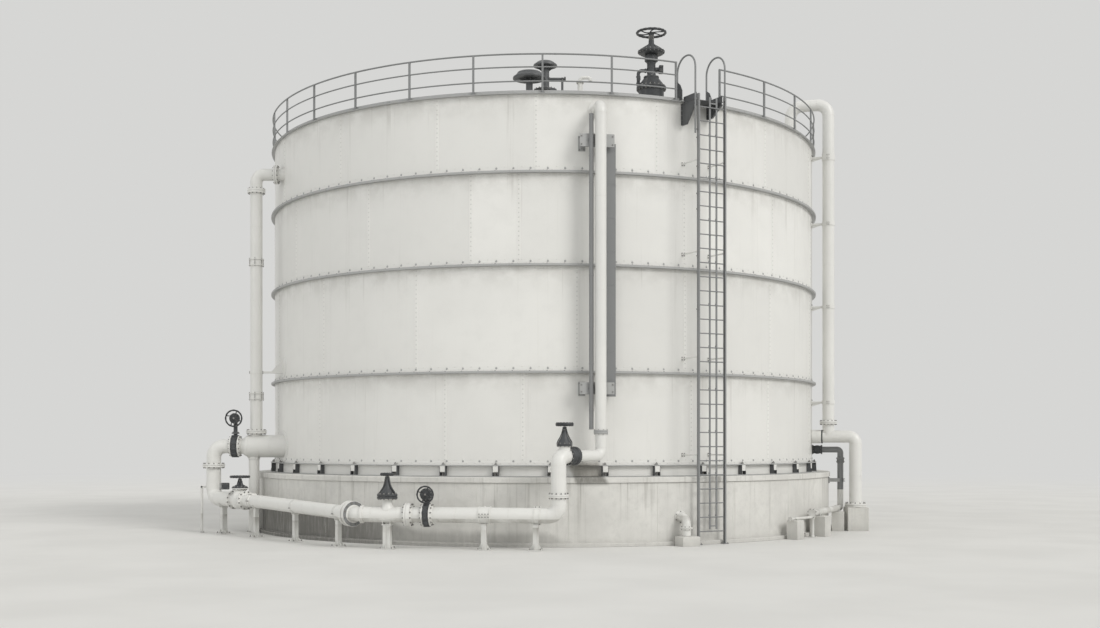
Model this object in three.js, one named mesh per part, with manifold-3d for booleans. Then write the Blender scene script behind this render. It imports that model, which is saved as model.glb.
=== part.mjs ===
// Vertical storage tank on a round concrete plinth, with its guardrail, ladder,
// risers, headers and valves. Millimetres, +Z up, origin on the tank's axis at
// ground level, -Y is the front.
import * as THREE from 'three';
import { mergeVertices } from 'three/addons/utils/BufferGeometryUtils.js';
import Module from 'manifold-3d';

const wasm = await Module();
wasm.setup();

// ---------------------------------------------------------------- dimensions
const GAP = 0.3;              // between touching pieces
const N = 40;                 // sides of the round shell pieces

const R = 8200;               // outside radius of the shell
const T_SHELL = 10;           // plate thickness
const Z_GROUND = 0;
const FOOT_R = 8800, FOOT_H = 95;
const PLINTH_R = 8680, PLINTH_TOP = 1569;
const CAP_R = 8723, CAP_TOP = 1705;
const FLOOR_R = 8340, FLOOR_TOP = 1725;
const Z_ANCHOR = 1998;        // top of the anchor ring
const Z_J1 = 4316, Z_J2 = 6980, Z_J3 = 9290;   // shell course joints
const Z_RIM = 11228;          // top of the shell
const RING_OUT = 112, RING_H = 56;             // stiffening rings
const KERB_OUT = 100;
const ROOF_RISE = 512, ROOF_T = 8;

const RAIL_R = 8258;          // guardrail centre line
const RAIL_Z = [11529, 11883, 12205];
const POST_W = 50, RAIL_W = 42;
const POST_A0 = 33.5, POST_STEP = 12.086, BAYS = 29;

const LAD_AZ = 28.5, LAD_R = 8870, LAD_W = 810, LAD_PITCH = 355;

const RISER_X = 1405, RISER_Y = -8636, RISER_PR = 138;
const RISER_Z_RUN = 2238, RISER_Z_TOP = 10850;
const HEAD_Z = 830, HEAD_PR = 186;
const HEAD_E = [355, -9800];                   // foot of the header's upright
const HEAD_V = [-4511, -9143];                 // bend between the two runs
const LOOP = [-9393, -3500];                   // left loop
const LOOP_Z_LOW = 980, LOOP_Z_HIGH = 2460, LOOP_PR = 203;
const NOZ_PR = 318;                            // large shell nozzle
const LRISER_X = -8180, LRISER_PR = 170, LRISER_TOP = 10190;

const OVER = [8356, -2400], OVER_PR = 170, OVER_Z = 12480;
const OUT_A = [9103, -2600], OUT_PR = 178, OUT_Z = 2740;
const OUT_B = [8755, -2189], OUT_B_PR = 88, OUT_B_Z = 2358, DRAIN_Z = 650;
const DRAIN_END = [7251, -5400];
const UP_SPLIT = 1298;                         // flange faces in the header's upright

// ------------------------------------------------------------------- helpers
const rad = (d) => d * Math.PI / 180;
const V = (x, y, z) => new THREE.Vector3(x, y, z);
// azimuth 0 is the front (-Y), growing to the right (+X)
const polar = (r, az, z) => V(r * Math.sin(rad(az)), -r * Math.cos(rad(az)), z);

function plain(geom) {
  const g = geom.index ? geom.toNonIndexed() : geom;
  const out = new THREE.BufferGeometry();
  out.setAttribute('position', g.getAttribute('position').clone());
  return mergeVertices(out, 1e-3);
}
function tidy(geom) {            // merged, closed, faces out
  const g = plain(geom);
  const p = g.getAttribute('position'), idx = Array.from(g.index.array);
  const keep = [];
  const a = V(0, 0, 0), b = V(0, 0, 0), c = V(0, 0, 0);
  let vol = 0;
  for (let i = 0; i < idx.length; i += 3) {
    const [i0, i1, i2] = [idx[i], idx[i + 1], idx[i + 2]];
    if (i0 === i1 || i1 === i2 || i0 === i2) continue;
    keep.push(i0, i1, i2);
    a.fromBufferAttribute(p, i0); b.fromBufferAttribute(p, i1); c.fromBufferAttribute(p, i2);
    vol += a.dot(b.clone().cross(c));
  }
  if (vol < 0) for (let i = 0; i < keep.length; i += 3) [keep[i + 1], keep[i + 2]] = [keep[i + 2], keep[i + 1]];
  g.setIndex(keep);
  return g;
}
const solid = (geom) => {
  const g = tidy(geom);
  return new wasm.Manifold(new wasm.Mesh({
    numProp: 3,
    vertProperties: new Float32Array(g.getAttribute('position').array),
    triVerts: new Uint32Array(g.index.array),
  }));
};
const toGeom = (m) => {
  const mesh = m.getMesh();
  const g = new THREE.BufferGeometry();
  g.setAttribute('position', new THREE.BufferAttribute(new Float32Array(mesh.vertProperties), 3));
  g.setIndex(Array.from(mesh.triVerts));
  return g;
};
function fuse(parts, cuts = []) {
  let m = solid(parts[0]);
  for (const p of parts.slice(1)) m = m.add(solid(p));
  for (const c of cuts) m = m.subtract(solid(c));
  return toGeom(m);
}

const at = (g, x, y, z) => g.translate(x, y, z);
const box = (sx, sy, sz, x = 0, y = 0, z = 0) => new THREE.BoxGeometry(sx, sy, sz).translate(x, y, z);
// a box whose local x points along azimuth `az` (radially), placed at polar r, az
function radialBox(sr, st, sz, r, az, z) {
  const g = new THREE.BoxGeometry(st, sr, sz);
  g.rotateZ(rad(az));
  const p = polar(r, az, z);
  return g.translate(p.x, p.y, p.z);
}
// a cylinder between two points
function rod(p, q, r, sides = 8, r2 = r, turn = 0) {
  const d = q.clone().sub(p), L = d.length();
  const g = new THREE.CylinderGeometry(r2, r, L, sides, 1);
  g.rotateY(turn);
  g.translate(0, L / 2, 0);
  g.applyQuaternion(new THREE.Quaternion().setFromUnitVectors(V(0, 1, 0), d.normalize()));
  return g.translate(p.x, p.y, p.z);
}
// a disc of thickness t centred on p, facing along d
const disc = (p, d, r, t, sides = 10) => {
  const u = d.clone().normalize();
  return rod(p.clone().addScaledVector(u, -t / 2), p.clone().addScaledVector(u, t / 2), r, sides);
};
// full ring or drum from a closed profile of [r, z]
function turned(profile, sides = N) {
  const pts = profile.map(([r, z]) => new THREE.Vector2(r, z));
  const onAxis = profile[0][0] === 0 && profile[profile.length - 1][0] === 0;
  if (!onAxis) pts.push(pts[0].clone());
  const g = new THREE.LatheGeometry(pts, sides);
  g.rotateX(Math.PI / 2);
  return tidy(g);
}
const hoop = (r0, r1, z0, z1, sides = N) => turned([[r0, z0], [r1, z0], [r1, z1], [r0, z1]], sides);
const drum = (r, z0, z1, sides = N) => turned([[0, z0], [r, z0], [r, z1], [0, z1]], sides);

// a run through vertices, with round bends of radius `bend`
class Run extends THREE.Curve {
  constructor(points) { super(); this.points = points; }
  at(i) { return this.points[Math.min(Math.max(i, 0), this.points.length - 1)].clone(); }
  getPoint(t) {
    const n = this.points.length - 1, s = Math.min(Math.max(t, 0), 1) * n;
    const i = Math.min(Math.floor(s + 1e-9), n - 1);
    return this.at(i).lerp(this.at(i + 1), s - i);
  }
  getPointAt(t) { return this.getPoint(t); }
  getTangentAt(t) {
    const n = this.points.length - 1, i = Math.round(Math.min(Math.max(t, 0), 1) * n);
    const d = V(0, 0, 0);
    if (i > 0) d.add(this.at(i).sub(this.at(i - 1)).normalize());
    if (i < n) d.add(this.at(i + 1).sub(this.at(i)).normalize());
    return d.normalize();
  }
  getTangent(t) { return this.getTangentAt(t); }
}
function bends(verts, bend, steps) {
  const out = [verts[0].clone()];
  for (let i = 1; i < verts.length - 1; i++) {
    const r = Array.isArray(bend) ? bend[i - 1] : bend;
    const a = verts[i - 1].clone().sub(verts[i]).normalize();
    const b = verts[i + 1].clone().sub(verts[i]).normalize();
    const ang = Math.PI - a.angleTo(b);
    if (r <= 0 || ang < 0.03) { out.push(verts[i].clone()); continue; }
    const tl = r * Math.tan(ang / 2);
    const p0 = verts[i].clone().addScaledVector(a, tl);
    const nrm = a.clone().cross(b).normalize();
    const cdir = nrm.clone().cross(a).normalize();
    if (cdir.dot(b) < 0) cdir.negate();
    const c = p0.clone().addScaledVector(cdir, r);
    const n = Math.max(2, Math.round(steps * ang / (Math.PI / 2)));
    for (let k = 0; k <= n; k++) {
      const t = ang * k / n;
      out.push(c.clone().addScaledVector(cdir, -r * Math.cos(t)).addScaledVector(a, -r * Math.sin(t)));
    }
  }
  out.push(verts[verts.length - 1].clone());
  return out;
}
function pipe(verts, r, bend = 0, sides = 8, steps = 3) {
  const pts = bends(verts, bend, steps);
  const shape = new THREE.Shape();
  for (let k = 0; k < sides; k++) {
    const a = 2 * Math.PI * (k + 0.5) / sides;
    if (k) shape.lineTo(r * Math.cos(a), r * Math.sin(a)); else shape.moveTo(r * Math.cos(a), r * Math.sin(a));
  }
  shape.closePath();
  return new THREE.ExtrudeGeometry(shape, { steps: pts.length - 1, extrudePath: new Run(pts), bevelEnabled: false, curveSegments: 1 });
}
// horizontal arc of rectangular section, as an extruded plan outline
function arcBar(r0, r1, z0, z1, az0, az1, n) {
  const s = new THREE.Shape();
  for (let k = 0; k <= n; k++) {
    const p = polar(r1, az0 + (az1 - az0) * k / n, 0);
    if (k) s.lineTo(p.x, p.y); else s.moveTo(p.x, p.y);
  }
  for (let k = n; k >= 0; k--) {
    const p = polar(r0, az0 + (az1 - az0) * k / n, 0);
    s.lineTo(p.x, p.y);
  }
  s.closePath();
  return new THREE.ExtrudeGeometry(s, { depth: z1 - z0, bevelEnabled: false }).translate(0, 0, z0);
}
// what is cut away to leave the gap round the shell
const shellCut = () => drum(R + GAP * 1.5, 1000, 13000);

const root = new THREE.Group();
const names = new Set();
function put(name, geom, color, roughness = 0.6, metalness = 0.1, group = root) {
  if (names.has(name)) throw new Error('two meshes are called ' + name);
  names.add(name);
  const mesh = new THREE.Mesh(tidy(geom), new THREE.MeshStandardMaterial({ color, roughness, metalness }));
  mesh.name = name;
  group.add(mesh);
  return mesh;
}
const C_CONCRETE = 0xc9c7c0, C_SHELL = 0xecebe6, C_TRIM = 0xd9d8d3, C_PIPE = 0xe2e1dc,
  C_VALVE = 0x3d4144, C_WHEEL = 0x2b2e30, C_RAIL = 0xd0d0cc;

// ---------------------------------------------------------------- foundation
put('plinth_drum', turned([[0, Z_GROUND], [FOOT_R, Z_GROUND], [FOOT_R, FOOT_H], [PLINTH_R, FOOT_H], [PLINTH_R, PLINTH_TOP], [0, PLINTH_TOP]]), C_CONCRETE, 0.9, 0);
put('plinth_cap', drum(CAP_R, PLINTH_TOP + GAP, CAP_TOP), C_CONCRETE, 0.9, 0);

// ---------------------------------------------------------------------- tank
put('tank_bottom_plate', drum(FLOOR_R, CAP_TOP + GAP, FLOOR_TOP), C_TRIM);
put('anchor_ring', hoop(R + GAP * 1.5, R + 128, Z_ANCHOR - 22, Z_ANCHOR), C_TRIM);
const joints = [FLOOR_TOP, Z_J1, Z_J2, Z_J3, Z_RIM];
for (let k = 0; k < 4; k++) {
  put(`shell_course_${k + 1}`, hoop(R - T_SHELL, R, joints[k] + GAP, joints[k + 1]), C_SHELL, 0.55);
}
[Z_J1, Z_J2, Z_J3].forEach((z, k) => {
  put(`stiffening_ring_${k + 1}`, hoop(R + GAP * 1.5, R + RING_OUT, z - RING_H / 2, z + RING_H / 2), C_TRIM);
});
put('kerb_angle', turned([
  [R + GAP * 1.5, Z_RIM - 12], [R + KERB_OUT, Z_RIM - 12], [R + KERB_OUT, Z_RIM],
  [R + 12, Z_RIM], [R + 12, Z_RIM + 90], [R + GAP * 1.5, Z_RIM + 90],
]), C_TRIM);
put('cone_roof', turned([
  [0, Z_RIM + GAP + ROOF_RISE], [R, Z_RIM + GAP], [R, Z_RIM + GAP + ROOF_T], [0, Z_RIM + GAP + ROOF_RISE + ROOF_T],
]), C_SHELL, 0.55);
const roofZ = (r) => Z_RIM + GAP + ROOF_T + ROOF_RISE * (1 - r / R);

// --------------------------------------------------------------- on the roof
const roofCut = () => turned([
  [0, Z_RIM - 3000], [R + 10, Z_RIM - 3000], [R + 10, Z_RIM + GAP * 2 + ROOF_T - ROOF_RISE * 10 / R], [0, Z_RIM + GAP * 2 + ROOF_T + ROOF_RISE],
]);
{
  // low vent: thin neck under a wide round hood
  const x = -360, y = -7560;
  put('roof_vent_low', fuse([
    rod(V(x, y, 11100), V(x, y, 11780), 88, 10),
    disc(V(x, y, 11420), V(0, 0, 1), 170, 40, 12),
    disc(V(x, y, 11792), V(0, 0, 1), 418, 50, 16),
    rod(V(x, y, 11816), V(x, y, 11940), 418, 16, 300),
  ], [roofCut()]), C_VALVE, 0.5, 0.4);
}
{
  // tall vent: flanged neck, stem and round cap, with a side pipe on a leg
  const x = 45, y = -6900, z = 12277, zs = 11957;
  put('roof_vent', fuse([
    rod(V(x, y, 11100), V(x, y, 11640), 180, 12),
    disc(V(x, y, 11648), V(0, 0, 1), 305, 50, 14),
    rod(V(x, y, 11660), V(x, y, z + 40), 103, 12),
    disc(V(x, y, z + 25), V(0, 0, 1), 305, 50, 16),
    rod(V(x, y, z + 49), V(x, y, z + 134), 305, 16, 190),
    rod(V(x, y, zs), V(x + 535, y, zs), 40, 8),
    disc(V(x + 515, y, zs), V(1, 0, 0), 62, 30, 8),
    rod(V(x + 440, y, 11100), V(x + 440, y, zs), 36, 8),
  ], [roofCut()]), C_VALVE, 0.5, 0.4);
}
{
  // small nozzle with a gooseneck
  const x = 932, y = -7350;
  put('roof_nozzle', fuse([
    rod(V(x, y, 11100), V(x, y, 11740), 66, 10),
    disc(V(x, y, 11745), V(0, 0, 1), 100, 36, 10),
    pipe([V(x, y, 11700), V(x, y, 11866), V(x + 262, y, 11866), V(x + 262, y, 11775)], 44, [80, 60], 8, 2),
  ], [roofCut()]), C_PIPE);
}

// a handwheel about +Z, its hub on the origin
function handwheel(r, t, spokes = 4, h = t) {
  const s = new THREE.Shape(), n = 16, ri = r - 2 * t, rh = r * 0.22, half = t * 0.75;
  for (let k = 0; k < n; k++) {
    const a = 2 * Math.PI * k / n;
    if (k) s.lineTo(r * Math.cos(a), r * Math.sin(a)); else s.moveTo(r * Math.cos(a), r * Math.sin(a));
  }
  s.closePath();
  for (let k = 0; k < spokes; k++) {
    const a0 = 2 * Math.PI * k / spokes, a1 = 2 * Math.PI * (k + 1) / spokes, h = new THREE.Path();
    const pt = (rr, a) => [rr * Math.cos(a), rr * Math.sin(a)];
    const b0 = Math.asin(half / ri), c0 = Math.asin(half / rh);
    const pts = [pt(rh, a0 + c0), pt(ri, a0 + b0)];
    for (let j = 1; j < 4; j++) pts.push(pt(ri, a0 + (a1 - a0) * j / 4));
    pts.push(pt(ri, a1 - b0), pt(rh, a1 - c0));
    pts.forEach(([x, y], j) => { if (j) h.lineTo(x, y); else h.moveTo(x, y); });
    h.closePath();
    s.holes.push(h);
  }
  return new THREE.ExtrudeGeometry(s, { depth: 2 * h, bevelEnabled: false }).translate(0, 0, -h);
}
// gate valve with its run along x, stem along +Z; origin on the run's axis
function gateValve({ half, pr, fr, ft = 36, bonnet, stemTop, sides = 8 }) {
  const X = V(1, 0, 0), Z = V(0, 0, 1);
  const parts = [
    rod(V(-half + ft * 0.5, 0, 0), V(half - ft * 0.5, 0, 0), pr * 1.04, sides),
    disc(V(-half + ft / 2, 0, 0), X, fr, ft, sides + 2),
    disc(V(half - ft / 2, 0, 0), X, fr, ft, sides + 2),
    rod(V(0, 0, -pr * 1.2), V(0, 0, bonnet), pr * 0.92, sides, pr * 0.74),
    disc(V(0, 0, bonnet), Z, pr * 1.14, ft * 1.5, sides),
    rod(V(0, 0, bonnet), V(0, 0, bonnet + (stemTop - bonnet) * 0.55), pr * 0.66, 8, pr * 0.22),
    rod(V(0, 0, bonnet), V(0, 0, stemTop), Math.max(20, pr * 0.13), 8),
  ];
  return parts;
}
const placed = (geoms, x, y, z, yaw = 0) => geoms.map((g) => g.rotateZ(yaw).translate(x, y, z));

{
  // control valve on a curb: run upright, round actuator head, thick stem,
  // small by-pass pipe at its left side
  const x = 2790, y = -6843;
  const Z = V(0, 0, 1);
  put('roof_valve', fuse([
    rod(V(x, y, 11100), V(x, y, 11700), 330, 14),
    disc(V(x, y, 11725), Z, 385, 80, 16),
    rod(V(x, y, 11760), V(x, y, 11990), 330, 14, 190),
    disc(V(x, y, 12005), Z, 200, 50, 14),
    rod(V(x, y, 12000), V(x, y, 12440), 110, 12),
    rod(V(x, y, 12400), V(x, y, 12620), 165, 12),
    disc(V(x, y, 12672), Z, 350, 144, 18),
    rod(V(x, y, 12740), V(x, y, 12850), 260, 14, 120),
    rod(V(x, y, 12840), V(x, y, 13134), 72, 10),
    pipe([V(x, y, 12190), V(x - 335, y, 12190), V(x - 335, y, 11740)], 46, 90, 8, 3),
    rod(V(x + 60, y, 12220), V(x + 210, y, 12220), 60, 8),
    box(110, 170, 200, x + 250, y, 12220),
  ], [roofCut()]), C_VALVE, 0.5, 0.4);
  put('roof_valve_wheel', at(handwheel(400, 36), x, y, 13171), C_WHEEL, 0.5, 0.4);
}

// ----------------------------------------------------------------- guardrail
{
  const half = 180 / Math.PI * (POST_W / 2) / RAIL_R, g = 180 / Math.PI * GAP / RAIL_R;
  const cuts = [0, 6, 12, 18, 24, BAYS];
  for (let s = 0; s < 5; s++) {
    const k0 = cuts[s], k1 = cuts[s + 1], last = s === 4;
    const a0 = POST_A0 + POST_STEP * k0 - half;
    const a1 = POST_A0 + POST_STEP * k1 + (last ? half : -half - g);
    const parts = [];
    for (const z of RAIL_Z) parts.push(arcBar(RAIL_R - RAIL_W / 2, RAIL_R + RAIL_W / 2, z - RAIL_W / 2, z + RAIL_W / 2, a0, a1, k1 - k0));
    for (let k = k0; k < k1 + (last ? 1 : 0); k++) {
      const zt = RAIL_Z[2] + RAIL_W / 2 - 2;
      parts.push(radialBox(POST_W, POST_W, zt - (Z_RIM + GAP), RAIL_R - 4, POST_A0 + POST_STEP * k, (zt + Z_RIM + GAP) / 2));
    }
    put(`guardrail_${s + 1}`, fuse(parts), C_RAIL, 0.5, 0.3);
  }
}

// -------------------------------------------------------------------- ladder
{
  const W = LAD_W / 2, parts = [], zb = GAP, zt = 12150, p = new THREE.Group();
  const loc = (u, w, z) => {      // u across (to the right), w outward
    const c = polar(LAD_R + w, LAD_AZ, 0), t = V(Math.cos(rad(LAD_AZ)), Math.sin(rad(LAD_AZ)), 0);
    return V(c.x + t.x * u, c.y + t.y * u, z);
  };
  const lbox = (su, sw, sz, u, w, z) => {
    const g = new THREE.BoxGeometry(su, sw, sz).rotateZ(rad(LAD_AZ));
    const c = loc(u, w, z);
    return g.translate(c.x, c.y, c.z);
  };
  const zTop = 11300;
  parts.push(lbox(46, 76, zTop, -W, 0, zTop / 2), lbox(46, 76, zTop, W, 0, zTop / 2));
  put('ladder_guide', fuse([
    ...[-40, 165].map((u) => lbox(50, 24, zTop - 430, u, -27 - GAP, (zTop + 330) / 2)),
    ...[460, zTop - 200].map((z) => lbox(205, 24, 34, 62.5, -27 - GAP, z)),
  ]), C_RAIL, 0.5, 0.3);
  for (let z = 330; z < zTop - 60; z += LAD_PITCH) parts.push(lbox(2 * W, 30, 30, 0, 0, z));
  // stand-offs to the shell, one above each ring
  for (const z of [2250, 4700, 7350, 9650]) for (const s of [-1, 1]) {
    parts.push(lbox(14, LAD_R - R - 30 + 60, 70, s * W, -(LAD_R - R) / 2, z));
  }
  put('ladder', fuse(parts, [shellCut()]), C_RAIL, 0.5, 0.3);
  // hooped handrails from the ladder's head over the rim
  for (const [s, name] of [[-1, 'handrail_hoop_left'], [1, 'handrail_hoop_right']]) {
    const left = s < 0, u = left ? -W - 95 : W;
    const zh = left ? 12330 : 12395, foot = left ? 10300 : zTop + GAP;
    const rIn = -(LAD_R - 8080);
    const hoopPts = [loc(u, 0, foot), loc(u, 0, zh), loc(u, rIn, zh), loc(u, rIn, 11100)];
    const hp = [pipe(hoopPts, 24, 380, 6, 4)];
    // the left one is clamped beside its stile
    if (left) for (const z of [10400, 11150]) hp.push(lbox(71, 30, 30, -W - 59, 0, z));
    put(name, fuse(hp, [roofCut()]), C_RAIL, 0.5, 0.3);
  }
  // landing plate with triangular knee brackets
  const zL = 11185;
  const lp = [lbox(LAD_W - 60, LAD_R - R - 120, 30, 0, -(LAD_R - R) / 2 + 60 - 20, zL - 3)];
  const land = [lbox(2 * W - 5, 480, 10, -27.5, -(LAD_R - R) / 2 - 30, zL)];
  for (const s of [-1, 1]) {
    const tri = new THREE.Shape();
    const kw = LAD_R - R - 52, kh = s < 0 ? 560 : 320;
    tri.moveTo(0, 0); tri.lineTo(kw, 0); tri.lineTo(kw, -60); tri.lineTo(190, -kh); tri.lineTo(0, -kh); tri.closePath();
    const g = new THREE.ExtrudeGeometry(tri, { depth: 12, bevelEnabled: false });
    // shape x -> outward, shape y -> up
    const t = V(Math.cos(rad(LAD_AZ)), Math.sin(rad(LAD_AZ)), 0), o = polar(1, LAD_AZ, 0);
    const m4 = new THREE.Matrix4().makeBasis(o, V(0, 0, 1), t.clone());
    g.applyMatrix4(m4);
    const c = loc(s < 0 ? -W - 24 : W - 48, -(LAD_R - R) + GAP, zL + 5);
    land.push(g.translate(c.x, c.y, c.z));
  }
  put('ladder_landing', fuse(land, [shellCut()]), C_VALVE, 0.6, 0.3);
}

// ------------------------------------------------------------ front pipework
const E = V(HEAD_E[0], HEAD_E[1], HEAD_Z), VX = V(HEAD_V[0], HEAD_V[1], HEAD_Z);
const u1 = VX.clone().sub(E).normalize();
const yaw1 = Math.atan2(-u1.y, -u1.x);        // local +x points back to the right
const onHead = (s, z = HEAD_Z) => E.clone().addScaledVector(u1, s).setZ(z);
const rz = V(0, 0, 1);
const toRiser = V(RISER_X - HEAD_E[0], RISER_Y - HEAD_E[1], 0).normalize();
const VALVE_FACE = 560;                       // from the upright to the angle valve's flange face
{
  const rc = V(RISER_X, RISER_Y, 0);
  const azR = Math.atan2(RISER_X, -RISER_Y) * 180 / Math.PI;
  const inward = polar(-1, azR, 0);
  const run0 = V(HEAD_E[0], HEAD_E[1], RISER_Z_RUN).addScaledVector(toRiser, VALVE_FACE + GAP);
  const top = V(RISER_X, RISER_Y, RISER_Z_TOP);
  const path = [run0, V(RISER_X, RISER_Y, RISER_Z_RUN), top, top.clone().addScaledVector(inward, Math.hypot(RISER_X, RISER_Y) - R + 60)];
  const parts = [
    pipe(path, RISER_PR, [190, 200], 8, 3),
    disc(run0.clone().addScaledVector(toRiser, 22), toRiser, 226, 44),
    disc(V(RISER_X, RISER_Y, 2822), rz, 176, 90),
    disc(top.clone().addScaledVector(inward, Math.hypot(RISER_X, RISER_Y) - R - 12), inward, 215, 24),
  ];
  // thin pipe beside the riser, carried by the same brackets
  parts.push(rod(V(1172, -8600, 2880), V(1172, -8600, 10640), 60, 8));
  // wall brackets
  for (const [z, h] of [[3897, 294], [10000, 320]]) {
    const rP = Math.hypot(RISER_X, RISER_Y) - RISER_PR + 20;
    parts.push(radialBox(60, 872, h, rP, azR - 0.425, z));
    for (const az of [azR - 2.61, azR + 1.0]) parts.push(radialBox(rP - R + 30, 30, h - 40, (rP + R - 30) / 2, az, z));
  }
  put('front_riser', fuse(parts, [shellCut()]), C_PIPE);
  // backing channel on the shell side of the riser
  const g = (z0, z1, az, st, sr, r) => radialBox(sr, st, z1 - z0, r, az, (z0 + z1) / 2);
  put('riser_channel', fuse([
    g(3700, 9960, azR + 2.17, 230, 60, R + 245),
    g(3800, 3860, azR + 2.17, 120, 300, R + 120),
    g(6400, 6460, azR + 2.17, 120, 300, R + 120),
    g(9700, 9760, azR + 2.17, 120, 300, R + 120),
  ], [shellCut()]), C_TRIM);
}
{
  // angle valve at the head of the upright
  const c = V(HEAD_E[0], HEAD_E[1], RISER_Z_RUN);
  const face = c.clone().addScaledVector(toRiser, VALVE_FACE);
  const stem = c.clone().addScaledVector(toRiser, 215);
  put('riser_valve', fuse([
    pipe([V(c.x, c.y, UP_SPLIT + GAP), c, face], HEAD_PR - 2, 200, 8, 3),
    disc(V(c.x, c.y, UP_SPLIT + 21 + GAP), rz, 240, 42),
    disc(face.clone().addScaledVector(toRiser, -130), toRiser, 213, 260, 10),
    disc(face.clone().addScaledVector(toRiser, -22), toRiser, 226, 44),
    disc(face.clone().addScaledVector(toRiser, -238), toRiser, 226, 44),
    rod(V(stem.x, stem.y, RISER_Z_RUN), V(stem.x, stem.y, 2500), 150, 10, 130),
    disc(V(stem.x, stem.y, 2500), rz, 190, 56, 8),
    rod(V(stem.x, stem.y, 2500), V(stem.x, stem.y, 2850), 165, 8, 32),
    rod(V(stem.x, stem.y, 2500), V(stem.x, stem.y, 2942), 26, 8),
  ]), C_VALVE, 0.5, 0.4);
  put('riser_valve_wheel', at(handwheel(220, 30, 4, 50), stem.x, stem.y, 2993), C_WHEEL, 0.5, 0.4);
}
const S_WAFER = 3170, S_GATE = 4150, GATE_HALF = 560, GATE_LEFT = 620;
{
  // right run of the header with its upright, collar, coupling and posts
  const a = V(E.x, E.y, UP_SPLIT);
  const end = onHead(S_WAFER - 72 - GAP);
  const parts = [
    pipe([a, E, end], HEAD_PR, 250, 8, 3),
    disc(V(E.x, E.y, UP_SPLIT - 21), rz, 240, 42),
    disc(end.clone().addScaledVector(u1, -20), u1, 270, 40),
    disc(onHead(500), u1, 215, 175),
    disc(onHead(1765), u1, 220, 300),
  ];
  for (const s of [545, 1790]) {
    const p = onHead(s);
    parts.push(box(130, 130, HEAD_Z - 100, 0, 0, (HEAD_Z - 100) / 2 + GAP).rotateZ(yaw1).translate(p.x, p.y, 0));
    parts.push(box(320, 320, 24, 0, 0, 12 + GAP).rotateZ(yaw1).translate(p.x, p.y, 0));
  }
  put('header_right', fuse(parts), C_PIPE);
}
// flat-bodied valve with a gearbox; wheel faces the viewer. Run along local x.
function gearValve({ half, br, neck, fr }) {
  const X = V(1, 0, 0), Y = V(0, 1, 0);
  return [
    disc(V(0, 0, 0), X, br, half * 2, 10),
    rod(V(0, 0, 0), V(0, 0, neck), 70, 8),
    disc(V(0, 0, br + 40), V(0, 0, 1), 110, 40, 8),
    box(210, 190, 190, 0, 0, neck),
    rod(V(0, -80, neck), V(0, -160, neck), 150, 12),
    rod(V(0, -60, neck), V(0, -202, neck), 28, 8),
  ];
}
{
  const p = onHead(S_WAFER);
  put('header_gear_valve', fuse(placed(gearValve({ half: 72, br: 300, neck: 492 }), p.x, p.y, p.z, yaw1)), C_VALVE, 0.5, 0.4);
  const w = handwheel(216, 22, 4).rotateX(Math.PI / 2).translate(0, -226, 492).rotateZ(yaw1).translate(p.x, p.y, p.z);
  put('header_gear_valve_wheel', w, C_WHEEL, 0.5, 0.4);
}
{
  // short spool between the two valves
  const a = onHead(S_WAFER + 72 + GAP), b = onHead(S_GATE - GATE_HALF + 60 - GAP);
  put('header_spool', fuse([
    rod(a, b, HEAD_PR, 8),
    disc(a.clone().addScaledVector(u1, 20), u1, 270, 40),
    disc(b.clone().addScaledVector(u1, -50), u1, 285, 100),
  ]), C_PIPE);
  const p = onHead(S_GATE);
  const half = GATE_HALF - 60;
  put('header_gate_valve', fuse(placed([
    rod(V(-GATE_LEFT + 18, 0, 0), V(half - 18, 0, 0), HEAD_PR, 8),
    disc(V(-GATE_LEFT + 18, 0, 0), V(1, 0, 0), 215, 36, 10),
    disc(V(half - 25, 0, 0), V(1, 0, 0), 285, 50, 10),
    rod(V(0, 0, 0), V(0, 0, 400), 118, 10),
    disc(V(0, 0, 437), V(0, 0, 1), 246, 112, 10),
    rod(V(0, 0, 480), V(0, 0, 860), 165, 8, 30),
    rod(V(0, 0, 455), V(0, 0, 927), 24, 8),
    box(190, 190, HEAD_Z - 120, 0, 0, -HEAD_Z + (HEAD_Z - 120) / 2),
    box(340, 340, 24, 0, 0, -HEAD_Z + 12),
  ].map((g) => g), p.x, p.y, p.z + GAP, yaw1)), C_VALVE, 0.5, 0.4);
  put('header_gate_valve_wheel', at(handwheel(172, 26, 4, 40), p.x, p.y, HEAD_Z + 968), C_WHEEL, 0.5, 0.4);
}
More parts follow.
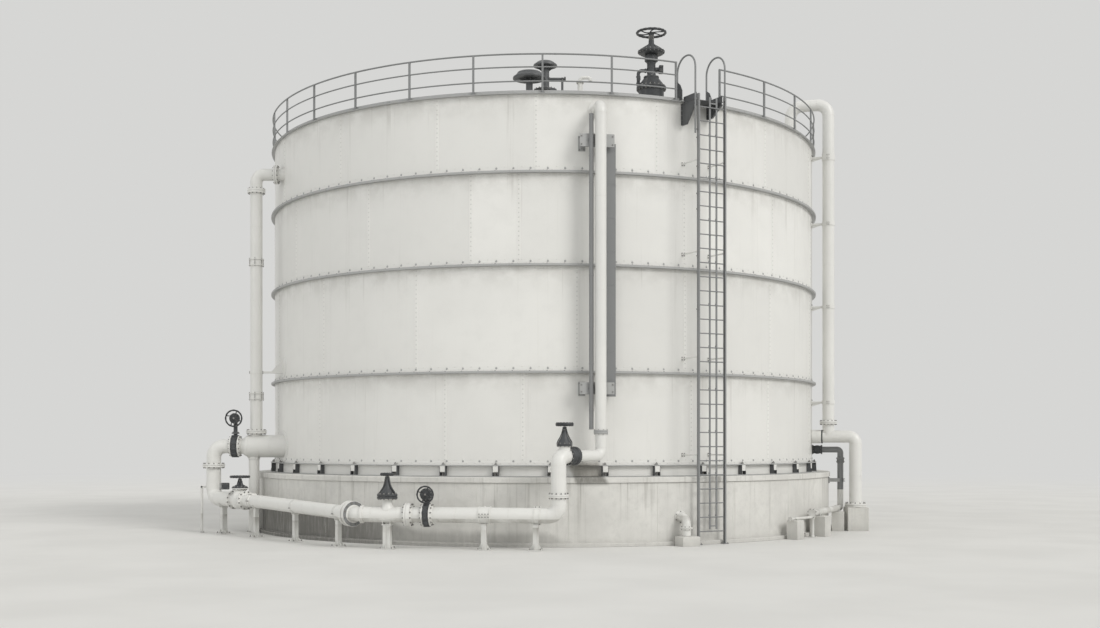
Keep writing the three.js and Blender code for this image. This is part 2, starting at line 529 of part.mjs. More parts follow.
// -------------------------------------------------------------- left pipework
const LB = V(LOOP[0], LOOP[1], LOOP_Z_LOW);
const VX2 = VX.clone();
const u2flat = V(LB.x - VX.x, LB.y - VX.y, 0).normalize();
const L2 = Math.hypot(LB.x - VX.x, LB.y - VX.y);
const T_GATE = 5900, LGATE_HALF = 330;
const yaw2 = Math.atan2(-u2flat.y, -u2flat.x);
const onLeft = (t, z) => V(VX.x + u2flat.x * t, VX.y + u2flat.y * t, z);
{
  const a = onHead(S_GATE + GATE_LEFT + GAP);
  const kinkT = T_GATE - LGATE_HALF - 420;
  const kink = onLeft(kinkT, LOOP_Z_LOW);
  const end = onLeft(T_GATE - LGATE_HALF - GAP, LOOP_Z_LOW);
  const along = kink.clone().sub(VX).normalize();
  const parts = [
    pipe([a, VX2, kink, end], HEAD_PR - 14, [260, 0], 8, 3),
    disc(a.clone().addScaledVector(u1, 18), u1, 215, 36),
    disc(VX.clone().addScaledVector(along, 174), along, 310, 105),
    disc(VX.clone().addScaledVector(along, 302), along, 310, 105),
    disc(end.clone().addScaledVector(u2flat, -20), u2flat, 260, 40),
    disc(onLeft(5150, LOOP_Z_LOW), u2flat, 205, 110),
  ];
  for (const t of [820, 2900, 4980]) {
    const z = VX.z + (LOOP_Z_LOW - VX.z) * Math.min(1, t / kinkT);
    const p = onLeft(t, 0);
    parts.push(box(120, 120, z - 100, 0, 0, (z - 100) / 2 + GAP).rotateZ(yaw2).translate(p.x, p.y, 0));
    parts.push(box(300, 300, 24, 0, 0, 12 + GAP).rotateZ(yaw2).translate(p.x, p.y, 0));
  }
  put('header_left', fuse(parts), C_PIPE);
}
{
  const p = onLeft(T_GATE, LOOP_Z_LOW);
  put('loop_gate_valve', fuse(placed(gateValve({ half: LGATE_HALF, pr: HEAD_PR, fr: 260, bonnet: 330, stemTop: 603 }), p.x, p.y, p.z, yaw2)), C_VALVE, 0.5, 0.4);
  put('loop_gate_valve_wheel', at(handwheel(280, 28, 4, 36), p.x, p.y, LOOP_Z_LOW + 640), C_WHEEL, 0.5, 0.4);
}
const X_UPV = -8773, UP_HALF = 90;
{
  const a = onLeft(T_GATE + LGATE_HALF + GAP, LOOP_Z_LOW);
  const top = V(LB.x, LB.y, LOOP_Z_HIGH);
  const end = V(X_UPV - UP_HALF - GAP, LB.y, LOOP_Z_HIGH);
  const X = V(1, 0, 0);
  const parts = [
    pipe([a, LB, top, end], LOOP_PR, [310, 310], 8, 3),
    disc(a.clone().addScaledVector(u2flat, 20), u2flat, 260, 40),
    disc(end.clone().addScaledVector(X, -20), X, 300, 40),
    disc(V(LB.x, LB.y, 1910), rz, 310, 90),
  ];
  const f = V(LB.x, LB.y, 0), lx = -u2flat.x * 600, ly = -u2flat.y * 600;
  parts.push(box(150, 150, 860, 0, 0, 430 + GAP).rotateZ(yaw2).translate(f.x + lx, f.y + ly, 0));
  parts.push(box(320, 320, 24, 0, 0, 12 + GAP).rotateZ(yaw2).translate(f.x + lx, f.y + ly, 0));
  parts.push(box(330, 130, 200, 290, -60, 1325).translate(f.x, f.y, 0));
  parts.push(box(60, 60, 1330, -340, 0, 665 + GAP).translate(f.x, f.y, 0));
  parts.push(box(360, 60, 60, -190, 0, 1300).translate(f.x, f.y, 0));
  put('left_loop', fuse(parts), C_PIPE);
}
{
  put('nozzle_gear_valve', fuse(placed(gearValve({ half: UP_HALF, br: 330, neck: 790 }), X_UPV, LB.y, LOOP_Z_HIGH, 0)), C_VALVE, 0.5, 0.4);
  put('nozzle_gear_valve_wheel', handwheel(252, 25, 4).rotateX(Math.PI / 2).translate(X_UPV, LB.y - 228, LOOP_Z_HIGH + 790), C_WHEEL, 0.5, 0.4);
}
{
  // large shell nozzle: reducer, barrel, pad on the shell, pipe leg to the ground
  const X = V(1, 0, 0), y = LB.y, z = LOOP_Z_HIGH;
  const x0 = X_UPV + UP_HALF + GAP;
  put('shell_nozzle', fuse([
    disc(V(x0 + 20, y, z), X, 300, 40),
    rod(V(x0, y, z), V(x0 + 60, y, z), LOOP_PR, 10),
    rod(V(x0 + 50, y, z), V(x0 + 300, y, z), LOOP_PR, 10, NOZ_PR),
    rod(V(x0 + 300, y, z), V(-7300, y, z), NOZ_PR, 10),
    toGeom(solid(hoop(R, R + 16, z - 500, z + 500)).intersect(solid(rod(V(-9000, y, z), V(-6500, y, z), 455, 18)))),
    rod(V(LRISER_X, y, z), V(LRISER_X, y, z + NOZ_PR + 60), LRISER_PR, 8),
    disc(V(LRISER_X, y, z + NOZ_PR + 60), rz, 285, 60),
    rod(V(-8245, y, 20), V(-8245, y, z - 200), 150, 10),
    disc(V(-8245, y, 15 + GAP), rz, 200, 30, 10),
  ], [shellCut(), drum(FOOT_R + 4, -10, FOOT_H + 4)]), C_PIPE);
}
{
  // left riser, standing on the nozzle and bent into the shell
  const y = LB.y, zb = LOOP_Z_HIGH + NOZ_PR + 90 + GAP, X = V(1, 0, 0);
  const parts = [
    pipe([V(LRISER_X, y, zb), V(LRISER_X, y, LRISER_TOP), V(-7300, y, LRISER_TOP)], LRISER_PR, 215, 8, 3),
    disc(V(LRISER_X, y, zb + 40), rz, 285, 80),
    disc(V(-7610, y, LRISER_TOP), X, 270, 100),
  ];
  for (const z of [3880, 7690]) parts.push(disc(V(LRISER_X, y, z), rz, 215, 190));
  parts.push(disc(V(LRISER_X, y, 9720), rz, 250, 120));
  parts.push(disc(V(LRISER_X, y, 4560), rz, 200, 80));
  parts.push(box(800, 60, 60, -7700, y, 4560));
  const tri = new THREE.Shape();
  tri.moveTo(-7300, 4560); tri.lineTo(-7750, 4560); tri.lineTo(-7300, 4980); tri.closePath();
  parts.push(new THREE.ExtrudeGeometry(tri, { depth: 30, bevelEnabled: false }).rotateX(Math.PI / 2).translate(0, y + 15, 0));
  put('left_riser', fuse(parts, [shellCut()]), C_PIPE);
}
// ------------------------------------------------------------- right pipework
{
  const azO = Math.atan2(OVER[0], -OVER[1]) * 180 / Math.PI, rO = Math.hypot(OVER[0], OVER[1]);
  const out = polar(1, azO, 0);
  const lo = V(OVER[0], OVER[1], 3150);
  const top = V(OVER[0], OVER[1], OVER_Z);
  const inn = polar(7600, azO, OVER_Z), dn = polar(7600, azO, 11100);
  const parts = [
    pipe([lo, top, inn, dn], OVER_PR, [330, 330], 8, 3),
    disc(V(OVER[0], OVER[1], 3190), rz, 250, 80),
  ];
  for (const z of [3740, 6540, 8974, 10925]) parts.push(disc(V(OVER[0], OVER[1], z), rz, 205, z > 10000 ? 220 : 110));
  for (const z of [3740, 6540, 8974, 10925]) parts.push(radialBox(rO - R + 30, 60, 60, (rO + R) / 2 - 10, azO, z));
  put('overflow_pipe', fuse(parts, [shellCut(), roofCut()]), C_PIPE);
  // outlet: shell nozzle, tee up to the overflow, elbow down to the pier
  const azA = Math.atan2(OUT_A[0], -OUT_A[1]) * 180 / Math.PI;
  const a0 = polar(R - 60, azO, OUT_Z), a1 = V(OUT_A[0], OUT_A[1], OUT_Z), a2 = V(OUT_A[0], OUT_A[1], 690);
  put('outlet_pipe', fuse([
    pipe([a0, V(OVER[0], OVER[1], OUT_Z), a1, a2], OUT_PR, [0, 205], 8, 3),
    rod(V(OVER[0], OVER[1], OUT_Z), V(OVER[0], OVER[1], 3150 - GAP), OVER_PR, 8),
    disc(V(OVER[0], OVER[1], 3150 - 40 - GAP), rz, 250, 80),
    disc(polar(R + 170, azO, OUT_Z), out, 200, 330),
    disc(V(OUT_A[0], OUT_A[1], 740), rz, 310, 100),
  ], [shellCut()]), C_PIPE);
  put('pier_outlet', box(600, 600, 690 - GAP, OUT_A[0] + 15, OUT_A[1], (690 - GAP) / 2), C_CONCRETE, 0.9, 0);
  // thin drain pipe
  const azB = Math.atan2(OUT_B[0], -OUT_B[1]) * 180 / Math.PI;
  const b = [polar(R - 60, azB, OUT_B_Z), V(OUT_B[0], OUT_B[1], OUT_B_Z), V(OUT_B[0], OUT_B[1], DRAIN_Z), V(DRAIN_END[0], DRAIN_END[1], DRAIN_Z)];
  const leg = b[3].clone().lerp(b[2], 0.02), low = 545, tip = V(6495, -6275, low);
  put('drain_pipe', fuse([
    pipe(b, OUT_B_PR, [100, 110], 8, 3),
    disc(polar(R + 155, azB, OUT_B_Z), polar(1, azB, 0), 140, 300, 10),
    disc(V(OUT_B[0], OUT_B[1], 2050), rz, 126, 120, 10),
    disc(b[3].clone().lerp(b[2], 0.008), b[3].clone().sub(b[2]), 130, 56, 10),
    // bracket on the plinth
    radialBox(380, 70, 110, 8860, azB, 1460),
    // leg at the low end, and the small-bore pipe over the first pier
    rod(leg.clone().setZ(10), leg, 46, 8),
    disc(leg.clone().setZ(12 + GAP), rz, 110, 24, 8),
    rod(leg.clone().setZ(low), tip, 36, 8),
    disc(tip.clone().lerp(leg.clone().setZ(low), 0.017), leg.clone().setZ(low).sub(tip), 62, 34, 8),
  ], [shellCut(), drum(PLINTH_R + GAP, 100, PLINTH_TOP - 5)]), C_PIPE);
  const pier = (w, x, y, pz = DRAIN_Z - OUT_B_PR - GAP) => radialBox(w, w, pz, Math.hypot(x, y), Math.atan2(x, -y) * 180 / Math.PI, pz / 2);
  put('pier_drain_1', pier(330, 6670, -6095, low - 36 - GAP), C_CONCRETE, 0.9, 0);
  put('pier_drain_2', pier(440, 7586, -4898), C_CONCRETE, 0.9, 0);
  put('pier_drain_3', pier(340, 8560, -2760), C_CONCRETE, 0.9, 0);
}
{
  // down-turned drain bend at the ladder's foot, over its block
  const az = 23.2;
  const p0 = polar(PLINTH_R - 40, az, 700), p1 = polar(PLINTH_R + 330, az, 700), p2 = polar(PLINTH_R + 330, az, 330);
  put('foot_drain_bend', fuse([
    pipe([p0, p1, p2], 105, 200, 8, 3),
    box(480, 420, 240, 0, 0, 120 + GAP).rotateZ(rad(az)).translate(polar(PLINTH_R + 370, az, 0).x, polar(PLINTH_R + 370, az, 0).y, 0),
    rod(p2, p2.clone().setZ(200), 105, 10),
  ], [drum(PLINTH_R + GAP, -10, 1500), drum(FOOT_R + GAP, -10, FOOT_H + GAP)]), C_PIPE);
}

export default root;
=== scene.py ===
# Looks of the vertical storage tank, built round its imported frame. Shapes are worked
# out in millimetres in the frame's own axes (+Z up, -Y the front) and written in metres.
import math

import bpy
import numpy as np
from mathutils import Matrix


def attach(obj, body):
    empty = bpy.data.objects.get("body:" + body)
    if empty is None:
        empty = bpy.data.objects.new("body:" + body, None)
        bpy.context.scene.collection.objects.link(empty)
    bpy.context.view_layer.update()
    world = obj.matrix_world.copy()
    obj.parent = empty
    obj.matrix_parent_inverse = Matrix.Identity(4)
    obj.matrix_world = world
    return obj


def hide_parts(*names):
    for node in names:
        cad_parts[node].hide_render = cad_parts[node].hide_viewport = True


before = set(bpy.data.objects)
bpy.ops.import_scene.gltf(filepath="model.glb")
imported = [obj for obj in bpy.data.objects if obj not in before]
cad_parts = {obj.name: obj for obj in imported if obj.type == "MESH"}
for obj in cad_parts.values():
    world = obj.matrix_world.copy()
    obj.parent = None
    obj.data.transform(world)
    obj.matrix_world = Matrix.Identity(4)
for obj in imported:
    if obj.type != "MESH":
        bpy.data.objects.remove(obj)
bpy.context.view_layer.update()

# ------------------------------------------------------------------ dimensions
R, T_SHELL = 8200.0, 10.0
FOOT_R, FOOT_H = 8800.0, 95.0
PLINTH_R, PLINTH_TOP = 8680.0, 1569.0
CAP_R, CAP_TOP = 8723.0, 1705.0
FLOOR_R, FLOOR_TOP = 8340.0, 1725.0
Z_ANCHOR, Z_J1, Z_J2, Z_J3, Z_RIM = 1998.0, 4316.0, 6980.0, 9290.0, 11228.0
RING_OUT, RING_H, KERB_OUT = 112.0, 56.0, 100.0
ROOF_RISE, ROOF_T, GAP = 512.0, 8.0, 0.3
RAIL_R, RAIL_Z = 8258.0, (11529.0, 11883.0, 12205.0)
POST_A0, POST_STEP, BAYS = 33.5, 12.086, 29
LAD_AZ, LAD_R, LAD_W, LAD_PITCH = 28.5, 8870.0, 810.0, 355.0
RISER = (1405.0, -8636.0)
RISER_PR, RISER_Z_RUN, RISER_Z_TOP = 138.0, 2238.0, 10850.0
HEAD_Z, HEAD_PR = 830.0, 186.0
HEAD_E, HEAD_V = (355.0, -9800.0), (-4511.0, -9143.0)
LOOP, LOOP_Z_LOW, LOOP_Z_HIGH, LOOP_PR = (-9393.0, -3500.0), 980.0, 2460.0, 203.0
NOZ_PR, LRISER_X, LRISER_PR, LRISER_TOP = 318.0, -8180.0, 170.0, 10190.0
OVER, OVER_PR, OVER_Z = (8356.0, -2400.0), 170.0, 12480.0
OUT_A, OUT_PR, OUT_Z = (9103.0, -2600.0), 178.0, 2740.0
OUT_B, OUT_B_PR, OUT_B_Z, DRAIN_Z = (8755.0, -2189.0), 88.0, 2358.0, 650.0
DRAIN_END, UP_SPLIT = (7251.0, -5400.0), 1298.0

# ---------------------------------------------------------------- mesh helpers
X, Y, Z = np.eye(3)


def vec(*p):
    return np.array(p, float)


def unit(v):
    v = np.asarray(v, float)
    return v / np.linalg.norm(v)


def polar(r, az, z=0.0):
    a = math.radians(az)
    return vec(r * math.sin(a), -r * math.cos(a), z)


def outward(az):
    return polar(1.0, az)


def tangent(az):
    a = math.radians(az)
    return vec(math.cos(a), math.sin(a), 0)


class Chunk:
    """Points and faces, the faces grouped by how many corners they have."""

    def __init__(self, v, faces):
        self.v = np.asarray(v, float).reshape(-1, 3)
        if isinstance(faces, dict):
            self.f = {k: np.asarray(a, np.int64).reshape(-1, k) for k, a in faces.items() if len(a)}
        else:
            by = {}
            for q in faces:
                by.setdefault(len(q), []).append(q)
            self.f = {k: np.array(a, np.int64) for k, a in by.items()}

    def volume(self):
        s = 0.0
        for k, a in self.f.items():
            for j in range(1, k - 1):
                p, q, r = self.v[a[:, 0]], self.v[a[:, j]], self.v[a[:, j + 1]]
                s += float(np.einsum("ij,ij->i", p, np.cross(q, r)).sum())
        return s / 6

    def out(self):
        """The same with its faces pointing out."""
        if self.volume() < 0:
            self.f = {k: a[:, ::-1] for k, a in self.f.items()}
        return self

    def at(self, o, x=None, y=None, z=None):
        """Placed with its origin at o and its axes along x, y and z."""
        if z is not None:
            z = unit(z)
            if x is None:
                x = X if abs(z[0]) < 0.9 else Y
            x = unit(np.asarray(x, float) - z * np.dot(x, z))
            y = np.cross(z, x)
        elif x is not None and y is not None:
            x, y = unit(x), unit(y)
            z = np.cross(x, y)
        else:
            x, y, z = X, Y, Z
        return Chunk(self.v @ np.array([x, y, z]) + np.asarray(o, float), self.f)

    def move(self, *d):
        return Chunk(self.v + vec(*d), self.f)

    def yaw(self, a):
        c, s = math.cos(a), math.sin(a)
        return Chunk(self.v @ np.array([[c, s, 0], [-s, c, 0], [0, 0, 1]]), self.f)


def join(*chunks):
    v, f, n = [], {}, 0
    for c in chunks:
        v.append(c.v)
        for k, a in c.f.items():
            f.setdefault(k, []).append(a + n)
        n += len(c.v)
    return Chunk(np.concatenate(v), {k: np.concatenate(a) for k, a in f.items()})


def repeat(c, places):
    """Copies of a chunk; places is a list of (origin, x, y, z axes)."""
    if not places:
        return Chunk(np.zeros((0, 3)), {})
    m = np.array([[p[1], p[2], p[3]] for p in places], float)
    o = np.array([p[0] for p in places], float)
    v = np.einsum("vi,nij->nvj", c.v, m) + o[:, None, :]
    n = len(c.v)
    off = np.arange(len(places)) * n
    f = {k: (a[None] + off[:, None, None]).reshape(-1, k) for k, a in c.f.items()}
    return Chunk(v.reshape(-1, 3), f)


def facing(o, z, x=None, turn=0.0):
    """A place for repeat(): local z along z, turned about it."""
    z = unit(z)
    if x is None:
        x = X if abs(z[0]) < 0.9 else Y
    x = unit(np.asarray(x, float) - z * np.dot(x, z))
    y = np.cross(z, x)
    c, s = math.cos(turn), math.sin(turn)
    return (np.asarray(o, float), c * x + s * y, -s * x + c * y, z)


def lathe(profile, seg=64, closed=False, angles=None, dr=None):
    """A profile of (radius, height) turned about z. Closed: a ring. Else it starts and ends on the axis, or gets flat ends."""
    pts = [tuple(map(float, p)) for p in profile]
    if not closed:
        if pts[0][0] > 0:
            pts = [(0.0, pts[0][1])] + pts
        if pts[-1][0] > 0:
            pts = pts + [(0.0, pts[-1][1])]
    ang = np.arange(seg) * 2 * math.pi / seg if angles is None else np.asarray(angles)
    seg = len(ang)
    v, rows = [], []
    for r, h in pts:
        if r == 0:
            rows.append([len(v)])
            v.append((0, 0, h))
        else:
            rows.append(list(range(len(v), len(v) + seg)))
            rr = r if dr is None else r + dr
            rr = np.broadcast_to(rr, (seg,))
            v.extend(np.stack([rr * np.cos(ang), rr * np.sin(ang), np.full(seg, h)], 1).tolist())
    f = []
    n = len(rows)
    for i in range(n if closed else n - 1):
        a, b = rows[i], rows[(i + 1) % n]
        for j in range(seg):
            k = (j + 1) % seg
            if len(a) == 1 and len(b) == 1:
                break
            if len(a) == 1:
                f.append((a[0], b[k], b[j]))
            elif len(b) == 1:
                f.append((a[j], a[k], b[0]))
            else:
                f.append((a[j], a[k], b[k], b[j]))
    return Chunk(v, f).out()


def flat_lathe(profile, seg=48):
    """Like lathe, but with one many-sided face at each flat end."""
    pts = [tuple(map(float, p)) for p in profile]
    ang = np.arange(seg) * 2 * math.pi / seg
    v, f = [], []
    for r, h in pts:
        v.extend(np.stack([r * np.cos(ang), r * np.sin(ang), np.full(seg, h)], 1).tolist())
    for i in range(len(pts) - 1):
        for j in range(seg):
            k = (j + 1) % seg
            f.append((i * seg + j, i * seg + k, (i + 1) * seg + k, (i + 1) * seg + j))
    f.append(tuple(range(seg))[::-1])
    f.append(tuple(range((len(pts) - 1) * seg, len(pts) * seg)))
    return Chunk(v, f).out()


def rnd_disc(r, t, b=3.0, seg=48):
    """A disc of thickness t centred on the origin, with eased edges."""
    h = t / 2
    return flat_lathe([(r - b, -h), (r, -h + b), (r, h - b), (r - b, h)], seg)


def cyl(p, q, r, seg=24, r2=None, b=0.0):
    p, q = np.asarray(p, float), np.asarray(q, float)
    L = float(np.linalg.norm(q - p))
    r2 = r if r2 is None else r2
    prof = [(r - b, 0), (r, b), (r2, L - b), (r2 - b, L)] if b else [(r, 0), (r2, L)]
    return flat_lathe(prof, seg).at(p, z=q - p)


def torus(r, s, n=64, m=12, z=0.0, s2=None):
    """A ring of round section about z."""
    s2 = s if s2 is None else s2
    a = np.arange(m) * 2 * math.pi / m
    return lathe([(r + s * math.cos(t), z + s2 * math.sin(t)) for t in a], n, closed=True)


def bends(verts, bend, steps=12):
    verts = [np.asarray(p, float) for p in verts]
    out = [verts[0]]
    for i in range(1, len(verts) - 1):
        r = bend[i - 1] if isinstance(bend, (list, tuple)) else bend
        a, b = unit(verts[i - 1] - verts[i]), unit(verts[i + 1] - verts[i])
        ang = math.pi - math.acos(max(-1, min(1, float(np.dot(a, b)))))
        if r <= 0 or ang < 0.03:
            out.append(verts[i])
            continue
        tl = r * math.tan(ang / 2)
        p0 = verts[i] + a * tl
        nrm = unit(np.cross(a, b))
        c = unit(np.cross(nrm, a))
        if np.dot(c, b) < 0:
            c = -c
        o = p0 + c * r
        n = max(3, round(steps * ang / (math.pi / 2)))
        for k in range(n + 1):
            t = ang * k / n
            out.append(o - c * r * math.cos(t) - a * r * math.sin(t))
    out.append(verts[-1])
    return out


def sweep(path, section, up=None, closed=False, scale=None):
    """A closed flat section [(x, y), ...] carried along a path, its frame turning as little as it can."""
    p = np.array(path, float)
    n = len(p)
    d = np.zeros_like(p)
    seg = unit_rows(np.diff(p, axis=0)) if not closed else unit_rows(np.roll(p, -1, 0) - p)
    if closed:
        d = unit_rows(seg + np.roll(seg, 1, 0))
    else:
        d[0], d[-1] = seg[0], seg[-1]
        d[1:-1] = unit_rows(seg[:-1] + seg[1:])
    if up is None:
        up = Z if abs(d[0][2]) < 0.9 else X
    s = np.array(section, float)
    m = len(s)
    x = unit(np.asarray(up, float) - d[0] * np.dot(up, d[0]))
    v = []
    for i in range(n):
        x = unit(x - d[i] * np.dot(x, d[i]))
        y = np.cross(d[i], x)
        k = 1.0 if scale is None else scale[i]
        # the section is multiplied by the given scale factor at each point
        v.append(p[i] + k * (s[:, :1] * x + s[:, 1:] * y))
    v = np.concatenate(v)
    i = np.arange(n if closed else n - 1)[:, None] * m
    j = np.arange(m)[None]
    k = (j + 1) % m
    i2 = (i + m) % (n * m)
    q = np.stack([np.broadcast_to(a, (len(i), m)) for a in (i + j, i + k, i2 + k, i2 + j)], -1).reshape(-1, 4)
    f = {4: q}
    if not closed:
        ends = [list(range(m))[::-1], list(range((n - 1) * m, n * m))]
        if m == 4:
            f[4] = np.concatenate([q, np.array(ends)])
        else:
            f[m] = np.array(ends)
    return Chunk(v, f).out()


def unit_rows(a):
    return a / np.linalg.norm(a, axis=1, keepdims=True)


def circle(r, n, turn=0.0):
    return [(r * math.cos(2 * math.pi * k / n + turn), r * math.sin(2 * math.pi * k / n + turn)) for k in range(n)]


def tube(verts, r, bend=0, seg=40, steps=14, up=None):
    return sweep(bends(verts, bend, steps), circle(r, seg), up)


def cbox(sx, sy, sz, b=2.0, o=(0, 0, 0)):
    """A box centred on o with its edges eased by b."""
    h = np.array([sx, sy, sz], float) / 2
    b = min(b, h.min() * 0.6)
    v, idx = [], {}
    for a in range(8):
        s = np.array([1 if a & 1 else -1, 1 if a & 2 else -1, 1 if a & 4 else -1], float)
        for ax in range(3):
            p = s * (h - b)
            p[ax] = s[ax] * h[ax]
            idx[a, ax] = len(v)
            v.append(p + np.asarray(o, float))
    f = []
    for ax in range(3):
        u, w = [(1, 2), (2, 0), (0, 1)][ax]
        for s in (0, 1):
            c = [s << ax, (s << ax) | (1 << u), (s << ax) | (1 << u) | (1 << w), (s << ax) | (1 << w)]
            q = [idx[a, ax] for a in c]
            f.append(q if s else q[::-1])
    for ax in range(3):
        u, w = [(1, 2), (2, 0), (0, 1)][ax]
        for su in (0, 1):
            for sw in (0, 1):
                a0 = (su << u) | (sw << w)
                a1 = a0 | (1 << ax)
                q = [idx[a0, u], idx[a1, u], idx[a1, w], idx[a0, w]]
                f.append(q if su != sw else q[::-1])
    for a in range(8):
        q = [idx[a, 0], idx[a, 1], idx[a, 2]]
        odd = bin(a).count("1") % 2
        f.append(q if odd else q[::-1])
    return fix_faces(Chunk(v, f), np.asarray(o, float))


def fix_faces(c, o):
    """Turns each face of a star-shaped chunk away from the point o."""
    f = {}
    for k, a in c.f.items():
        p = c.v[a]
        n = np.cross(p[:, 1] - p[:, 0], p[:, 2] - p[:, 0])
        s = np.einsum("ij,ij->i", n, p.mean(1) - o)
        a = a.copy()
        a[s < 0] = a[s < 0][:, ::-1]
        f[k] = a
    return Chunk(c.v, f)


def slab(poly, t, b=1.5):
    """A flat outline (convex or nearly) extruded from z = 0 to t, with eased edges."""
    p = np.array(poly, float)
    area = 0.5 * float(np.sum(p[:, 0] * np.roll(p[:, 1], -1) - np.roll(p[:, 0], -1) * p[:, 1]))
    if area < 0:
        p = p[::-1]
    e = unit_rows(np.roll(p, -1, 0) - p)
    nrm = np.stack([e[:, 1], -e[:, 0]], 1)
    prev = np.roll(nrm, 1, 0)
    bis = prev + nrm
    bis = bis / np.maximum(1e-6, np.einsum("ij,ij->i", bis, nrm))[:, None]
    inner = p - bis * b
    n = len(p)
    rows = [(inner, 0), (p, b), (p, t - b), (inner, t)]
    v = np.concatenate([np.column_stack([q, np.full(n, h)]) for q, h in rows])
    f = []
    for i in range(3):
        for j in range(n):
            k = (j + 1) % n
            f.append((i * n + j, i * n + k, (i + 1) * n + k, (i + 1) * n + j))
    f.append(tuple(range(n))[::-1])
    f.append(tuple(range(3 * n, 4 * n)))
    return Chunk(v, f).out()


def loft(rings):
    """Rings of the same number of points, from one end to the other, with flat ends."""
    n, m = len(rings), len(rings[0])
    v = np.concatenate([np.asarray(r, float) for r in rings])
    f = []
    for i in range(n - 1):
        for j in range(m):
            k = (j + 1) % m
            f.append((i * m + j, i * m + k, (i + 1) * m + k, (i + 1) * m + j))
    f.append(tuple(range(m))[::-1])
    f.append(tuple(range((n - 1) * m, n * m)))
    return Chunk(v, f).out()


def oval(a, b, z, n=40, e=2.0):
    """A superellipse of half sizes a and b at height z."""
    out = []
    for k in range(n):
        t = 2 * math.pi * k / n
        c, s = math.cos(t), math.sin(t)
        out.append((a * math.copysign(abs(c) ** (2 / e), c), b * math.copysign(abs(s) ** (2 / e), s), z))
    return np.array(out)


def rivet(r, h):
    return lathe([(r, 0), (r * 0.86, h * 0.55), (r * 0.5, h * 0.9), (0, h)], 8)


def hex_nut(af, h, washer=True, stud=0.0, stud_r=None):
    """A hexagon nut on z = 0 with its washer and the end of its stud."""
    rc = af / math.sqrt(3)
    w = h * 0.14 if washer else 0.0
    parts = []
    if washer:
        parts.append(flat_lathe([(af * 0.62, 0), (af * 0.62, w)], 14))
    low = [(x, y, w) for x, y in circle(rc, 6)]
    mid = [(x, y, w + h * 0.82) for x, y in circle(rc, 6)]
    top = [(x, y, w + h) for x, y in circle(rc * 0.84, 6)]
    parts.append(loft([low, mid, top]))
    if stud > 0:
        sr = stud_r or af * 0.3
        parts.append(flat_lathe([(sr, w + h * 0.9), (sr, w + h + stud * 0.8), (sr * 0.75, w + h + stud)], 8))
    return join(*parts)


# -------------------------------------------------------------------- building
MATS = {}


class Piece:
    """Gathers chunks into one object with a material for each."""

    def __init__(self, name):
        self.name, self.parts = name, []

    def add(self, chunk, mat=None, tone=0.0):
        if len(chunk.v):
            self.parts.append((chunk, mat or self.mat, tone))
        return self

    def many(self, chunk, places, mat=None, tone=0.0):
        return self.add(repeat(chunk, places), mat, tone)

    def make(self, body="tank", slot=None, replaces=(), angle=34):
        names = list(dict.fromkeys(m for _, m, _ in self.parts))
        v = np.concatenate([c.v for c, _, _ in self.parts]) * 0.001
        tone = np.concatenate([np.broadcast_to(np.asarray(t, np.float32), (len(c.v),)) for c, _, t in self.parts])
        loops, starts, mi, at, n = [], [], [], 0, 0
        for c, m, _ in self.parts:
            for k, a in c.f.items():
                loops.append((a + n).ravel())
                starts.append(at + np.arange(len(a)) * k)
                mi.append(np.full(len(a), names.index(m)))
                at += a.size
            n += len(c.v)
        me = bpy.data.meshes.new(self.name)
        me.vertices.add(len(v))
        me.vertices.foreach_set("co", v.astype(np.float32).ravel())
        loops, starts, mi = np.concatenate(loops), np.concatenate(starts), np.concatenate(mi)
        me.loops.add(len(loops))
        me.loops.foreach_set("vertex_index", loops.astype(np.int32))
        me.polygons.add(len(starts))
        me.polygons.foreach_set("loop_start", starts.astype(np.int32))
        me.polygons.foreach_set("material_index", mi.astype(np.int32))
        me.polygons.foreach_set("use_smooth", np.ones(len(starts), bool))
        for m in names:
            me.materials.append(MATS[m])
        me.update(calc_edges=True)
        me.set_sharp_from_angle(angle=math.radians(angle))
        me.attributes.new("tone", "FLOAT", "POINT").data.foreach_set("value", tone.astype(np.float32))
        me.validate()
        o = bpy.data.objects.new(self.name, me)
        bpy.context.scene.collection.objects.link(o)
        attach(o, body)
        if replaces:
            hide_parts(*([replaces] if isinstance(replaces, str) else replaces))
        return o


def piece(name, mat):
    p = Piece(name)
    p.mat = mat
    return p


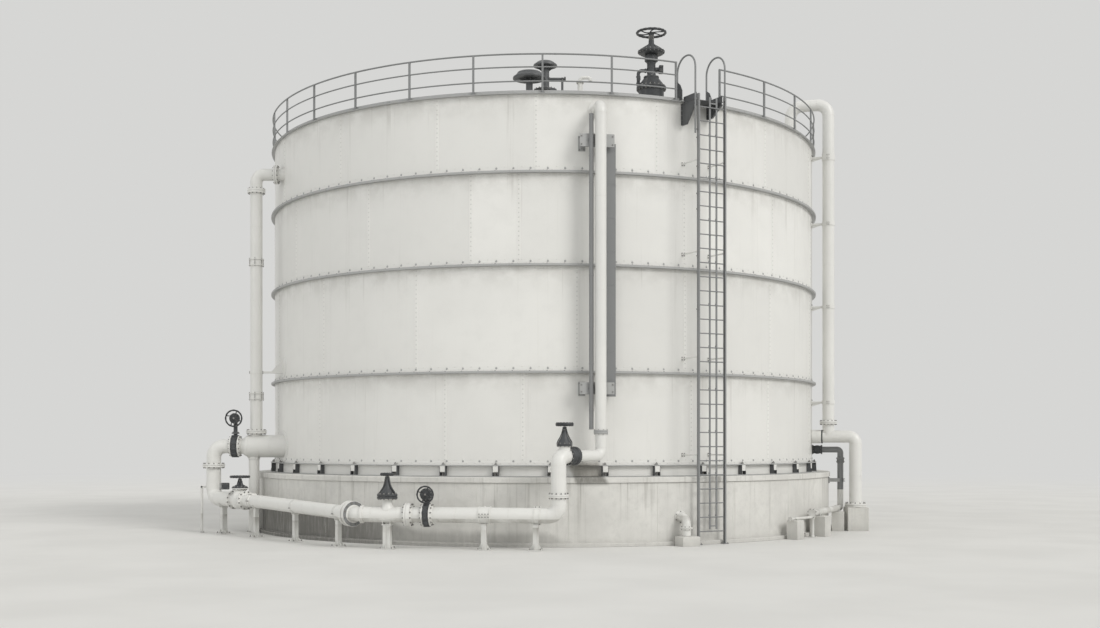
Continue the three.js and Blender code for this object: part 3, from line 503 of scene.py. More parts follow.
# ------------------------------------------------------------------- materials
class Nodes:
    """Short calls for building one material's nodes."""

    def __init__(self, name):
        self.m = bpy.data.materials.new(name)
        self.m.use_nodes = True
        self.t = self.m.node_tree
        self.t.nodes.clear()
        self.out = self.n("ShaderNodeOutputMaterial")
        self.b = self.n("ShaderNodeBsdfPrincipled")
        self.t.links.new(self.b.outputs[0], self.out.inputs[0])
        self.pos = self.n("ShaderNodeTexCoord").outputs["Object"]
        MATS[name] = self.m

    def n(self, kind, **kw):
        node = self.t.nodes.new(kind)
        for k, v in kw.items():
            setattr(node, k, v)
        return node

    def put(self, socket, value):
        if isinstance(value, bpy.types.NodeSocket):
            self.t.links.new(value, socket)
        elif isinstance(value, (tuple, list)) and len(value) == 3 and socket.type == "RGBA":
            socket.default_value = (*value, 1)
        else:
            socket.default_value = value

    def scaled(self, s, move=(0, 0, 0)):
        m = self.n("ShaderNodeMapping")
        self.put(m.inputs["Vector"], self.pos)
        m.inputs["Scale"].default_value = s if isinstance(s, (tuple, list)) else (s, s, s)
        m.inputs["Location"].default_value = move
        return m.outputs[0]

    def noise(self, s, detail=4.0, rough=0.55, move=(0, 0, 0), distort=0.0):
        t = self.n("ShaderNodeTexNoise")
        self.put(t.inputs["Vector"], self.scaled(s, move))
        t.inputs["Scale"].default_value = 1.0
        t.inputs["Detail"].default_value = detail
        t.inputs["Roughness"].default_value = rough
        t.inputs["Distortion"].default_value = distort
        return t.outputs[0]

    def cells(self, s, feature="F1", out="Distance", move=(0, 0, 0), random=1.0):
        t = self.n("ShaderNodeTexVoronoi", feature=feature)
        self.put(t.inputs["Vector"], self.scaled(s, move))
        t.inputs["Scale"].default_value = 1.0
        t.inputs["Randomness"].default_value = random
        return t.outputs[out]

    def math(self, op, a, b=None, c=None, clamp=False):
        t = self.n("ShaderNodeMath", operation=op, use_clamp=clamp)
        for i, v in enumerate((a, b, c)):
            if v is not None:
                self.put(t.inputs[i], v)
        return t.outputs[0]

    def span(self, v, a, b, c=0.0, d=1.0, smooth=True):
        t = self.n("ShaderNodeMapRange", interpolation_type="SMOOTHSTEP" if smooth else "LINEAR")
        self.put(t.inputs["Value"], v)
        for k, x in zip(("From Min", "From Max", "To Min", "To Max"), (a, b, c, d)):
            self.put(t.inputs[k], x)
        return t.outputs[0]

    def mix(self, f, a, b, kind="MIX"):
        t = self.n("ShaderNodeMix", data_type="RGBA", blend_type=kind)
        self.put(t.inputs["Factor"], f)
        self.put(t.inputs[6], a)
        self.put(t.inputs[7], b)
        return t.outputs[2]

    def xyz(self):
        t = self.n("ShaderNodeSeparateXYZ")
        self.put(t.inputs[0], self.pos)
        return t.outputs[0], t.outputs[1], t.outputs[2]

    def tone(self):
        return self.n("ShaderNodeAttribute", attribute_name="tone").outputs["Fac"]

    def riser_shadow(self):
        """Painted shadow: the dark patch that the riser's valve and elbow cast on the ledge and ring under them."""
        x, y, z = self.xyz()
        edge = self.math("MULTIPLY_ADD", self.noise((3.0, 3.0, 2.0), 4, 0.6, (2, 8, 3)), 0.16, -0.08)
        xe = self.math("ADD", x, self.math("MULTIPLY_ADD", self.math("SUBTRACT", 1.9, z), -0.35, edge))
        m = self.math("MULTIPLY", self.span(xe, 0.62, 0.74), self.span(xe, 1.52, 1.36))
        m = self.math("MULTIPLY", m, self.span(self.math("ADD", z, edge), 2.18, 1.98))
        m = self.math("MULTIPLY", m, self.span(z, 1.45, 1.62))
        m = self.math("MULTIPLY", m, self.math("LESS_THAN", y, -7.5))
        return self.math("MULTIPLY", m, self.span(self.noise((14.0, 14.0, 4.0), 4, 0.7, (5, 1, 2)), 0.2, 0.62, 0.72, 1.0))

    def edges(self, w=0.003):
        """1 on worn edges and corners, from the change of the surface's direction within w metres."""
        bev = self.n("ShaderNodeBevel", samples=4)
        bev.inputs["Radius"].default_value = w
        geo = self.n("ShaderNodeNewGeometry")
        dot = self.n("ShaderNodeVectorMath", operation="DOT_PRODUCT")
        self.put(dot.inputs[0], bev.outputs[0])
        self.put(dot.inputs[1], geo.outputs["Normal"])
        return self.span(dot.outputs["Value"], 0.995, 0.9, 0.0, 1.0)

    def bump(self, height, strength, distance, normal=None):
        t = self.n("ShaderNodeBump")
        t.inputs["Strength"].default_value = strength
        t.inputs["Distance"].default_value = distance
        self.put(t.inputs["Height"], height)
        if normal is not None:
            self.put(t.inputs["Normal"], normal)
        return t.outputs[0]

    def finish(self, color, rough, normal=None, metallic=None, spec=None):
        self.put(self.b.inputs["Base Color"], color)
        self.put(self.b.inputs["Roughness"], rough)
        if metallic is not None:
            self.b.inputs["Metallic"].default_value = metallic
        if spec is not None:
            self.b.inputs["Specular IOR Level"].default_value = spec
        if normal is not None:
            self.put(self.b.inputs["Normal"], normal)
        return self.m


def paint(name, base, dark, streak=0.25, grime=0.25, rough=0.42, bump=1.0, joints=(), chip=None, orange=160.0, tone=0.10, riser_shadow=0.0):
    """Brush-coated steel: slow colour change, runs of dirt down the face, grime under the joints, a pebbled coat."""
    k = Nodes(name)
    x, y, z = k.xyz()
    slow = k.noise(0.55, 3, 0.6)
    patch = k.noise(2.3, 5, 0.6, (7, 3, 1))
    runs = k.noise((5.5, 5.5, 0.16), 5, 0.62, (2, 5, 0), 0.15)
    fine = k.noise((26, 26, 0.7), 3, 0.6, (1, 9, 4))
    speck = k.noise(38.0, 4, 0.7, (3, 1, 8))
    col = k.mix(k.span(slow, 0.35, 0.7), base, tuple(c * 0.955 for c in base))
    col = k.mix(k.math("MULTIPLY", k.span(patch, 0.48, 0.75), 0.35), col, tuple(c * 0.90 for c in base))
    col = k.mix(k.math("MULTIPLY", k.math("ADD", k.tone(), 0.0), 1.0, clamp=True), col, tuple(c * (1 - 2.2 * tone) for c in base))
    run = k.math("MULTIPLY", k.span(runs, 0.54, 0.76), k.span(fine, 0.35, 0.7))
    under = None
    for zj, reach in joints:
        d = k.math("SUBTRACT", zj, z)
        band = k.math("MULTIPLY", k.span(d, reach, 0.0), k.math("GREATER_THAN", d, 0.0))
        under = band if under is None else k.math("MAXIMUM", under, band)
    if under is not None:
        run = k.math("MULTIPLY", run, k.math("MULTIPLY_ADD", under, 1.6, 0.55), clamp=True)
    col = k.mix(k.math("MULTIPLY", run, streak, clamp=True), col, dark)
    dirt = k.math("MULTIPLY", k.span(speck, 0.58, 0.8), grime * 0.5)
    if under is not None:
        close = k.math("MULTIPLY", k.math("POWER", under, 3.0), k.span(patch, 0.3, 0.62))
        dirt = k.math("ADD", dirt, k.math("MULTIPLY", close, grime), clamp=True)
    col = k.mix(dirt, col, dark)
    if chip is not None:
        worn = k.math("MULTIPLY", k.edges(0.004), k.span(k.noise(60.0, 3, 0.7, (4, 4, 4)), 0.5, 0.62))
        col = k.mix(k.math("MULTIPLY", worn, 0.8), col, chip)
    # painted shadow of the riser's valve and elbow on the ledge and ring below it
    if riser_shadow:
        col = k.mix(k.math("MULTIPLY", k.riser_shadow(), riser_shadow), col, dark)
    rg = k.math("MULTIPLY_ADD", patch, 0.18, rough - 0.08)
    rg = k.math("MULTIPLY_ADD", run, 0.22, rg, clamp=True)
    n = k.bump(k.noise(orange, 2, 0.5), 0.12 * bump, 0.0006)
    n = k.bump(speck, 0.10 * bump, 0.0012, n)
    return k, col, rg, n


def metres(*v):
    return tuple(x / 1000 for x in v)


# shell plates: off-white, with slight waves between the seams
# the last value darkens the plates with the painted shadow under the riser's valve
k, c, r, n = paint("shell_paint", (0.815, 0.81, 0.78), (0.30, 0.285, 0.25), 0.30, 0.26, 0.40,
                   joints=[(v / 1000, 1.15) for v in (Z_J1, Z_J2, Z_J3, Z_RIM)], riser_shadow=0.85)
n = k.bump(k.noise((0.9, 0.9, 0.7), 2, 0.4, (3, 3, 3)), 0.55, 0.02, n)
k.finish(c, r, n)
k, c, r, n = paint("roof_paint", (0.74, 0.735, 0.70), (0.30, 0.285, 0.25), 0.15, 0.45, 0.5)
n = k.bump(k.noise(0.8, 2, 0.4, (3, 3, 3)), 0.5, 0.02, n)
k.finish(c, r, n)
# the last value darkens the ring with the painted shadow under the riser's valve
k, c, r, n = paint("trim_paint", (0.40, 0.405, 0.40), (0.12, 0.115, 0.10), 0.35, 0.45, 0.45, chip=(0.62, 0.62, 0.6), riser_shadow=0.9)
k.finish(c, r, n)
k, c, r, n = paint("pipe_paint", (0.745, 0.742, 0.715), (0.24, 0.225, 0.19), 0.30, 0.42, 0.36, joints=[(0.75, 0.7)], chip=(0.42, 0.38, 0.33))
k.finish(c, r, n)
k, c, r, n = paint("post_paint", (0.66, 0.66, 0.635), (0.20, 0.185, 0.155), 0.4, 0.5, 0.45, joints=[(0.55, 0.5)], chip=(0.35, 0.30, 0.26))
k.finish(c, r, n)
k, c, r, n = paint("rail_paint", (0.225, 0.23, 0.232), (0.08, 0.078, 0.07), 0.3, 0.4, 0.42, chip=(0.45, 0.45, 0.44))
k.finish(c, r, n, metallic=0.0)
k, c, r, n = paint("fitting_paint", (0.10, 0.104, 0.108), (0.035, 0.034, 0.03), 0.3, 0.4, 0.45, chip=(0.30, 0.29, 0.28))
k.finish(c, r, n)


def iron(name, base, rough, sand=55.0, depth=0.0022):
    """Painted sand-cast iron: pebbled, darker in its pores, rubbed lighter on its edges."""
    k = Nodes(name)
    grain = k.noise(sand, 5, 0.7)
    big = k.noise(6.0, 4, 0.6, (3, 5, 7))
    pits = k.cells(sand * 1.8, move=(1, 2, 3))
    col = k.mix(k.span(big, 0.35, 0.7), base, tuple(c * 0.72 for c in base))
    col = k.mix(k.math("MULTIPLY", k.span(grain, 0.55, 0.75), 0.5), col, tuple(c * 1.45 for c in base))
    worn = k.math("MULTIPLY", k.edges(0.005), k.span(k.noise(40.0, 3, 0.7, (9, 1, 4)), 0.44, 0.6))
    col = k.mix(k.math("MULTIPLY", worn, 0.75), col, (0.26, 0.25, 0.24))
    dust = k.math("MULTIPLY", k.span(k.noise((9, 9, 1.2), 4, 0.6, (5, 5, 1)), 0.55, 0.8), 0.35)
    col = k.mix(dust, col, (0.24, 0.225, 0.20))
    rg = k.math("MULTIPLY_ADD", grain, 0.25, rough - 0.1, clamp=True)
    n = k.bump(grain, 0.35, depth)
    n = k.bump(k.span(pits, 0.0, 0.35), 0.15, 0.0015, n)
    k.finish(col, rg, n)


iron("valve_iron", (0.062, 0.066, 0.070), 0.46)
iron("wheel_iron", (0.038, 0.040, 0.043), 0.38, 70.0, 0.0012)

# bolts and nuts: dull zinc with a little rust in the threads
k = Nodes("bolt_zinc")
g = k.noise(90.0, 4, 0.7)
col = k.mix(k.span(g, 0.4, 0.7), (0.33, 0.33, 0.325), (0.20, 0.19, 0.175))
col = k.mix(k.math("MULTIPLY", k.span(k.noise(14.0, 4, 0.6, (2, 7, 1)), 0.52, 0.72), 0.6), col, (0.16, 0.10, 0.065))
k.finish(col, k.math("MULTIPLY_ADD", g, 0.3, 0.32), k.bump(g, 0.25, 0.0008), metallic=0.55)

# bright steel of stems
k = Nodes("stem_steel")
g = k.noise((60, 60, 6), 3, 0.6)
col = k.mix(k.span(g, 0.3, 0.75), (0.46, 0.45, 0.43), (0.26, 0.24, 0.22))
k.finish(col, k.math("MULTIPLY_ADD", g, 0.25, 0.22), k.bump(g, 0.2, 0.0006), metallic=0.85)

# gaskets and sealing compound
k = Nodes("gasket")
g = k.noise(70.0, 3, 0.6)
k.finish(k.mix(g, (0.035, 0.034, 0.033), (0.075, 0.07, 0.066)), k.math("MULTIPLY_ADD", g, 0.2, 0.65), k.bump(g, 0.3, 0.001))


def concrete(name, base, band=False, cap=False):
    """Cast concrete: clouded, with runs down the face, pores, the prints of the boards, and (with band) a painted
    shadow of the header along the foot.
    """
    k = Nodes(name)
    x, y, z = k.xyz()
    cloud = k.noise(0.8, 5, 0.6)
    mottle = k.noise(5.0, 6, 0.65, (5, 2, 9))
    sand = k.noise(150.0, 3, 0.7, (1, 1, 1))
    runs = k.noise((7.0, 7.0, 0.22), 6, 0.65, (8, 1, 0), 0.2)
    hair = k.noise((30.0, 30.0, 0.5), 3, 0.6, (2, 2, 2))
    col = k.mix(k.span(cloud, 0.3, 0.7), base, tuple(c * 0.86 for c in base))
    col = k.mix(k.math("MULTIPLY", k.span(mottle, 0.42, 0.72), 0.55), col, tuple(c * 0.80 for c in base))
    col = k.mix(k.math("MULTIPLY", k.span(sand, 0.5, 0.75), 0.35), col, tuple(min(1, c * 1.12) for c in base))
    run = k.math("MULTIPLY", k.span(runs, 0.50, 0.74), k.span(hair, 0.3, 0.65))
    if not cap:
        fall = k.span(z, 0.1, PLINTH_TOP / 1000, 0.35, 1.0)
        run = k.math("MULTIPLY", run, fall)
    col = k.mix(k.math("MULTIPLY", run, 0.60, clamp=True), col, (0.20, 0.19, 0.165))
    under_shadow_top = None
    if band:
        # painted shadow of the header pipe along the foot, deepest behind the header pipe
        edge = k.math("MULTIPLY_ADD", k.noise((2.2, 2.2, 1.0), 5, 0.65, (4, 4, 4)), 0.22, 0.02)
        side = k.math("ARCTAN2", x, k.math("MULTIPLY", y, -1.0))
        where = k.math("MULTIPLY", k.span(side, -1.85, -1.45), k.span(side, 0.10, -0.02))
        deep = k.math("MULTIPLY", k.span(side, -1.85, -1.45), k.span(side, -0.30, -0.62))
        top = k.math("MULTIPLY_ADD", where, 0.20, k.math("MULTIPLY_ADD", deep, 0.42, edge))
        under_shadow_top = k.span(k.math("SUBTRACT", z, top), 0.12, -0.10)
        header_shadow = k.math("MULTIPLY", under_shadow_top, k.math("MULTIPLY_ADD", where, 0.22, k.math("MULTIPLY_ADD", deep, 0.40, 0.14)))
        header_shadow = k.math("MULTIPLY", header_shadow, k.span(k.noise((9.0, 9.0, 1.4), 5, 0.7, (7, 7, 7)), 0.15, 0.6, 0.6, 1.0))
        col = k.mix(header_shadow, col, (0.060, 0.057, 0.050))
    # painted shadow of the riser's valve and elbow on the cap and the wall top
    if cap or band:
        col = k.mix(k.math("MULTIPLY", k.riser_shadow(), 0.8), col, (0.12, 0.115, 0.10))
    pores = k.cells(34.0, move=(3, 3, 3))
    pore = k.math("MULTIPLY", k.span(pores, 0.16, 0.05), k.span(k.noise(3.0, 2, 0.5, (6, 6, 6)), 0.45, 0.6))
    col = k.mix(k.math("MULTIPLY", pore, 0.7), col, tuple(c * 0.35 for c in base))
    worn = k.math("MULTIPLY", k.edges(0.02), k.span(mottle, 0.4, 0.6))
    col = k.mix(k.math("MULTIPLY", worn, 0.35), col, tuple(min(1, c * 1.15) for c in base))
    rg = k.math("MULTIPLY_ADD", mottle, 0.16, 0.76)
    n = k.bump(sand, 0.35, 0.0016)
    n = k.bump(mottle, 0.35, 0.006, n)
    n = k.bump(k.math("SUBTRACT", 1.0, pore), 0.5, 0.004, n)
    k.finish(col, rg, n, spec=0.3)


# band adds the header's painted shadow along the foot, cap and band the riser valve's painted shadow on the ledge
concrete("concrete_wall", (0.70, 0.692, 0.66), band=True)
concrete("concrete_cap", (0.70, 0.692, 0.66), cap=True)
concrete("concrete_pier", (0.66, 0.652, 0.62), band=True)
k = Nodes("grout")
g = k.noise(60.0, 5, 0.7)
k.finish(k.mix(g, (0.36, 0.35, 0.33), (0.52, 0.51, 0.48)), k.math("MULTIPLY_ADD", g, 0.1, 0.85), k.bump(g, 0.5, 0.003), spec=0.25)


# ---------------------------------------------------------------------- camera
cam = bpy.data.objects.new("camera", bpy.data.cameras.new("camera"))
cam.data.sensor_width, cam.data.lens = 36.0, 42.32
cam.data.shift_x, cam.data.shift_y = 0.00586, 0.11755
cam.data.clip_start, cam.data.clip_end = 0.5, 1500.0
cam.location = (0.0, -40.336, 2.542)
cam.rotation_euler = (math.pi / 2, 0.0, 0.0)
bpy.context.scene.collection.objects.link(cam)
bpy.context.scene.camera = cam

# ------------------------------------------------------------------ foundation
SEG = 240


def grooves(az_list, width=14.0, depth=6.0, radius=PLINTH_R, seg=SEG):
    """Angles and radius changes of a round wall with upright grooves."""
    base = [(2 * math.pi * k / seg, 0.0) for k in range(seg)]
    w = width / radius
    out = []
    for a, d in base:
        if not any(abs((a - g + math.pi) % (2 * math.pi) - math.pi) < 1.2 * w for g in az_list):
            out.append((a, d))
    for g in az_list:
        for da, d in ((-w / 2, 0.0), (-w / 5, -depth), (w / 5, -depth), (w / 2, 0.0)):
            out.append(((g + da) % (2 * math.pi), d))
    out.sort()
    return np.array([a for a, _ in out]), np.array([d for _, d in out])


wall_joints = [math.radians(x) for x in np.arange(4.0, 364.0, 15.0)]
ang, dr = grooves(wall_joints)
p = piece("plinth_wall", "concrete_wall")
p.add(lathe([(PLINTH_R - 40, 2), (PLINTH_R, 2), (PLINTH_R, PLINTH_TOP - 2), (PLINTH_R - 40, PLINTH_TOP - 2)], closed=True, angles=ang, dr=dr))
p.add(lathe([(0, 0), (FOOT_R - 8, 0), (FOOT_R, 6), (FOOT_R, FOOT_H - 16), (FOOT_R - 16, FOOT_H), (PLINTH_R - 10, FOOT_H + 3), (PLINTH_R - 30, PLINTH_TOP), (0, PLINTH_TOP)], SEG))
# round prints where the form ties came out
ties = []
for a in np.arange(11.5, 371.5, 15.0):
    for z in (520.0, 1180.0):
        ties.append(facing(polar(PLINTH_R - 1.5, a, z), outward(a)))
p.many(lathe([(34, 0), (34, 3), (27, 3.6), (22, 2.2), (0, 2.2)], 16), ties)
p.make(slot="concrete", replaces="plinth_drum")

p = piece("plinth_cap_course", "concrete_cap")
ang, dr = grooves([math.radians(x) for x in np.arange(1.5, 361.5, 30.0)], 12, 5, CAP_R)
p.add(lathe([(CAP_R - 60, PLINTH_TOP + 1), (CAP_R - 6, PLINTH_TOP + 1), (CAP_R, PLINTH_TOP + 7), (CAP_R, CAP_TOP - 14), (CAP_R - 14, CAP_TOP), (CAP_R - 60, CAP_TOP)], closed=True, angles=ang, dr=dr))
p.add(lathe([(0, PLINTH_TOP + 1), (CAP_R - 30, PLINTH_TOP + 1), (CAP_R - 50, CAP_TOP - 1), (0, CAP_TOP - 1)], SEG))
p.make(slot="concrete", replaces="plinth_cap")

# ------------------------------------------------------------------------ tank
CHAIRS = [1.2 + 360.0 / 38 * k for k in range(38)]
p = piece("tank_bottom_plate_rim", "trim_paint")
p.add(lathe([(0, CAP_TOP + 1), (FLOOR_R - 2, CAP_TOP + 1), (FLOOR_R, CAP_TOP + 3), (FLOOR_R, FLOOR_TOP - 2), (FLOOR_R - 2, FLOOR_TOP), (0, FLOOR_TOP)], SEG))
p.make(slot="shell_paint", replaces="tank_bottom_plate")

# ring on the anchor chairs, with the chairs' gussets, face plates and the anchor bolts through it
p = piece("anchor_ring_and_chairs", "trim_paint")
p.add(lathe([(R + 1, Z_ANCHOR - 22), (R + 125, Z_ANCHOR - 22), (R + 128, Z_ANCHOR - 19), (R + 128, Z_ANCHOR - 3), (R + 125, Z_ANCHOR), (R + 1, Z_ANCHOR)], SEG, closed=True))
gusset = slab([(0, 0), (128, 0), (128, 40), (116, 251), (0, 251)], 12)
gp, bolts, wash = [], [], []
for a in CHAIRS:
    o, t = outward(a), tangent(a)
    for s in (-1, 1):
        gp.append((polar(R + 1, a, FLOOR_TOP) + t * (s * 72 + 6), o, Z, np.cross(o, Z)))
    wash.append(facing(polar(R + 66, a, Z_ANCHOR + 4), Z, t))
    bolts.append(facing(polar(R + 66, a, Z_ANCHOR + 8), Z, t))
# the gussets are painted near-black as painted shade on the chairs' sides; their face plates stay pale
p.many(gusset, gp, "fitting_paint")
p.many(cbox(132, 10, 150, 2), [(polar(R + 121, a, FLOOR_TOP + 172), tangent(a), outward(a), Z) for a in CHAIRS], "pipe_paint")
p.many(cbox(84, 84, 8, 2), wash)
p.many(hex_nut(62, 30, True, 24, 17), bolts, "bolt_zinc")
p.many(flat_lathe([(17, 0), (17, 262)], 10), [facing(polar(R + 66, a, FLOOR_TOP - 8), Z) for a in CHAIRS], "bolt_zinc")
p.make(slot="trim_paint", replaces="anchor_ring")

SEAMS = {
    1: [-47.1, -17.6, -3.6, 27.4, 47.4],
    2: [-45.8, -23.2, 5.8, 26.1, 48.1],
    3: [-33.5, -12.8, -4.3, 25.9],
    4: [-40.7, -19.1, -1.3, 20.4, 46.4],
}
TOPS = [FLOOR_TOP, Z_J1, Z_J2, Z_J3, Z_RIM]
rng = np.random.default_rng(7)
for c in (1, 2, 3, 4):
    z0, z1 = TOPS[c - 1], TOPS[c]
    seen = sorted(SEAMS[c])
    # plates of one length round the side and back, between the seams that show
    rest = 360.0 - (seen[-1] - seen[0])
    m = round(rest / 22.5)
    seams = seen + [seen[-1] + rest * j / m for j in range(1, m)]
    p = piece(f"shell_course_{c}_plates", "shell_paint")
    lap = 92.0
    zb = z0 + GAP + (4 if c > 1 else 0)
    # one skin per plate, so that each plate has its own tone
    cuts = sorted((s % 360.0) for s in seams)
    for j, a0 in enumerate(cuts):
        a1 = cuts[(j + 1) % len(cuts)] + (360.0 if j == len(cuts) - 1 else 0.0)
        n = max(3, round((a1 - a0) / 1.5))
        az = np.radians(np.linspace(a0, a1, n + 1))
        prof = [(R - T_SHELL, zb), (R + 4, zb), (R + 4, z0 + lap), (R + 1, z0 + lap + 3), (R, z0 + lap + 4), (R, z1), (R - T_SHELL, z1)]
        if c == 1:
            prof = [(R - T_SHELL, zb), (R, zb), (R, Z_ANCHOR), (R + 4, Z_ANCHOR), (R + 4, Z_ANCHOR + 84), (R + 1, Z_ANCHOR + 87), (R, Z_ANCHOR + 88), (R, z1), (R - T_SHELL, z1)]
        v = np.concatenate([np.column_stack([np.full(len(prof), math.sin(a)) * [q[0] for q in prof], -np.full(len(prof), math.cos(a)) * [q[0] for q in prof], [q[1] for q in prof]]) for a in az])
        k = len(prof)
        f = []
        for i in range(n):
            for q in range(k):
                w = (q + 1) % k
                f.append((i * k + q, i * k + w, (i + 1) * k + w, (i + 1) * k + q))
        f.append(tuple(range(k))[::-1])
        f.append(tuple(range(n * k, (n + 1) * k)))
        p.add(Chunk(v, f).out(), tone=float(rng.uniform(0.0, 0.55)))
    # upright laps and their rivets
    zlo = (Z_ANCHOR + 92 if c == 1 else z0 + lap + 6)
    zhi = z1 - (RING_H / 2 + 2 if c < 4 else 16)
    straps, riv = [], []
    strap = cbox(86, 5, zhi - zlo, 1.6)
    for s in seams:
        o, t = outward(s), tangent(s)
        straps.append(facing(polar(R + 1.6, s, (zlo + zhi) / 2), Z, t))
        count = max(2, round((zhi - zlo - 90) / 118))
        for q in range(count + 1):
            riv.append(facing(polar(R + 4.0, s, zlo + 45 + (zhi - zlo - 90) * q / count), o, t))
    p.many(strap, straps, tone=0.1)
    p.many(rivet(19, 10), riv, tone=1.0)
    # level rows of rivets above the joint
    row = []
    if c == 1:
        rows = [(Z_ANCHOR + 44, R + 4, 0.0), (Z_ANCHOR + 132, R, 0.75)]
    else:
        rows = [(z0 + 58, R + 4, 0.0), (z0 + 138, R, 0.75)]
    rows.append((z1 - (RING_H / 2 + 44 if c < 4 else 52), R, 0.0))
    for z, rr, shift in rows:
        for q in range(240):
            a = q * 1.5 + shift
            row.append(facing(polar(rr, a, z), outward(a), tangent(a)))
    p.many(rivet(16, 8), row, tone=0.6)
    # larger bolts along the joint, two to each plate's step
    zb = (Z_ANCHOR if c == 1 else z0) + 96
    p.many(rivet(29, 15), [facing(polar(R + (0 if c == 1 else 1), q * 3.0 + 0.75, zb), outward(q * 3.0 + 0.75), tangent(q * 3.0 + 0.75)) for q in range(120)], "trim_paint")
    p.make(slot="shell_paint", replaces=f"shell_course_{c}")

for c, zj in enumerate((Z_J1, Z_J2, Z_J3), 1):
    p = piece(f"stiffening_ring_{c}_bar", "trim_paint")
    h = RING_H / 2
    p.add(lathe([(R + 1, zj - h), (R + RING_OUT - 4, zj - h), (R + RING_OUT, zj - h + 4), (R + RING_OUT, zj + h - 4), (R + RING_OUT - 4, zj + h), (R + 22, zj + h - 1), (R + 4, zj + h + 2.5), (R + 1, zj + h + 2.5)], SEG, closed=True))
    # splices of the ring, each with four bolts, and bolts along its top leg
    b4, top = [], []
    for j in range(16):
        a = 7.0 + 22.5 * j + 4.0 * c
        b4 += [facing(polar(R + RING_OUT - 2, a + d, zj), outward(a + d), tangent(a)) for d in (-1.35, -0.5, 0.5, 1.35)]
    for q in range(120):
        a = q * 3.0 + 0.6
        top.append(facing(polar(R + 62, a, zj + h - 1), Z, tangent(a)))
    p.many(hex_nut(30, 14, True), top, "bolt_zinc")
    p.many(rivet(11, 4), b4)
    p.make(slot="trim_paint", replaces=f"stiffening_ring_{c}")

p = piece("kerb_angle_bar", "trim_paint")
p.add(lathe([(R + 1, Z_RIM - 12), (R + KERB_OUT - 2, Z_RIM - 12), (R + KERB_OUT, Z_RIM - 10), (R + KERB_OUT, Z_RIM - 2), (R + KERB_OUT - 2, Z_RIM), (R + 22, Z_RIM), (R + 14, Z_RIM + 6), (R + 12, Z_RIM + 14), (R + 12, Z_RIM + 87), (R + 9, Z_RIM + 90), (R + 1, Z_RIM + 90)], SEG, closed=True))
p.many(rivet(15, 8), [facing(polar(R + 12, q * 3.0 + 1.1, Z_RIM + 52), outward(q * 3.0 + 1.1), tangent(q * 3.0 + 1.1)) for q in range(120)])
p.make(slot="trim_paint", replaces="kerb_angle")


def roof_z(r):
    return Z_RIM + GAP + ROOF_T + ROOF_RISE * (1 - r / R)


# roof: overlapping plates in sectors, a crown plate and radial laps
p = piece("cone_roof_plates", "roof_paint")
for j in range(20):
    a0, a1 = 18.0 * j + 5, 18.0 * (j + 1) + 5
    az = np.linspace(a0, a1, 13)
    rr = [900.0, 3300.0, 5800.0, R - 1]
    top, bot = [], []
    v = []
    for r in rr:
        for a in az:
            v.append(polar(r, a, roof_z(r)))
    for r in rr:
        for a in az:
            v.append(polar(r, a, roof_z(r) - 8))
    n, m = len(rr), len(az)
    f = []
    for i in range(n - 1):
        for q in range(m - 1):
            b = i * m + q
            f.append((b, b + 1, b + m + 1, b + m))
            b += n * m
            f.append((b, b + m, b + m + 1, b + 1))
    rim = [i for i in range(m)] + [i * m + m - 1 for i in range(1, n)] + [(n - 1) * m + i for i in range(m - 2, -1, -1)] + [i * m for i in range(n - 2, 0, -1)]
    for i in range(len(rim)):
        a, b = rim[i], rim[(i + 1) % len(rim)]
        f.append((a, b, b + n * m, a + n * m))
    p.add(Chunk(v, f).out(), tone=float(rng.uniform(0, 0.7)))
slope = math.atan2(ROOF_RISE, R)
lap, rv = [], []
for j in range(20):
    a = 18.0 * j + 5
    o = outward(a) * math.cos(slope) - Z * math.sin(slope)
    up = np.cross(o, -tangent(a))
    up = up if up[2] > 0 else -up
    mid = polar((900 + R - 140) / 2, a, roof_z((900 + R - 140) / 2) + 2)
    lap.append((mid, o, np.cross(up, o), up))
    for q in range(44):
        r = 1000 + (R - 1250) * q / 43
        rv.append((polar(r, a, roof_z(r) + 5), o, np.cross(up, o), up))
p.many(cbox(R - 140 - 900, 110, 7, 2), lap, tone=0.3)
p.many(rivet(14, 7), rv)
for r in (3300.0, 5800.0):
    p.add(lathe([(r - 45, roof_z(r - 45) - 2), (r + 45, roof_z(r + 45) - 2), (r + 45, roof_z(r + 45) + 4), (r - 45, roof_z(r - 45) + 4)], 160, closed=True), tone=0.2)
p.add(lathe([(0, roof_z(0) - 8), (980, roof_z(980) - 6), (980, roof_z(980) + 6), (970, roof_z(970) + 8), (0, roof_z(0) + 8)][::1], 80), tone=0.4)
p.many(rivet(16, 8), [facing(polar(930, q * 7.5, roof_z(930) + 7), Z) for q in range(48)])
p.make(slot="shell_paint", replaces="cone_roof")

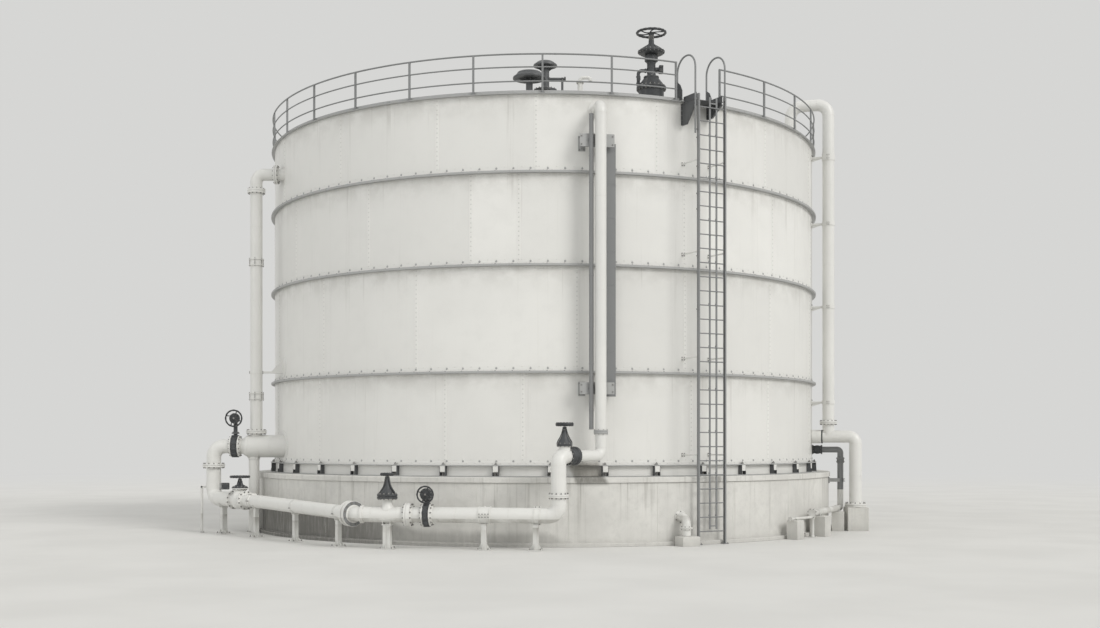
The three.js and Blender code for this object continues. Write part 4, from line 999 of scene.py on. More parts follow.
# --------------------------------------------------------- pipework's own parts
def flange(p, o, d, r, t, pr, nuts=12, hub=None, bolt=34.0, mat=None, face=True):
    """A flange whose face's centre is o, looking along d; its nuts and hub are behind it."""
    hub = t * 0.9 if hub is None else hub
    d = unit(d)
    rf = pr + (r - pr) * 0.42
    prof = [(rf, 0), (rf, -2.5)] if face else [(r - 3, 0)]
    if face:
        prof += [(r - 3, -2.5), (r, -5.5)]
    else:
        prof += [(r, -3)]
    prof += [(r, -t + 3), (r - 3, -t)]
    rh = min(pr * 1.0 + (r - pr) * 0.34, r - 8)
    prof += [(rh + 6, -t), (rh, -t - 5)]
    if hub > 0:
        prof += [(pr + 6, -t - hub), (pr + 1, -t - hub)]
    p.add(flat_lathe(prof, 56).at(o, z=d), mat)
    if nuts:
        rc = (r + rh) / 2 + 3
        up = Z if abs(d[2]) < 0.9 else X
        x = unit(np.asarray(up) - d * np.dot(up, d))
        y = np.cross(d, x)
        pl = []
        for k in range(nuts):
            a = 2 * math.pi * (k + 0.5) / nuts
            pl.append(facing(np.asarray(o) - d * t + rc * (math.cos(a) * x + math.sin(a) * y), -d, math.cos(a) * x + math.sin(a) * y, 0.3 * k))
        p.many(hex_nut(bolt, bolt * 0.62, True, bolt * 0.42, bolt * 0.27), pl, "bolt_zinc")
    return p


def gasket(p, o, d, r, t=5.0):
    p.add(flat_lathe([(r, -t / 2), (r, t / 2)], 48).at(o, z=d), "gasket")


def bead(p, o, d, pr, s=5.0, mat=None):
    """A weld round a pipe."""
    n = 48
    c = lathe([(pr - 2, -s * 1.3), (pr + s * 0.45, -s), (pr + s * 0.75, 0), (pr + s * 0.45, s), (pr - 2, s * 1.3)], n, closed=True)
    p.add(c.at(o, z=d), mat)


def collar(p, o, d, r, t, pr, bolts=2, mat=None, lug=True, x=None):
    """A two-part clamp round a pipe, bolted through its lugs."""
    d = unit(d)
    rb = min(r - 16, pr + 16)
    p.add(lathe([(pr - 3, -t / 2), (rb - 2, -t / 2), (rb, -t / 2 + 2), (rb, t / 2 - 2), (rb - 2, t / 2), (pr - 3, t / 2)], 48, closed=True).at(o, z=d), mat)
    if lug:
        up = x if x is not None else (Z if abs(d[2]) < 0.9 else X)
        ux = unit(np.asarray(up, float) - d * np.dot(up, d))
        uy = np.cross(d, ux)
        for s in (-1, 1):
            c = np.asarray(o) + ux * s * (rb + (r - rb) / 2 - 2)
            for g in (-1, 1):
                p.add(cbox(r - rb + 14, 13, t * 0.86, 2).at(c + uy * g * 11, ux, uy), mat)
            for k in range(bolts):
                h = (k - (bolts - 1) / 2) * t * 0.5
                for g in (-1, 1):
                    p.many(hex_nut(24, 13, True, 8, 7), [facing(c + ux * 2 + d * h + uy * g * 17.5, uy * g, ux)], "bolt_zinc")


def sleeve(p, o, d, r, t, pr, bolts=6, mat=None):
    """A slip coupling: a barrel between two follower rings drawn together by long bolts."""
    d = unit(d)
    h = t / 2
    f = min(26.0, t * 0.2)
    p.add(flat_lathe([(pr + 4, -h + f * 0.8), (pr + 14, -h + f), (pr + 17, -h + f + 10), (pr + 12, -h * 0.35), (pr + 12, h * 0.35), (pr + 17, h - f - 10), (pr + 14, h - f), (pr + 4, h - f * 0.8)], 48).at(o, z=d), mat)
    for s in (-1, 1):
        c = np.asarray(o) + d * s * (h - f / 2)
        p.add(flat_lathe([(r - 4, -f / 2), (r, -f / 2 + 3), (r, f / 2 - 3), (r - 4, f / 2), (pr + 14, f / 2), (pr + 8, f / 2 + 5), (pr, f / 2 + 6)], 48).at(c, z=d * s), mat)
    up = Z if abs(d[2]) < 0.9 else X
    x = unit(np.asarray(up) - d * np.dot(up, d))
    y = np.cross(d, x)
    rc = (pr + 14 + r) / 2 + 2
    for k in range(bolts):
        a = 2 * math.pi * (k + 0.5) / bolts
        e = rc * (math.cos(a) * x + math.sin(a) * y)
        p.add(cyl(np.asarray(o) + e - d * (h - 2), np.asarray(o) + e + d * (h - 2), 7.5, 8), "bolt_zinc")
        for s in (-1, 1):
            p.many(hex_nut(24, 14, True, 10, 7.5), [facing(np.asarray(o) + e + d * s * h, d * s, e)], "bolt_zinc")


def arc_plate(r0, r1, a0, a1, w, n=18):
    """Part of a ring in the xz plane, from angle a0 to a1 (degrees from +x), w wide along y."""
    out = []
    for k in range(n + 1):
        a = math.radians(a0 + (a1 - a0) * k / n)
        out.append([(r0 * math.cos(a), -w / 2, r0 * math.sin(a)), (r1 * math.cos(a), -w / 2, r1 * math.sin(a)), (r1 * math.cos(a), w / 2, r1 * math.sin(a)), (r0 * math.cos(a), w / 2, r0 * math.sin(a))])
    return loft(out)


def post(p, xy, run, pr, zc, w=130.0, base=320.0, strap=True, mat="post_paint", ribs=True):
    """A pipe support: base plate, box post, saddle and, where it has one, the strap over the pipe. run is the pipe's direction."""
    ux = unit(vec(run[0], run[1], 0))
    uy = np.cross(Z, ux)
    o = vec(xy[0], xy[1], 0)
    top = zc - pr - 12
    p.add(cbox(base, base, 22, 3).at(o + Z * 11.5, ux, uy), mat)
    p.add(cbox(w, w, top - 20, 5).at(o + Z * (20 + (top - 20) / 2), ux, uy), mat)
    e = base / 2 - 36
    for sx in (-1, 1):
        for sy in (-1, 1):
            p.many(hex_nut(32, 20, True, 18, 9), [facing(o + ux * sx * e + uy * sy * e + Z * 22.5, Z, ux)], "bolt_zinc")
    if ribs:
        g = slab([(w / 2 - 2, 0), (base / 2 - 12, 0), (base / 2 - 12, 14), (w / 2 - 2, min(150.0, top * 0.4))], 10)
        for d in (ux, uy, -ux, -uy):
            p.add(g.at(o + Z * 22 - np.cross(d, Z) * -5, d, Z), mat)
    # the saddle: a curved plate on two cheeks
    sw = w + 30
    a = arc_plate(pr + 0.5, pr + 13, 212, 328, sw)
    p.add(place_xz(a, vec(xy[0], xy[1], zc), uy, ux), mat)
    ch = slab([(-w * 0.62, -46), (w * 0.62, -46), (w * 0.80, 30), (w * 0.55, 12), (0, -14), (-w * 0.55, 12), (-w * 0.80, 30)], 12, 1)
    for s in (-1, 1):
        p.add(ch.at(vec(xy[0], xy[1], zc - pr + 4) + ux * (s * (w / 2 - 10)) - ux * 6, uy, Z), mat)
    if strap:
        b = arc_plate(pr + 0.5, pr + 9, -18, 198, w * 0.62, 28)
        p.add(place_xz(b, vec(xy[0], xy[1], zc), uy, ux), mat)
        for s in (-1, 1):
            q = vec(xy[0], xy[1], zc - pr * 0.32) + uy * s * (pr + 16)
            p.add(cbox(34, w * 0.62, 10, 2).at(q, uy, -ux), mat)
            for k in (-1, 1):
                p.many(hex_nut(24, 14, True, 10, 7), [facing(q + ux * k * w * 0.16 + Z * 5, Z, ux)], "bolt_zinc")


def place_xz(c, o, x, y):
    """Local x along x, local y along y, local z up."""
    x, y = unit(x), unit(y)
    return Chunk(c.v @ np.array([x, y, Z]) + o, c.f).out()


def handwheel(name, body, slot, node, o, axis, r, t, spokes=5, turn=0.2, up=None, h=None):
    """A wheel about its axis: a rim swelling between the hand grips, curved spokes, a boss and its nut."""
    p = piece(name, "wheel_iron")
    h = t if h is None else h
    n, m = 96, 12
    tt = np.arange(n) * 2 * math.pi / n
    v = []
    for a in tt:
        grip = 1 + 0.10 * math.cos(a * spokes * 3)
        s = t * 0.90 * grip
        for j in range(m):
            b = 2 * math.pi * j / m
            rr = r - t * 0.99 + min(s, t * 0.99) * math.cos(b)
            v.append((rr * math.cos(a), rr * math.sin(a), min(s, t * 0.96) * h / t * math.sin(b)))
    i = np.arange(n)[:, None] * m
    j = np.arange(m)[None]
    q = np.stack(np.broadcast_arrays(i + j, i + (j + 1) % m, (i + m) % (n * m) + (j + 1) % m, (i + m) % (n * m) + j), -1).reshape(-1, 4)
    rim = Chunk(v, {4: q}).out()
    parts = [rim]
    rh = r * 0.155
    ri = r - 2 * t
    for k in range(spokes):
        a0 = 2 * math.pi * k / spokes + turn
        path, sc = [], []
        for s in np.linspace(0, 1, 13):
            rr = rh * 0.7 + (ri + t * 0.5 - rh * 0.7) * s
            aa = a0 + 0.42 * math.sin(s * math.pi * 0.5) ** 2
            path.append(vec(rr * math.cos(aa), rr * math.sin(aa), -h * 0.05 - h * 0.22 * math.sin(math.pi * s)))
            sc.append(1.25 - 0.42 * math.sin(s * math.pi))
        parts.append(sweep(path, [(x * t * 0.46, y * h * 0.56) for x, y in circle(1, 10)], Z, scale=sc))
    parts.append(flat_lathe([(rh * 0.9, -h * 0.98), (rh, -h * 0.85), (rh * 1.05, -h * 0.2), (rh, h * 0.2), (rh * 0.86, h * 0.36)], 28))
    w = join(*parts)
    nut = hex_nut(rh * 1.05, t * 0.42, True, t * 0.12, rh * 0.3).move(0, 0, h * 0.34)
    p.add(w.at(o, x=up, z=axis))
    p.add(nut.at(o, x=up, z=axis), "bolt_zinc")
    return p.make(body=body, slot=slot, replaces=node)


def gate_valve(p, o, yaw, half, pr, fr, bonnet, stem_top, ft=38.0, pale="pipe_paint", dark="valve_iron", nuts=12, ends=(True, True)):
    """Its run is along local x and its stem along z: pale body, dark bonnet, yoke and gland."""
    place = lambda c: c.yaw(yaw).move(*o)  # noqa: E731
    local = lambda v: vec(math.cos(yaw) * v[0] - math.sin(yaw) * v[1], math.sin(yaw) * v[0] + math.cos(yaw) * v[1], v[2])  # noqa: E731
    for s in (-1, 1):
        flange(p, np.asarray(o) + local(vec(s * half, 0, 0)), local(vec(s, 0, 0)), fr, ft, pr, nuts, hub=26, mat=pale)
    L = half - ft - 20
    run = [(pr * 1.02 + (pr * 0.20) * math.sin(math.pi * s) ** 2, -L + 2 * L * s) for s in np.linspace(0, 1, 21)]
    p.add(place(flat_lathe(run, 48).at((0, 0, 0), z=X)), pale)
    H = stem_top - bonnet
    # chest
    rings = []
    for z, a, b, e in ((-pr * 1.30, 0.30, 0.36, 2.2), (-pr * 1.24, 0.50, 0.62, 2.2), (-pr * 1.02, 0.72, 0.98, 2.3), (-pr * 0.5, 0.88, 1.20, 2.4), (0, 0.92, 1.26, 2.4),
                       (pr * 0.55, 0.86, 1.16, 2.4), (pr * 0.98, 0.76, 1.0, 2.3), (pr * 1.12 if bonnet > pr * 1.6 else bonnet - 62, 0.72, 0.93, 2.3), (bonnet - 52, 0.72, 0.92, 2.3), (bonnet - 34, 0.80, 0.98, 2.4)):
        rings.append(oval(pr * a, pr * b, z, 44, e))
    p.add(place(loft(rings)), pale)
    fl = [oval(pr * 1.06, pr * 1.12, bonnet - 30, 44, 2.5), oval(pr * 1.09, pr * 1.15, bonnet - 27, 44, 2.5), oval(pr * 1.09, pr * 1.15, bonnet - 5, 44, 2.5), oval(pr * 1.06, pr * 1.12, bonnet - 2, 44, 2.5)]
    p.add(place(loft(fl)), pale)
    p.add(place(loft([oval(pr * 0.92, pr * 0.98, bonnet - 3, 44), oval(pr * 0.92, pr * 0.98, bonnet + 3, 44)])), "gasket")
    fl = [oval(pr * 1.06, pr * 1.12, bonnet + 2, 44, 2.5), oval(pr * 1.09, pr * 1.15, bonnet + 5, 44, 2.5), oval(pr * 1.09, pr * 1.15, bonnet + 24, 44, 2.5), oval(pr * 1.05, pr * 1.11, bonnet + 27, 44, 2.5)]
    p.add(place(loft(fl)), dark)
    b0 = bonnet + 26
    rings = []
    for s, a, b in ((0, 0.86, 0.92), (0.10, 0.80, 0.85), (0.22, 0.62, 0.66), (0.30, 0.42, 0.45), (0.36, 0.31, 0.32), (0.50, 0.29, 0.29), (0.52, 0.27, 0.27)):
        rings.append(oval(pr * a, pr * b, b0 + s * (H - 26), 40, 2.15))
    p.add(place(loft(rings)), dark)
    # gland and its two studs
    zg = b0 + 0.53 * (H - 26)
    p.add(place(loft([oval(pr * 0.20, pr * 0.44, zg, 30), oval(pr * 0.20, pr * 0.44, zg + 12, 30)])), dark)
    p.add(place(cyl(vec(0, 0, zg), vec(0, 0, zg + 20), pr * 0.16, 20)), dark)
    for s in (-1, 1):
        p.many(hex_nut(20, 12, True, 14, 6), [facing(np.asarray(o) + local(vec(0, s * pr * 0.35, zg + 12)), Z)], "bolt_zinc")
    # yoke: two arms meeting in a boss under the wheel
    zt = b0 + 0.80 * (H - 26)
    for s in (-1, 1):
        path = [vec(s * pr * a, 0, b0 + q * (H - 26)) for a, q in ((0.66, 0.02), (0.665, 0.14), (0.62, 0.30), (0.53, 0.46), (0.40, 0.62), (0.28, 0.74), (0.20, 0.82))]
        sec = [(pr * 0.055 * x, pr * 0.16 * y) for x, y in ((-1, -0.7), (-0.7, -1), (0.7, -1), (1, -0.7), (1, 0.7), (0.7, 1), (-0.7, 1), (-1, 0.7))]
        p.add(place(sweep(path, sec, X)), dark)
    p.add(place(flat_lathe([(pr * 0.20, zt - 8), (pr * 0.27, zt - 2), (pr * 0.27, zt + 0.12 * H), (pr * 0.22, zt + 0.14 * H)], 28)), dark)
    p.add(place(cyl(vec(0, 0, b0 + 0.4 * H), vec(0, 0, stem_top), max(15.0, pr * 0.10), 16, b=2)), "stem_steel")
    k = max(8, round(pr / 16))
    pl = []
    for j in range(k):
        a = 2 * math.pi * (j + 0.5) / k
        q = vec(pr * 0.97 * math.cos(a), pr * 1.03 * math.sin(a), bonnet + 27)
        pl.append(facing(np.asarray(o) + local(q), Z, X))
    p.many(hex_nut(26, 17, True, 10, 8), pl, "bolt_zinc")
    pl = [(a - Z * 57, b, -c, -d) for a, b, c, d in pl]
    p.many(hex_nut(26, 15, True, 6, 8), pl, "bolt_zinc")


def gear_valve(p, o, yaw, half, br, neck, pr, mat="valve_iron"):
    """A short-bodied quarter-turn valve: lugged ring, neck, gearbox, and a shaft towards local -y."""
    place = lambda c: c.yaw(yaw).move(*o)  # noqa: E731
    local = lambda v: vec(math.cos(yaw) * v[0] - math.sin(yaw) * v[1], math.sin(yaw) * v[0] + math.cos(yaw) * v[1], v[2])  # noqa: E731
    prof = [(pr * 1.05, -half), (br * 0.84, -half), (br * 0.87, -half + 4), (br * 0.87, -half * 0.62), (br * 0.93, -half * 0.5), (br * 0.93, half * 0.5), (br * 0.87, half * 0.62), (br * 0.87, half - 4), (br * 0.84, half), (pr * 1.05, half)]
    p.add(place(flat_lathe(prof, 60).at((0, 0, 0), z=X)), mat)
    for k in range(12):
        a = 2 * math.pi * (k + 0.5) / 12
        c = vec(0, math.cos(a), math.sin(a)) * (br - 40)
        p.add(place(cyl(c - X * (half - 3), c + X * (half - 3), 37, 20, b=3)), mat)
    rings = []
    z0 = br * 0.80
    for s, a, b in ((0, 60, 110), (0.3, 58, 84), (0.6, 56, 64), (1.0, 56, 60)):
        rings.append(oval(min(a, half - 4), b, z0 + s * (br + 20 - z0), 32, 2.3))
    p.add(place(loft(rings)), mat)
    for z in (br + 30, br + 52):
        p.add(place(flat_lathe([(105, z - 9), (108, z - 6), (108, z + 6), (105, z + 9)], 32)), mat)
    for k in range(4):
        a = math.pi / 4 + k * math.pi / 2
        q = vec(84 * math.cos(a), 84 * math.sin(a), br + 61)
        p.many(hex_nut(24, 15, True, 8, 7), [facing(np.asarray(o) + local(q), Z, X)], "bolt_zinc")
    p.add(place(flat_lathe([(64, br + 58), (58, br + 74), (56, neck - 130), (66, neck - 96), (88, neck - 84)], 32)), mat)
    # gearbox: rounded case, lid with screws, worm shaft housing across it
    rings = [oval(88, 80, neck - 92, 44, 3.2), oval(98, 90, neck - 84, 44, 3.6), oval(101, 93, neck - 60, 44, 3.8), oval(101, 93, neck + 56, 44, 3.8), oval(97, 89, neck + 66, 44, 3.6)]
    p.add(place(loft(rings)), mat)
    p.add(place(flat_lathe([(84, neck + 64), (84, neck + 80), (79, neck + 85), (40, neck + 86), (38, neck + 93), (34, neck + 95)], 40)), mat)
    for k in range(6):
        a = k * math.pi / 3 + 0.3
        q = vec(66 * math.cos(a), 66 * math.sin(a), neck + 85)
        p.many(hex_nut(15, 7, False), [facing(np.asarray(o) + local(q), Z, X)], "bolt_zinc")
    p.add(place(flat_lathe([(52, -94), (58, -90), (58, 70), (50, 88), (30, 92)], 32).at((0, 0, neck), z=Y)), mat)
    # round case of the reducing gear, its cover bolted on behind the wheel
    p.add(place(flat_lathe([(90, 80), (138, 82), (146, 88), (149, 96), (149, 118), (144, 120), (144, 123), (149, 125), (149, 140), (144, 148), (126, 153), (70, 157), (56, 159), (56, 166), (50, 171), (34, 173), (30, 183), (26, 185)], 56).at((0, 0, neck), z=-Y)), mat)
    for k in range(10):
        a = 2 * math.pi * (k + 0.5) / 10
        q = vec(132 * math.cos(a), -149, neck + 132 * math.sin(a))
        p.many(hex_nut(17, 8, False), [facing(np.asarray(o) + local(q), local(-Y), Z)], "bolt_zinc")
    for k in range(4):
        a = math.pi / 4 + k * math.pi / 2
        q = vec(44 * math.cos(a), -170, neck + 44 * math.sin(a))
        p.many(hex_nut(14, 7, False), [facing(np.asarray(o) + local(q), local(-Y), Z)], "bolt_zinc")
    p.add(place(cyl(vec(0, -170, neck), vec(0, -202, neck), 22, 20, b=2)), "stem_steel")


# ----------------------------------------------------------------- on the roof
def roof_collar(p, x, y, r, mat=None):
    """A reinforcing plate and weld where a neck leaves the roof."""
    d = math.hypot(x, y)
    az = math.degrees(math.atan2(x, -y))
    n = unit(outward(az) * math.sin(slope) + Z * math.cos(slope))
    o = vec(x, y, roof_z(d))
    p.add(flat_lathe([(r * 1.7, -4), (r * 1.7, 6), (r * 1.7 - 4, 9), (r, 9)], 40).at(o, z=n), mat)
    p.add(lathe([(r - 2, 2), (r + 12, 8), (r + 9, 16), (r - 2, 22)], 40, closed=True).at(o, z=n), mat)


def ring_bolts(p, c, r, n, af, h, z=Z, mat="bolt_zinc", stud=8.0, sr=7.0, a0=0.5):
    """n nuts on a circle of radius r about c, square to z."""
    z = unit(z)
    up = Z if abs(z[2]) < 0.9 else X
    x = unit(np.asarray(up) - z * np.dot(up, z))
    y = np.cross(z, x)
    p.many(hex_nut(af, h, True, stud, sr), [facing(np.asarray(c, float) + r * (math.cos(a) * x + math.sin(a) * y), z, math.cos(a) * x + math.sin(a) * y) for a in (np.arange(n) + a0) * 2 * math.pi / n], mat)


# low vent: a narrow neck under a wide hood
p = piece("roof_vent_low_hood", "fitting_paint")
x, y = -360.0, -7560.0
roof_collar(p, x, y, 88)
p.add(cyl(vec(x, y, roof_z(7568) - 30), vec(x, y, 11398), 86, 40))
for s in (-1, 1):
    p.add(flat_lathe([(84, 2), (164, 2), (168, 5), (168, 16), (164, 19), (112, 20), (106, 24), (88, 40)], 44).at((x, y, 11420), z=Z * s))
    ring_bolts(p, vec(x, y, 11420 + s * 19), 140, 8, 26, 16, Z * s, sr=8)
gasket(p, (x, y, 11420), Z, 130, 4.6)
p.add(cyl(vec(x, y, 11442), vec(x, y, 11780), 86, 40))
# the hood's brim is turned down round a screen held by flat stays
p.add(flat_lathe([(86, 11786), (150, 11780), (392, 11768), (410, 11767), (416, 11771), (417, 11780), (417, 11808), (414, 11815), (404, 11820), (372, 11842), (330, 11886), (306, 11922), (298, 11934), (288, 11939), (120, 11940)], 72).at((x, y, 0)))
p.add(flat_lathe([(120, 11936), (120, 11939.5), (60, 11940), (20, 11940)], 32).at((x, y, 0)))
for k in range(8):
    a = k * math.pi / 4 + 0.2
    d = vec(math.cos(a), math.sin(a), 0)
    p.add(slab([(0, -90), (6, -90), (230, 0), (0, 0)], 10, 1).at(vec(x, y, 11782) + d * 84 + np.cross(d, Z) * 5, d, Z))
    p.many(rivet(13, 7), [facing(vec(x, y, 11795) + unit(vec(math.cos(a + 0.39), math.sin(a + 0.39), 0)) * 416.5, vec(math.cos(a + 0.39), math.sin(a + 0.39), 0))])
p.add(lathe([(88, 11690), (104, 11694), (104, 11712), (88, 11716)], 36, closed=True).at((x, y, 0)))
p.make(slot="fitting_paint", replaces="roof_vent_low")

# tall vent with its side pipe
p = piece("roof_vent_tall", "fitting_paint")
x, y = 45.0, -6900.0
roof_collar(p, x, y, 180)
p.add(cyl(vec(x, y, roof_z(6900) - 30), vec(x, y, 11624), 178, 52))
p.add(flat_lathe([(178, 11600), (192, 11618), (204, 11624), (299, 11624), (303, 11628), (303, 11643), (300, 11646), (230, 11646)], 64).at((x, y, 0)))
gasket(p, (x, y, 11648.5), Z, 262, 5)
p.add(flat_lathe([(230, 11651), (300, 11651), (303, 11654), (303, 11669), (299, 11673), (180, 11674), (150, 11686), (120, 11720), (104, 11764)], 64).at((x, y, 0)))
ring_bolts(p, vec(x, y, 11672), 274, 16, 32, 20, Z, sr=9, stud=10)
ring_bolts(p, vec(x, y, 11625), 274, 16, 32, 16, -Z, sr=9, stud=6)
p.add(cyl(vec(x, y, 11740), vec(x, y, 12290), 102, 44))
for z in (11985.0, 12195.0):
    bead(p, (x, y, z), Z, 102, 5)
p.add(flat_lathe([(100, 12236), (118, 12248), (140, 12270), (150, 12278), (290, 12277), (300, 12279), (304, 12284), (304, 12320), (300, 12326), (286, 12334), (250, 12362), (214, 12392), (190, 12404), (172, 12408), (60, 12409.5)], 64).at((x, y, 0)))
p.add(flat_lathe([(34, 12400), (34, 12408), (30, 12410)], 24).at((x, y, 0)))
for k in range(8):
    a = k * math.pi / 4
    d = vec(math.cos(a), math.sin(a), 0)
    p.add(slab([(0, -110), (5, -110), (170, 0), (0, 0)], 9, 1).at(vec(x, y, 12280) + d * 100 + np.cross(d, Z) * 4.5, d, Z))
    p.many(rivet(12, 6), [facing(vec(x, y, 12302) + d * 303.5, d)])
# side pipe, its blank end and its leg
p.add(lathe([(38, 96), (58, 98), (50, 112), (38, 122)], 32, closed=True).at((x, y, 11957), z=X))
p.add(cyl(vec(x + 90, y, 11957), vec(x + 502, y, 11957), 38, 32))
flange(p, (x + 515, y, 11957), X, 62, 14, 38, 6, hub=8, bolt=14)
p.add(flat_lathe([(60, 0.5), (62, 3), (62, 12), (58, 15), (20, 16)], 32).at((x + 515, y, 11957), z=X))
p.add(cyl(vec(x + 440, y, roof_z(6917) + 2), vec(x + 440, y, 11925), 30, 24))
p.add(cbox(130, 110, 10, 2).at((x + 440, y, roof_z(6917) + 9)))
p.many(hex_nut(20, 12, True, 7, 6), [facing(vec(x + 440 + g * 48, y + q * 38, roof_z(6917) + 13), Z) for g in (-1, 1) for q in (-1, 1)], "bolt_zinc")
collar(p, (x + 440, y, 11957), X, 58, 44, 38, 1, x=Y)
p.make(slot="fitting_paint", replaces="roof_vent")

# small gooseneck
p = piece("roof_nozzle_gooseneck", "pipe_paint")
x, y = 932.0, -7350.0
rn = math.hypot(x, y)
roof_collar(p, x, y, 66)
p.add(cyl(vec(x, y, roof_z(rn) - 20), vec(x, y, 11728), 64, 36))
for s in (-1, 1):
    p.add(flat_lathe([(60, 2), (97, 2), (99, 4), (99, 15), (96, 17), (72, 18), (66, 26)], 36).at((x, y, 11745), z=Z * s))
    ring_bolts(p, vec(x, y, 11745 + s * 17), 83, 6, 20, 12, Z * s, sr=6, stud=5)
gasket(p, (x, y, 11745), Z, 78, 4.6)
p.add(tube([vec(x, y, 11740), vec(x, y, 11866), vec(x + 262, y, 11866), vec(x + 262, y, 11786)], 43, [80, 60], 32, 12))
p.add(flat_lathe([(43, 0), (49, 3), (49, 21), (43, 24)], 28).at((x + 262, y, 11776)))
p.add(flat_lathe([(40, 0), (40, 2)], 24).at((x + 262, y, 11775)), "gasket")
bead(p, (x, y, 11788), Z, 43, 4)
p.make(slot="pipe_paint", replaces="roof_nozzle")

# roof valve: upright run on a curb, round actuator case and thick stem, dark all over
p = piece("roof_valve_body", "valve_iron")
x, y = 2790.0, -6843.0
c0 = lambda q: q.move(x, y, 0)  # noqa: E731
roof_collar(p, x, y, 326)
p.add(cyl(vec(x, y, 11210), vec(x, y, 11690), 326, 72))
p.add(c0(flat_lathe([(326, 11650), (344, 11678), (352, 11686), (378, 11686), (383, 11690), (383, 11719), (380, 11722), (330, 11722)], 72)))
gasket(p, (x, y, 11724.5), Z, 350, 5)
p.add(c0(flat_lathe([(330, 11727), (380, 11727), (383, 11730), (383, 11759), (379, 11763), (338, 11765), (326, 11776), (300, 11826), (262, 11888), (222, 11944), (200, 11970), (194, 11980)], 72)))
ring_bolts(p, vec(x, y, 11762), 358, 20, 34, 21, Z, sr=10, stud=10)
ring_bolts(p, vec(x, y, 11687), 358, 20, 34, 17, -Z, sr=10, stud=6)
for k in range(10):
    a = math.pi / 5 * (k + 0.5)
    d = vec(math.cos(a), math.sin(a), 0)
    p.add(slab([(0, 0), (44, 0), (-108, 196), (-128, 196)], 16, 2).at(vec(x, y, 11766) + d * 318 + np.cross(d, Z) * 8, d, Z))
p.add(c0(flat_lathe([(150, 11976), (195, 11980), (199, 11984), (199, 12001), (196, 12003), (150, 12003)], 52)))
gasket(p, (x, y, 12005), Z, 176, 4.6)
p.add(c0(flat_lathe([(150, 12007), (196, 12007), (199, 12010), (199, 12025), (195, 12029), (142, 12031), (124, 12046), (112, 12082), (109, 12130), (109, 12390), (118, 12404), (150, 12418), (163, 12430)], 56)))
ring_bolts(p, vec(x, y, 12029), 174, 10, 26, 16, Z)
ring_bolts(p, vec(x, y, 11981), 174, 10, 26, 14, -Z, stud=5)
# yoke column with its split windows
p.add(c0(flat_lathe([(163, 12428), (164, 12434), (164, 12568), (158, 12590), (150, 12604)], 56)))
for k in range(6):
    a = k * math.pi / 3
    d = vec(math.cos(a), math.sin(a), 0)
    p.add(cbox(26, 18, 150, 4).at(vec(x, y, 12500) + d * 158, d, np.cross(Z, d)))
for z in (12250.0, 12380.0):
    p.add(c0(lathe([(106, z - 12), (118, z - 8), (118, z + 8), (106, z + 12)], 44, closed=True)))
# round case in two halves, bolted round its rim
p.add(c0(flat_lathe([(160, 12604), (230, 12602), (288, 12612), (312, 12636), (316, 12650), (345, 12652), (349, 12655), (349, 12668), (346, 12670)], 72)))
gasket(p, (x, y, 12672), Z, 344, 4.6)
p.add(c0(flat_lathe([(346, 12674), (349, 12677), (349, 12690), (345, 12693), (316, 12695), (312, 12710), (292, 12732), (258, 12744), (236, 12752), (190, 12790), (150, 12826), (122, 12846), (100, 12852)], 72)))
ring_bolts(p, vec(x, y, 12693), 331, 20, 24, 14, Z, sr=7)
ring_bolts(p, vec(x, y, 12652), 331, 20, 24, 12, -Z, sr=7, stud=5)
for k in range(8):
    a = math.pi / 4 * (k + 0.5)
    d = vec(math.cos(a), math.sin(a), 0)
    p.add(slab([(0, 0), (64, 0), (-86, 96), (-104, 96)], 12, 1.5).at(vec(x, y, 12738) + d * 226 + np.cross(d, Z) * 6, d, Z))
p.add(c0(flat_lathe([(70, 12846), (92, 12850), (92, 12872), (84, 12880), (72, 12884), (71, 12960), (66, 12972)], 40)))
p.add(c0(flat_lathe([(64, 12966), (66, 12970), (66, 13100), (70, 13104), (71, 13130), (66, 13133.5)], 40)), "valve_iron")
# threads of the stem
p.add(join(*[lathe([(64, z - 7), (70, z), (64, z + 7)], 36, closed=True).at((x, y, 0)) for z in np.arange(12985.0, 13095.0, 17.0)]), "stem_steel")
# by-pass pipe at the left, down to the curb's flange
p.add(tube([vec(x - 100, y, 12190), vec(x - 335, y, 12190), vec(x - 335, y, 11768)], 44, 90, 32, 14))
for o, d in ((vec(x - 150, y, 12190), X), (vec(x - 335, y, 12030), Z), (vec(x - 335, y, 11860), Z)):
    p.add(flat_lathe([(46, -20), (58, -17), (58, 17), (46, 20)], 30).at(o, z=d))
p.add(cyl(vec(x - 335, y, 11950), vec(x - 335, y - 90, 11950), 24, 20, b=2))
p.add(rnd_disc(54, 16, 4, 32).at(vec(x - 335, y - 96, 11950), z=Y))
# positioner at the right
p.add(cyl(vec(x + 100, y, 12220), vec(x + 198, y, 12220), 56, 32))
p.add(cbox(108, 166, 196, 12).at((x + 250, y, 12220)))
p.add(cbox(6, 120, 130, 2).at((x + 304.4, y, 12232)))
p.many(hex_nut(16, 7, False), [facing(vec(x + 304, y + g * 68, 12220 + q * 82), X) for g in (-1, 1) for q in (-1, 1)], "bolt_zinc")
for z in (12160.0, 12280.0):
    p.add(flat_lathe([(22, 0), (24, 3), (24, 20), (18, 24)], 24).at((x + 250, y - 82, z), z=-Y))
p.make(slot="valve_iron", replaces="roof_valve")
handwheel("roof_valve_handwheel_rim", "roof_valve_handwheel", "wheel_iron", "roof_valve_wheel", (x, y, 13171), Z, 400, 36, 6)

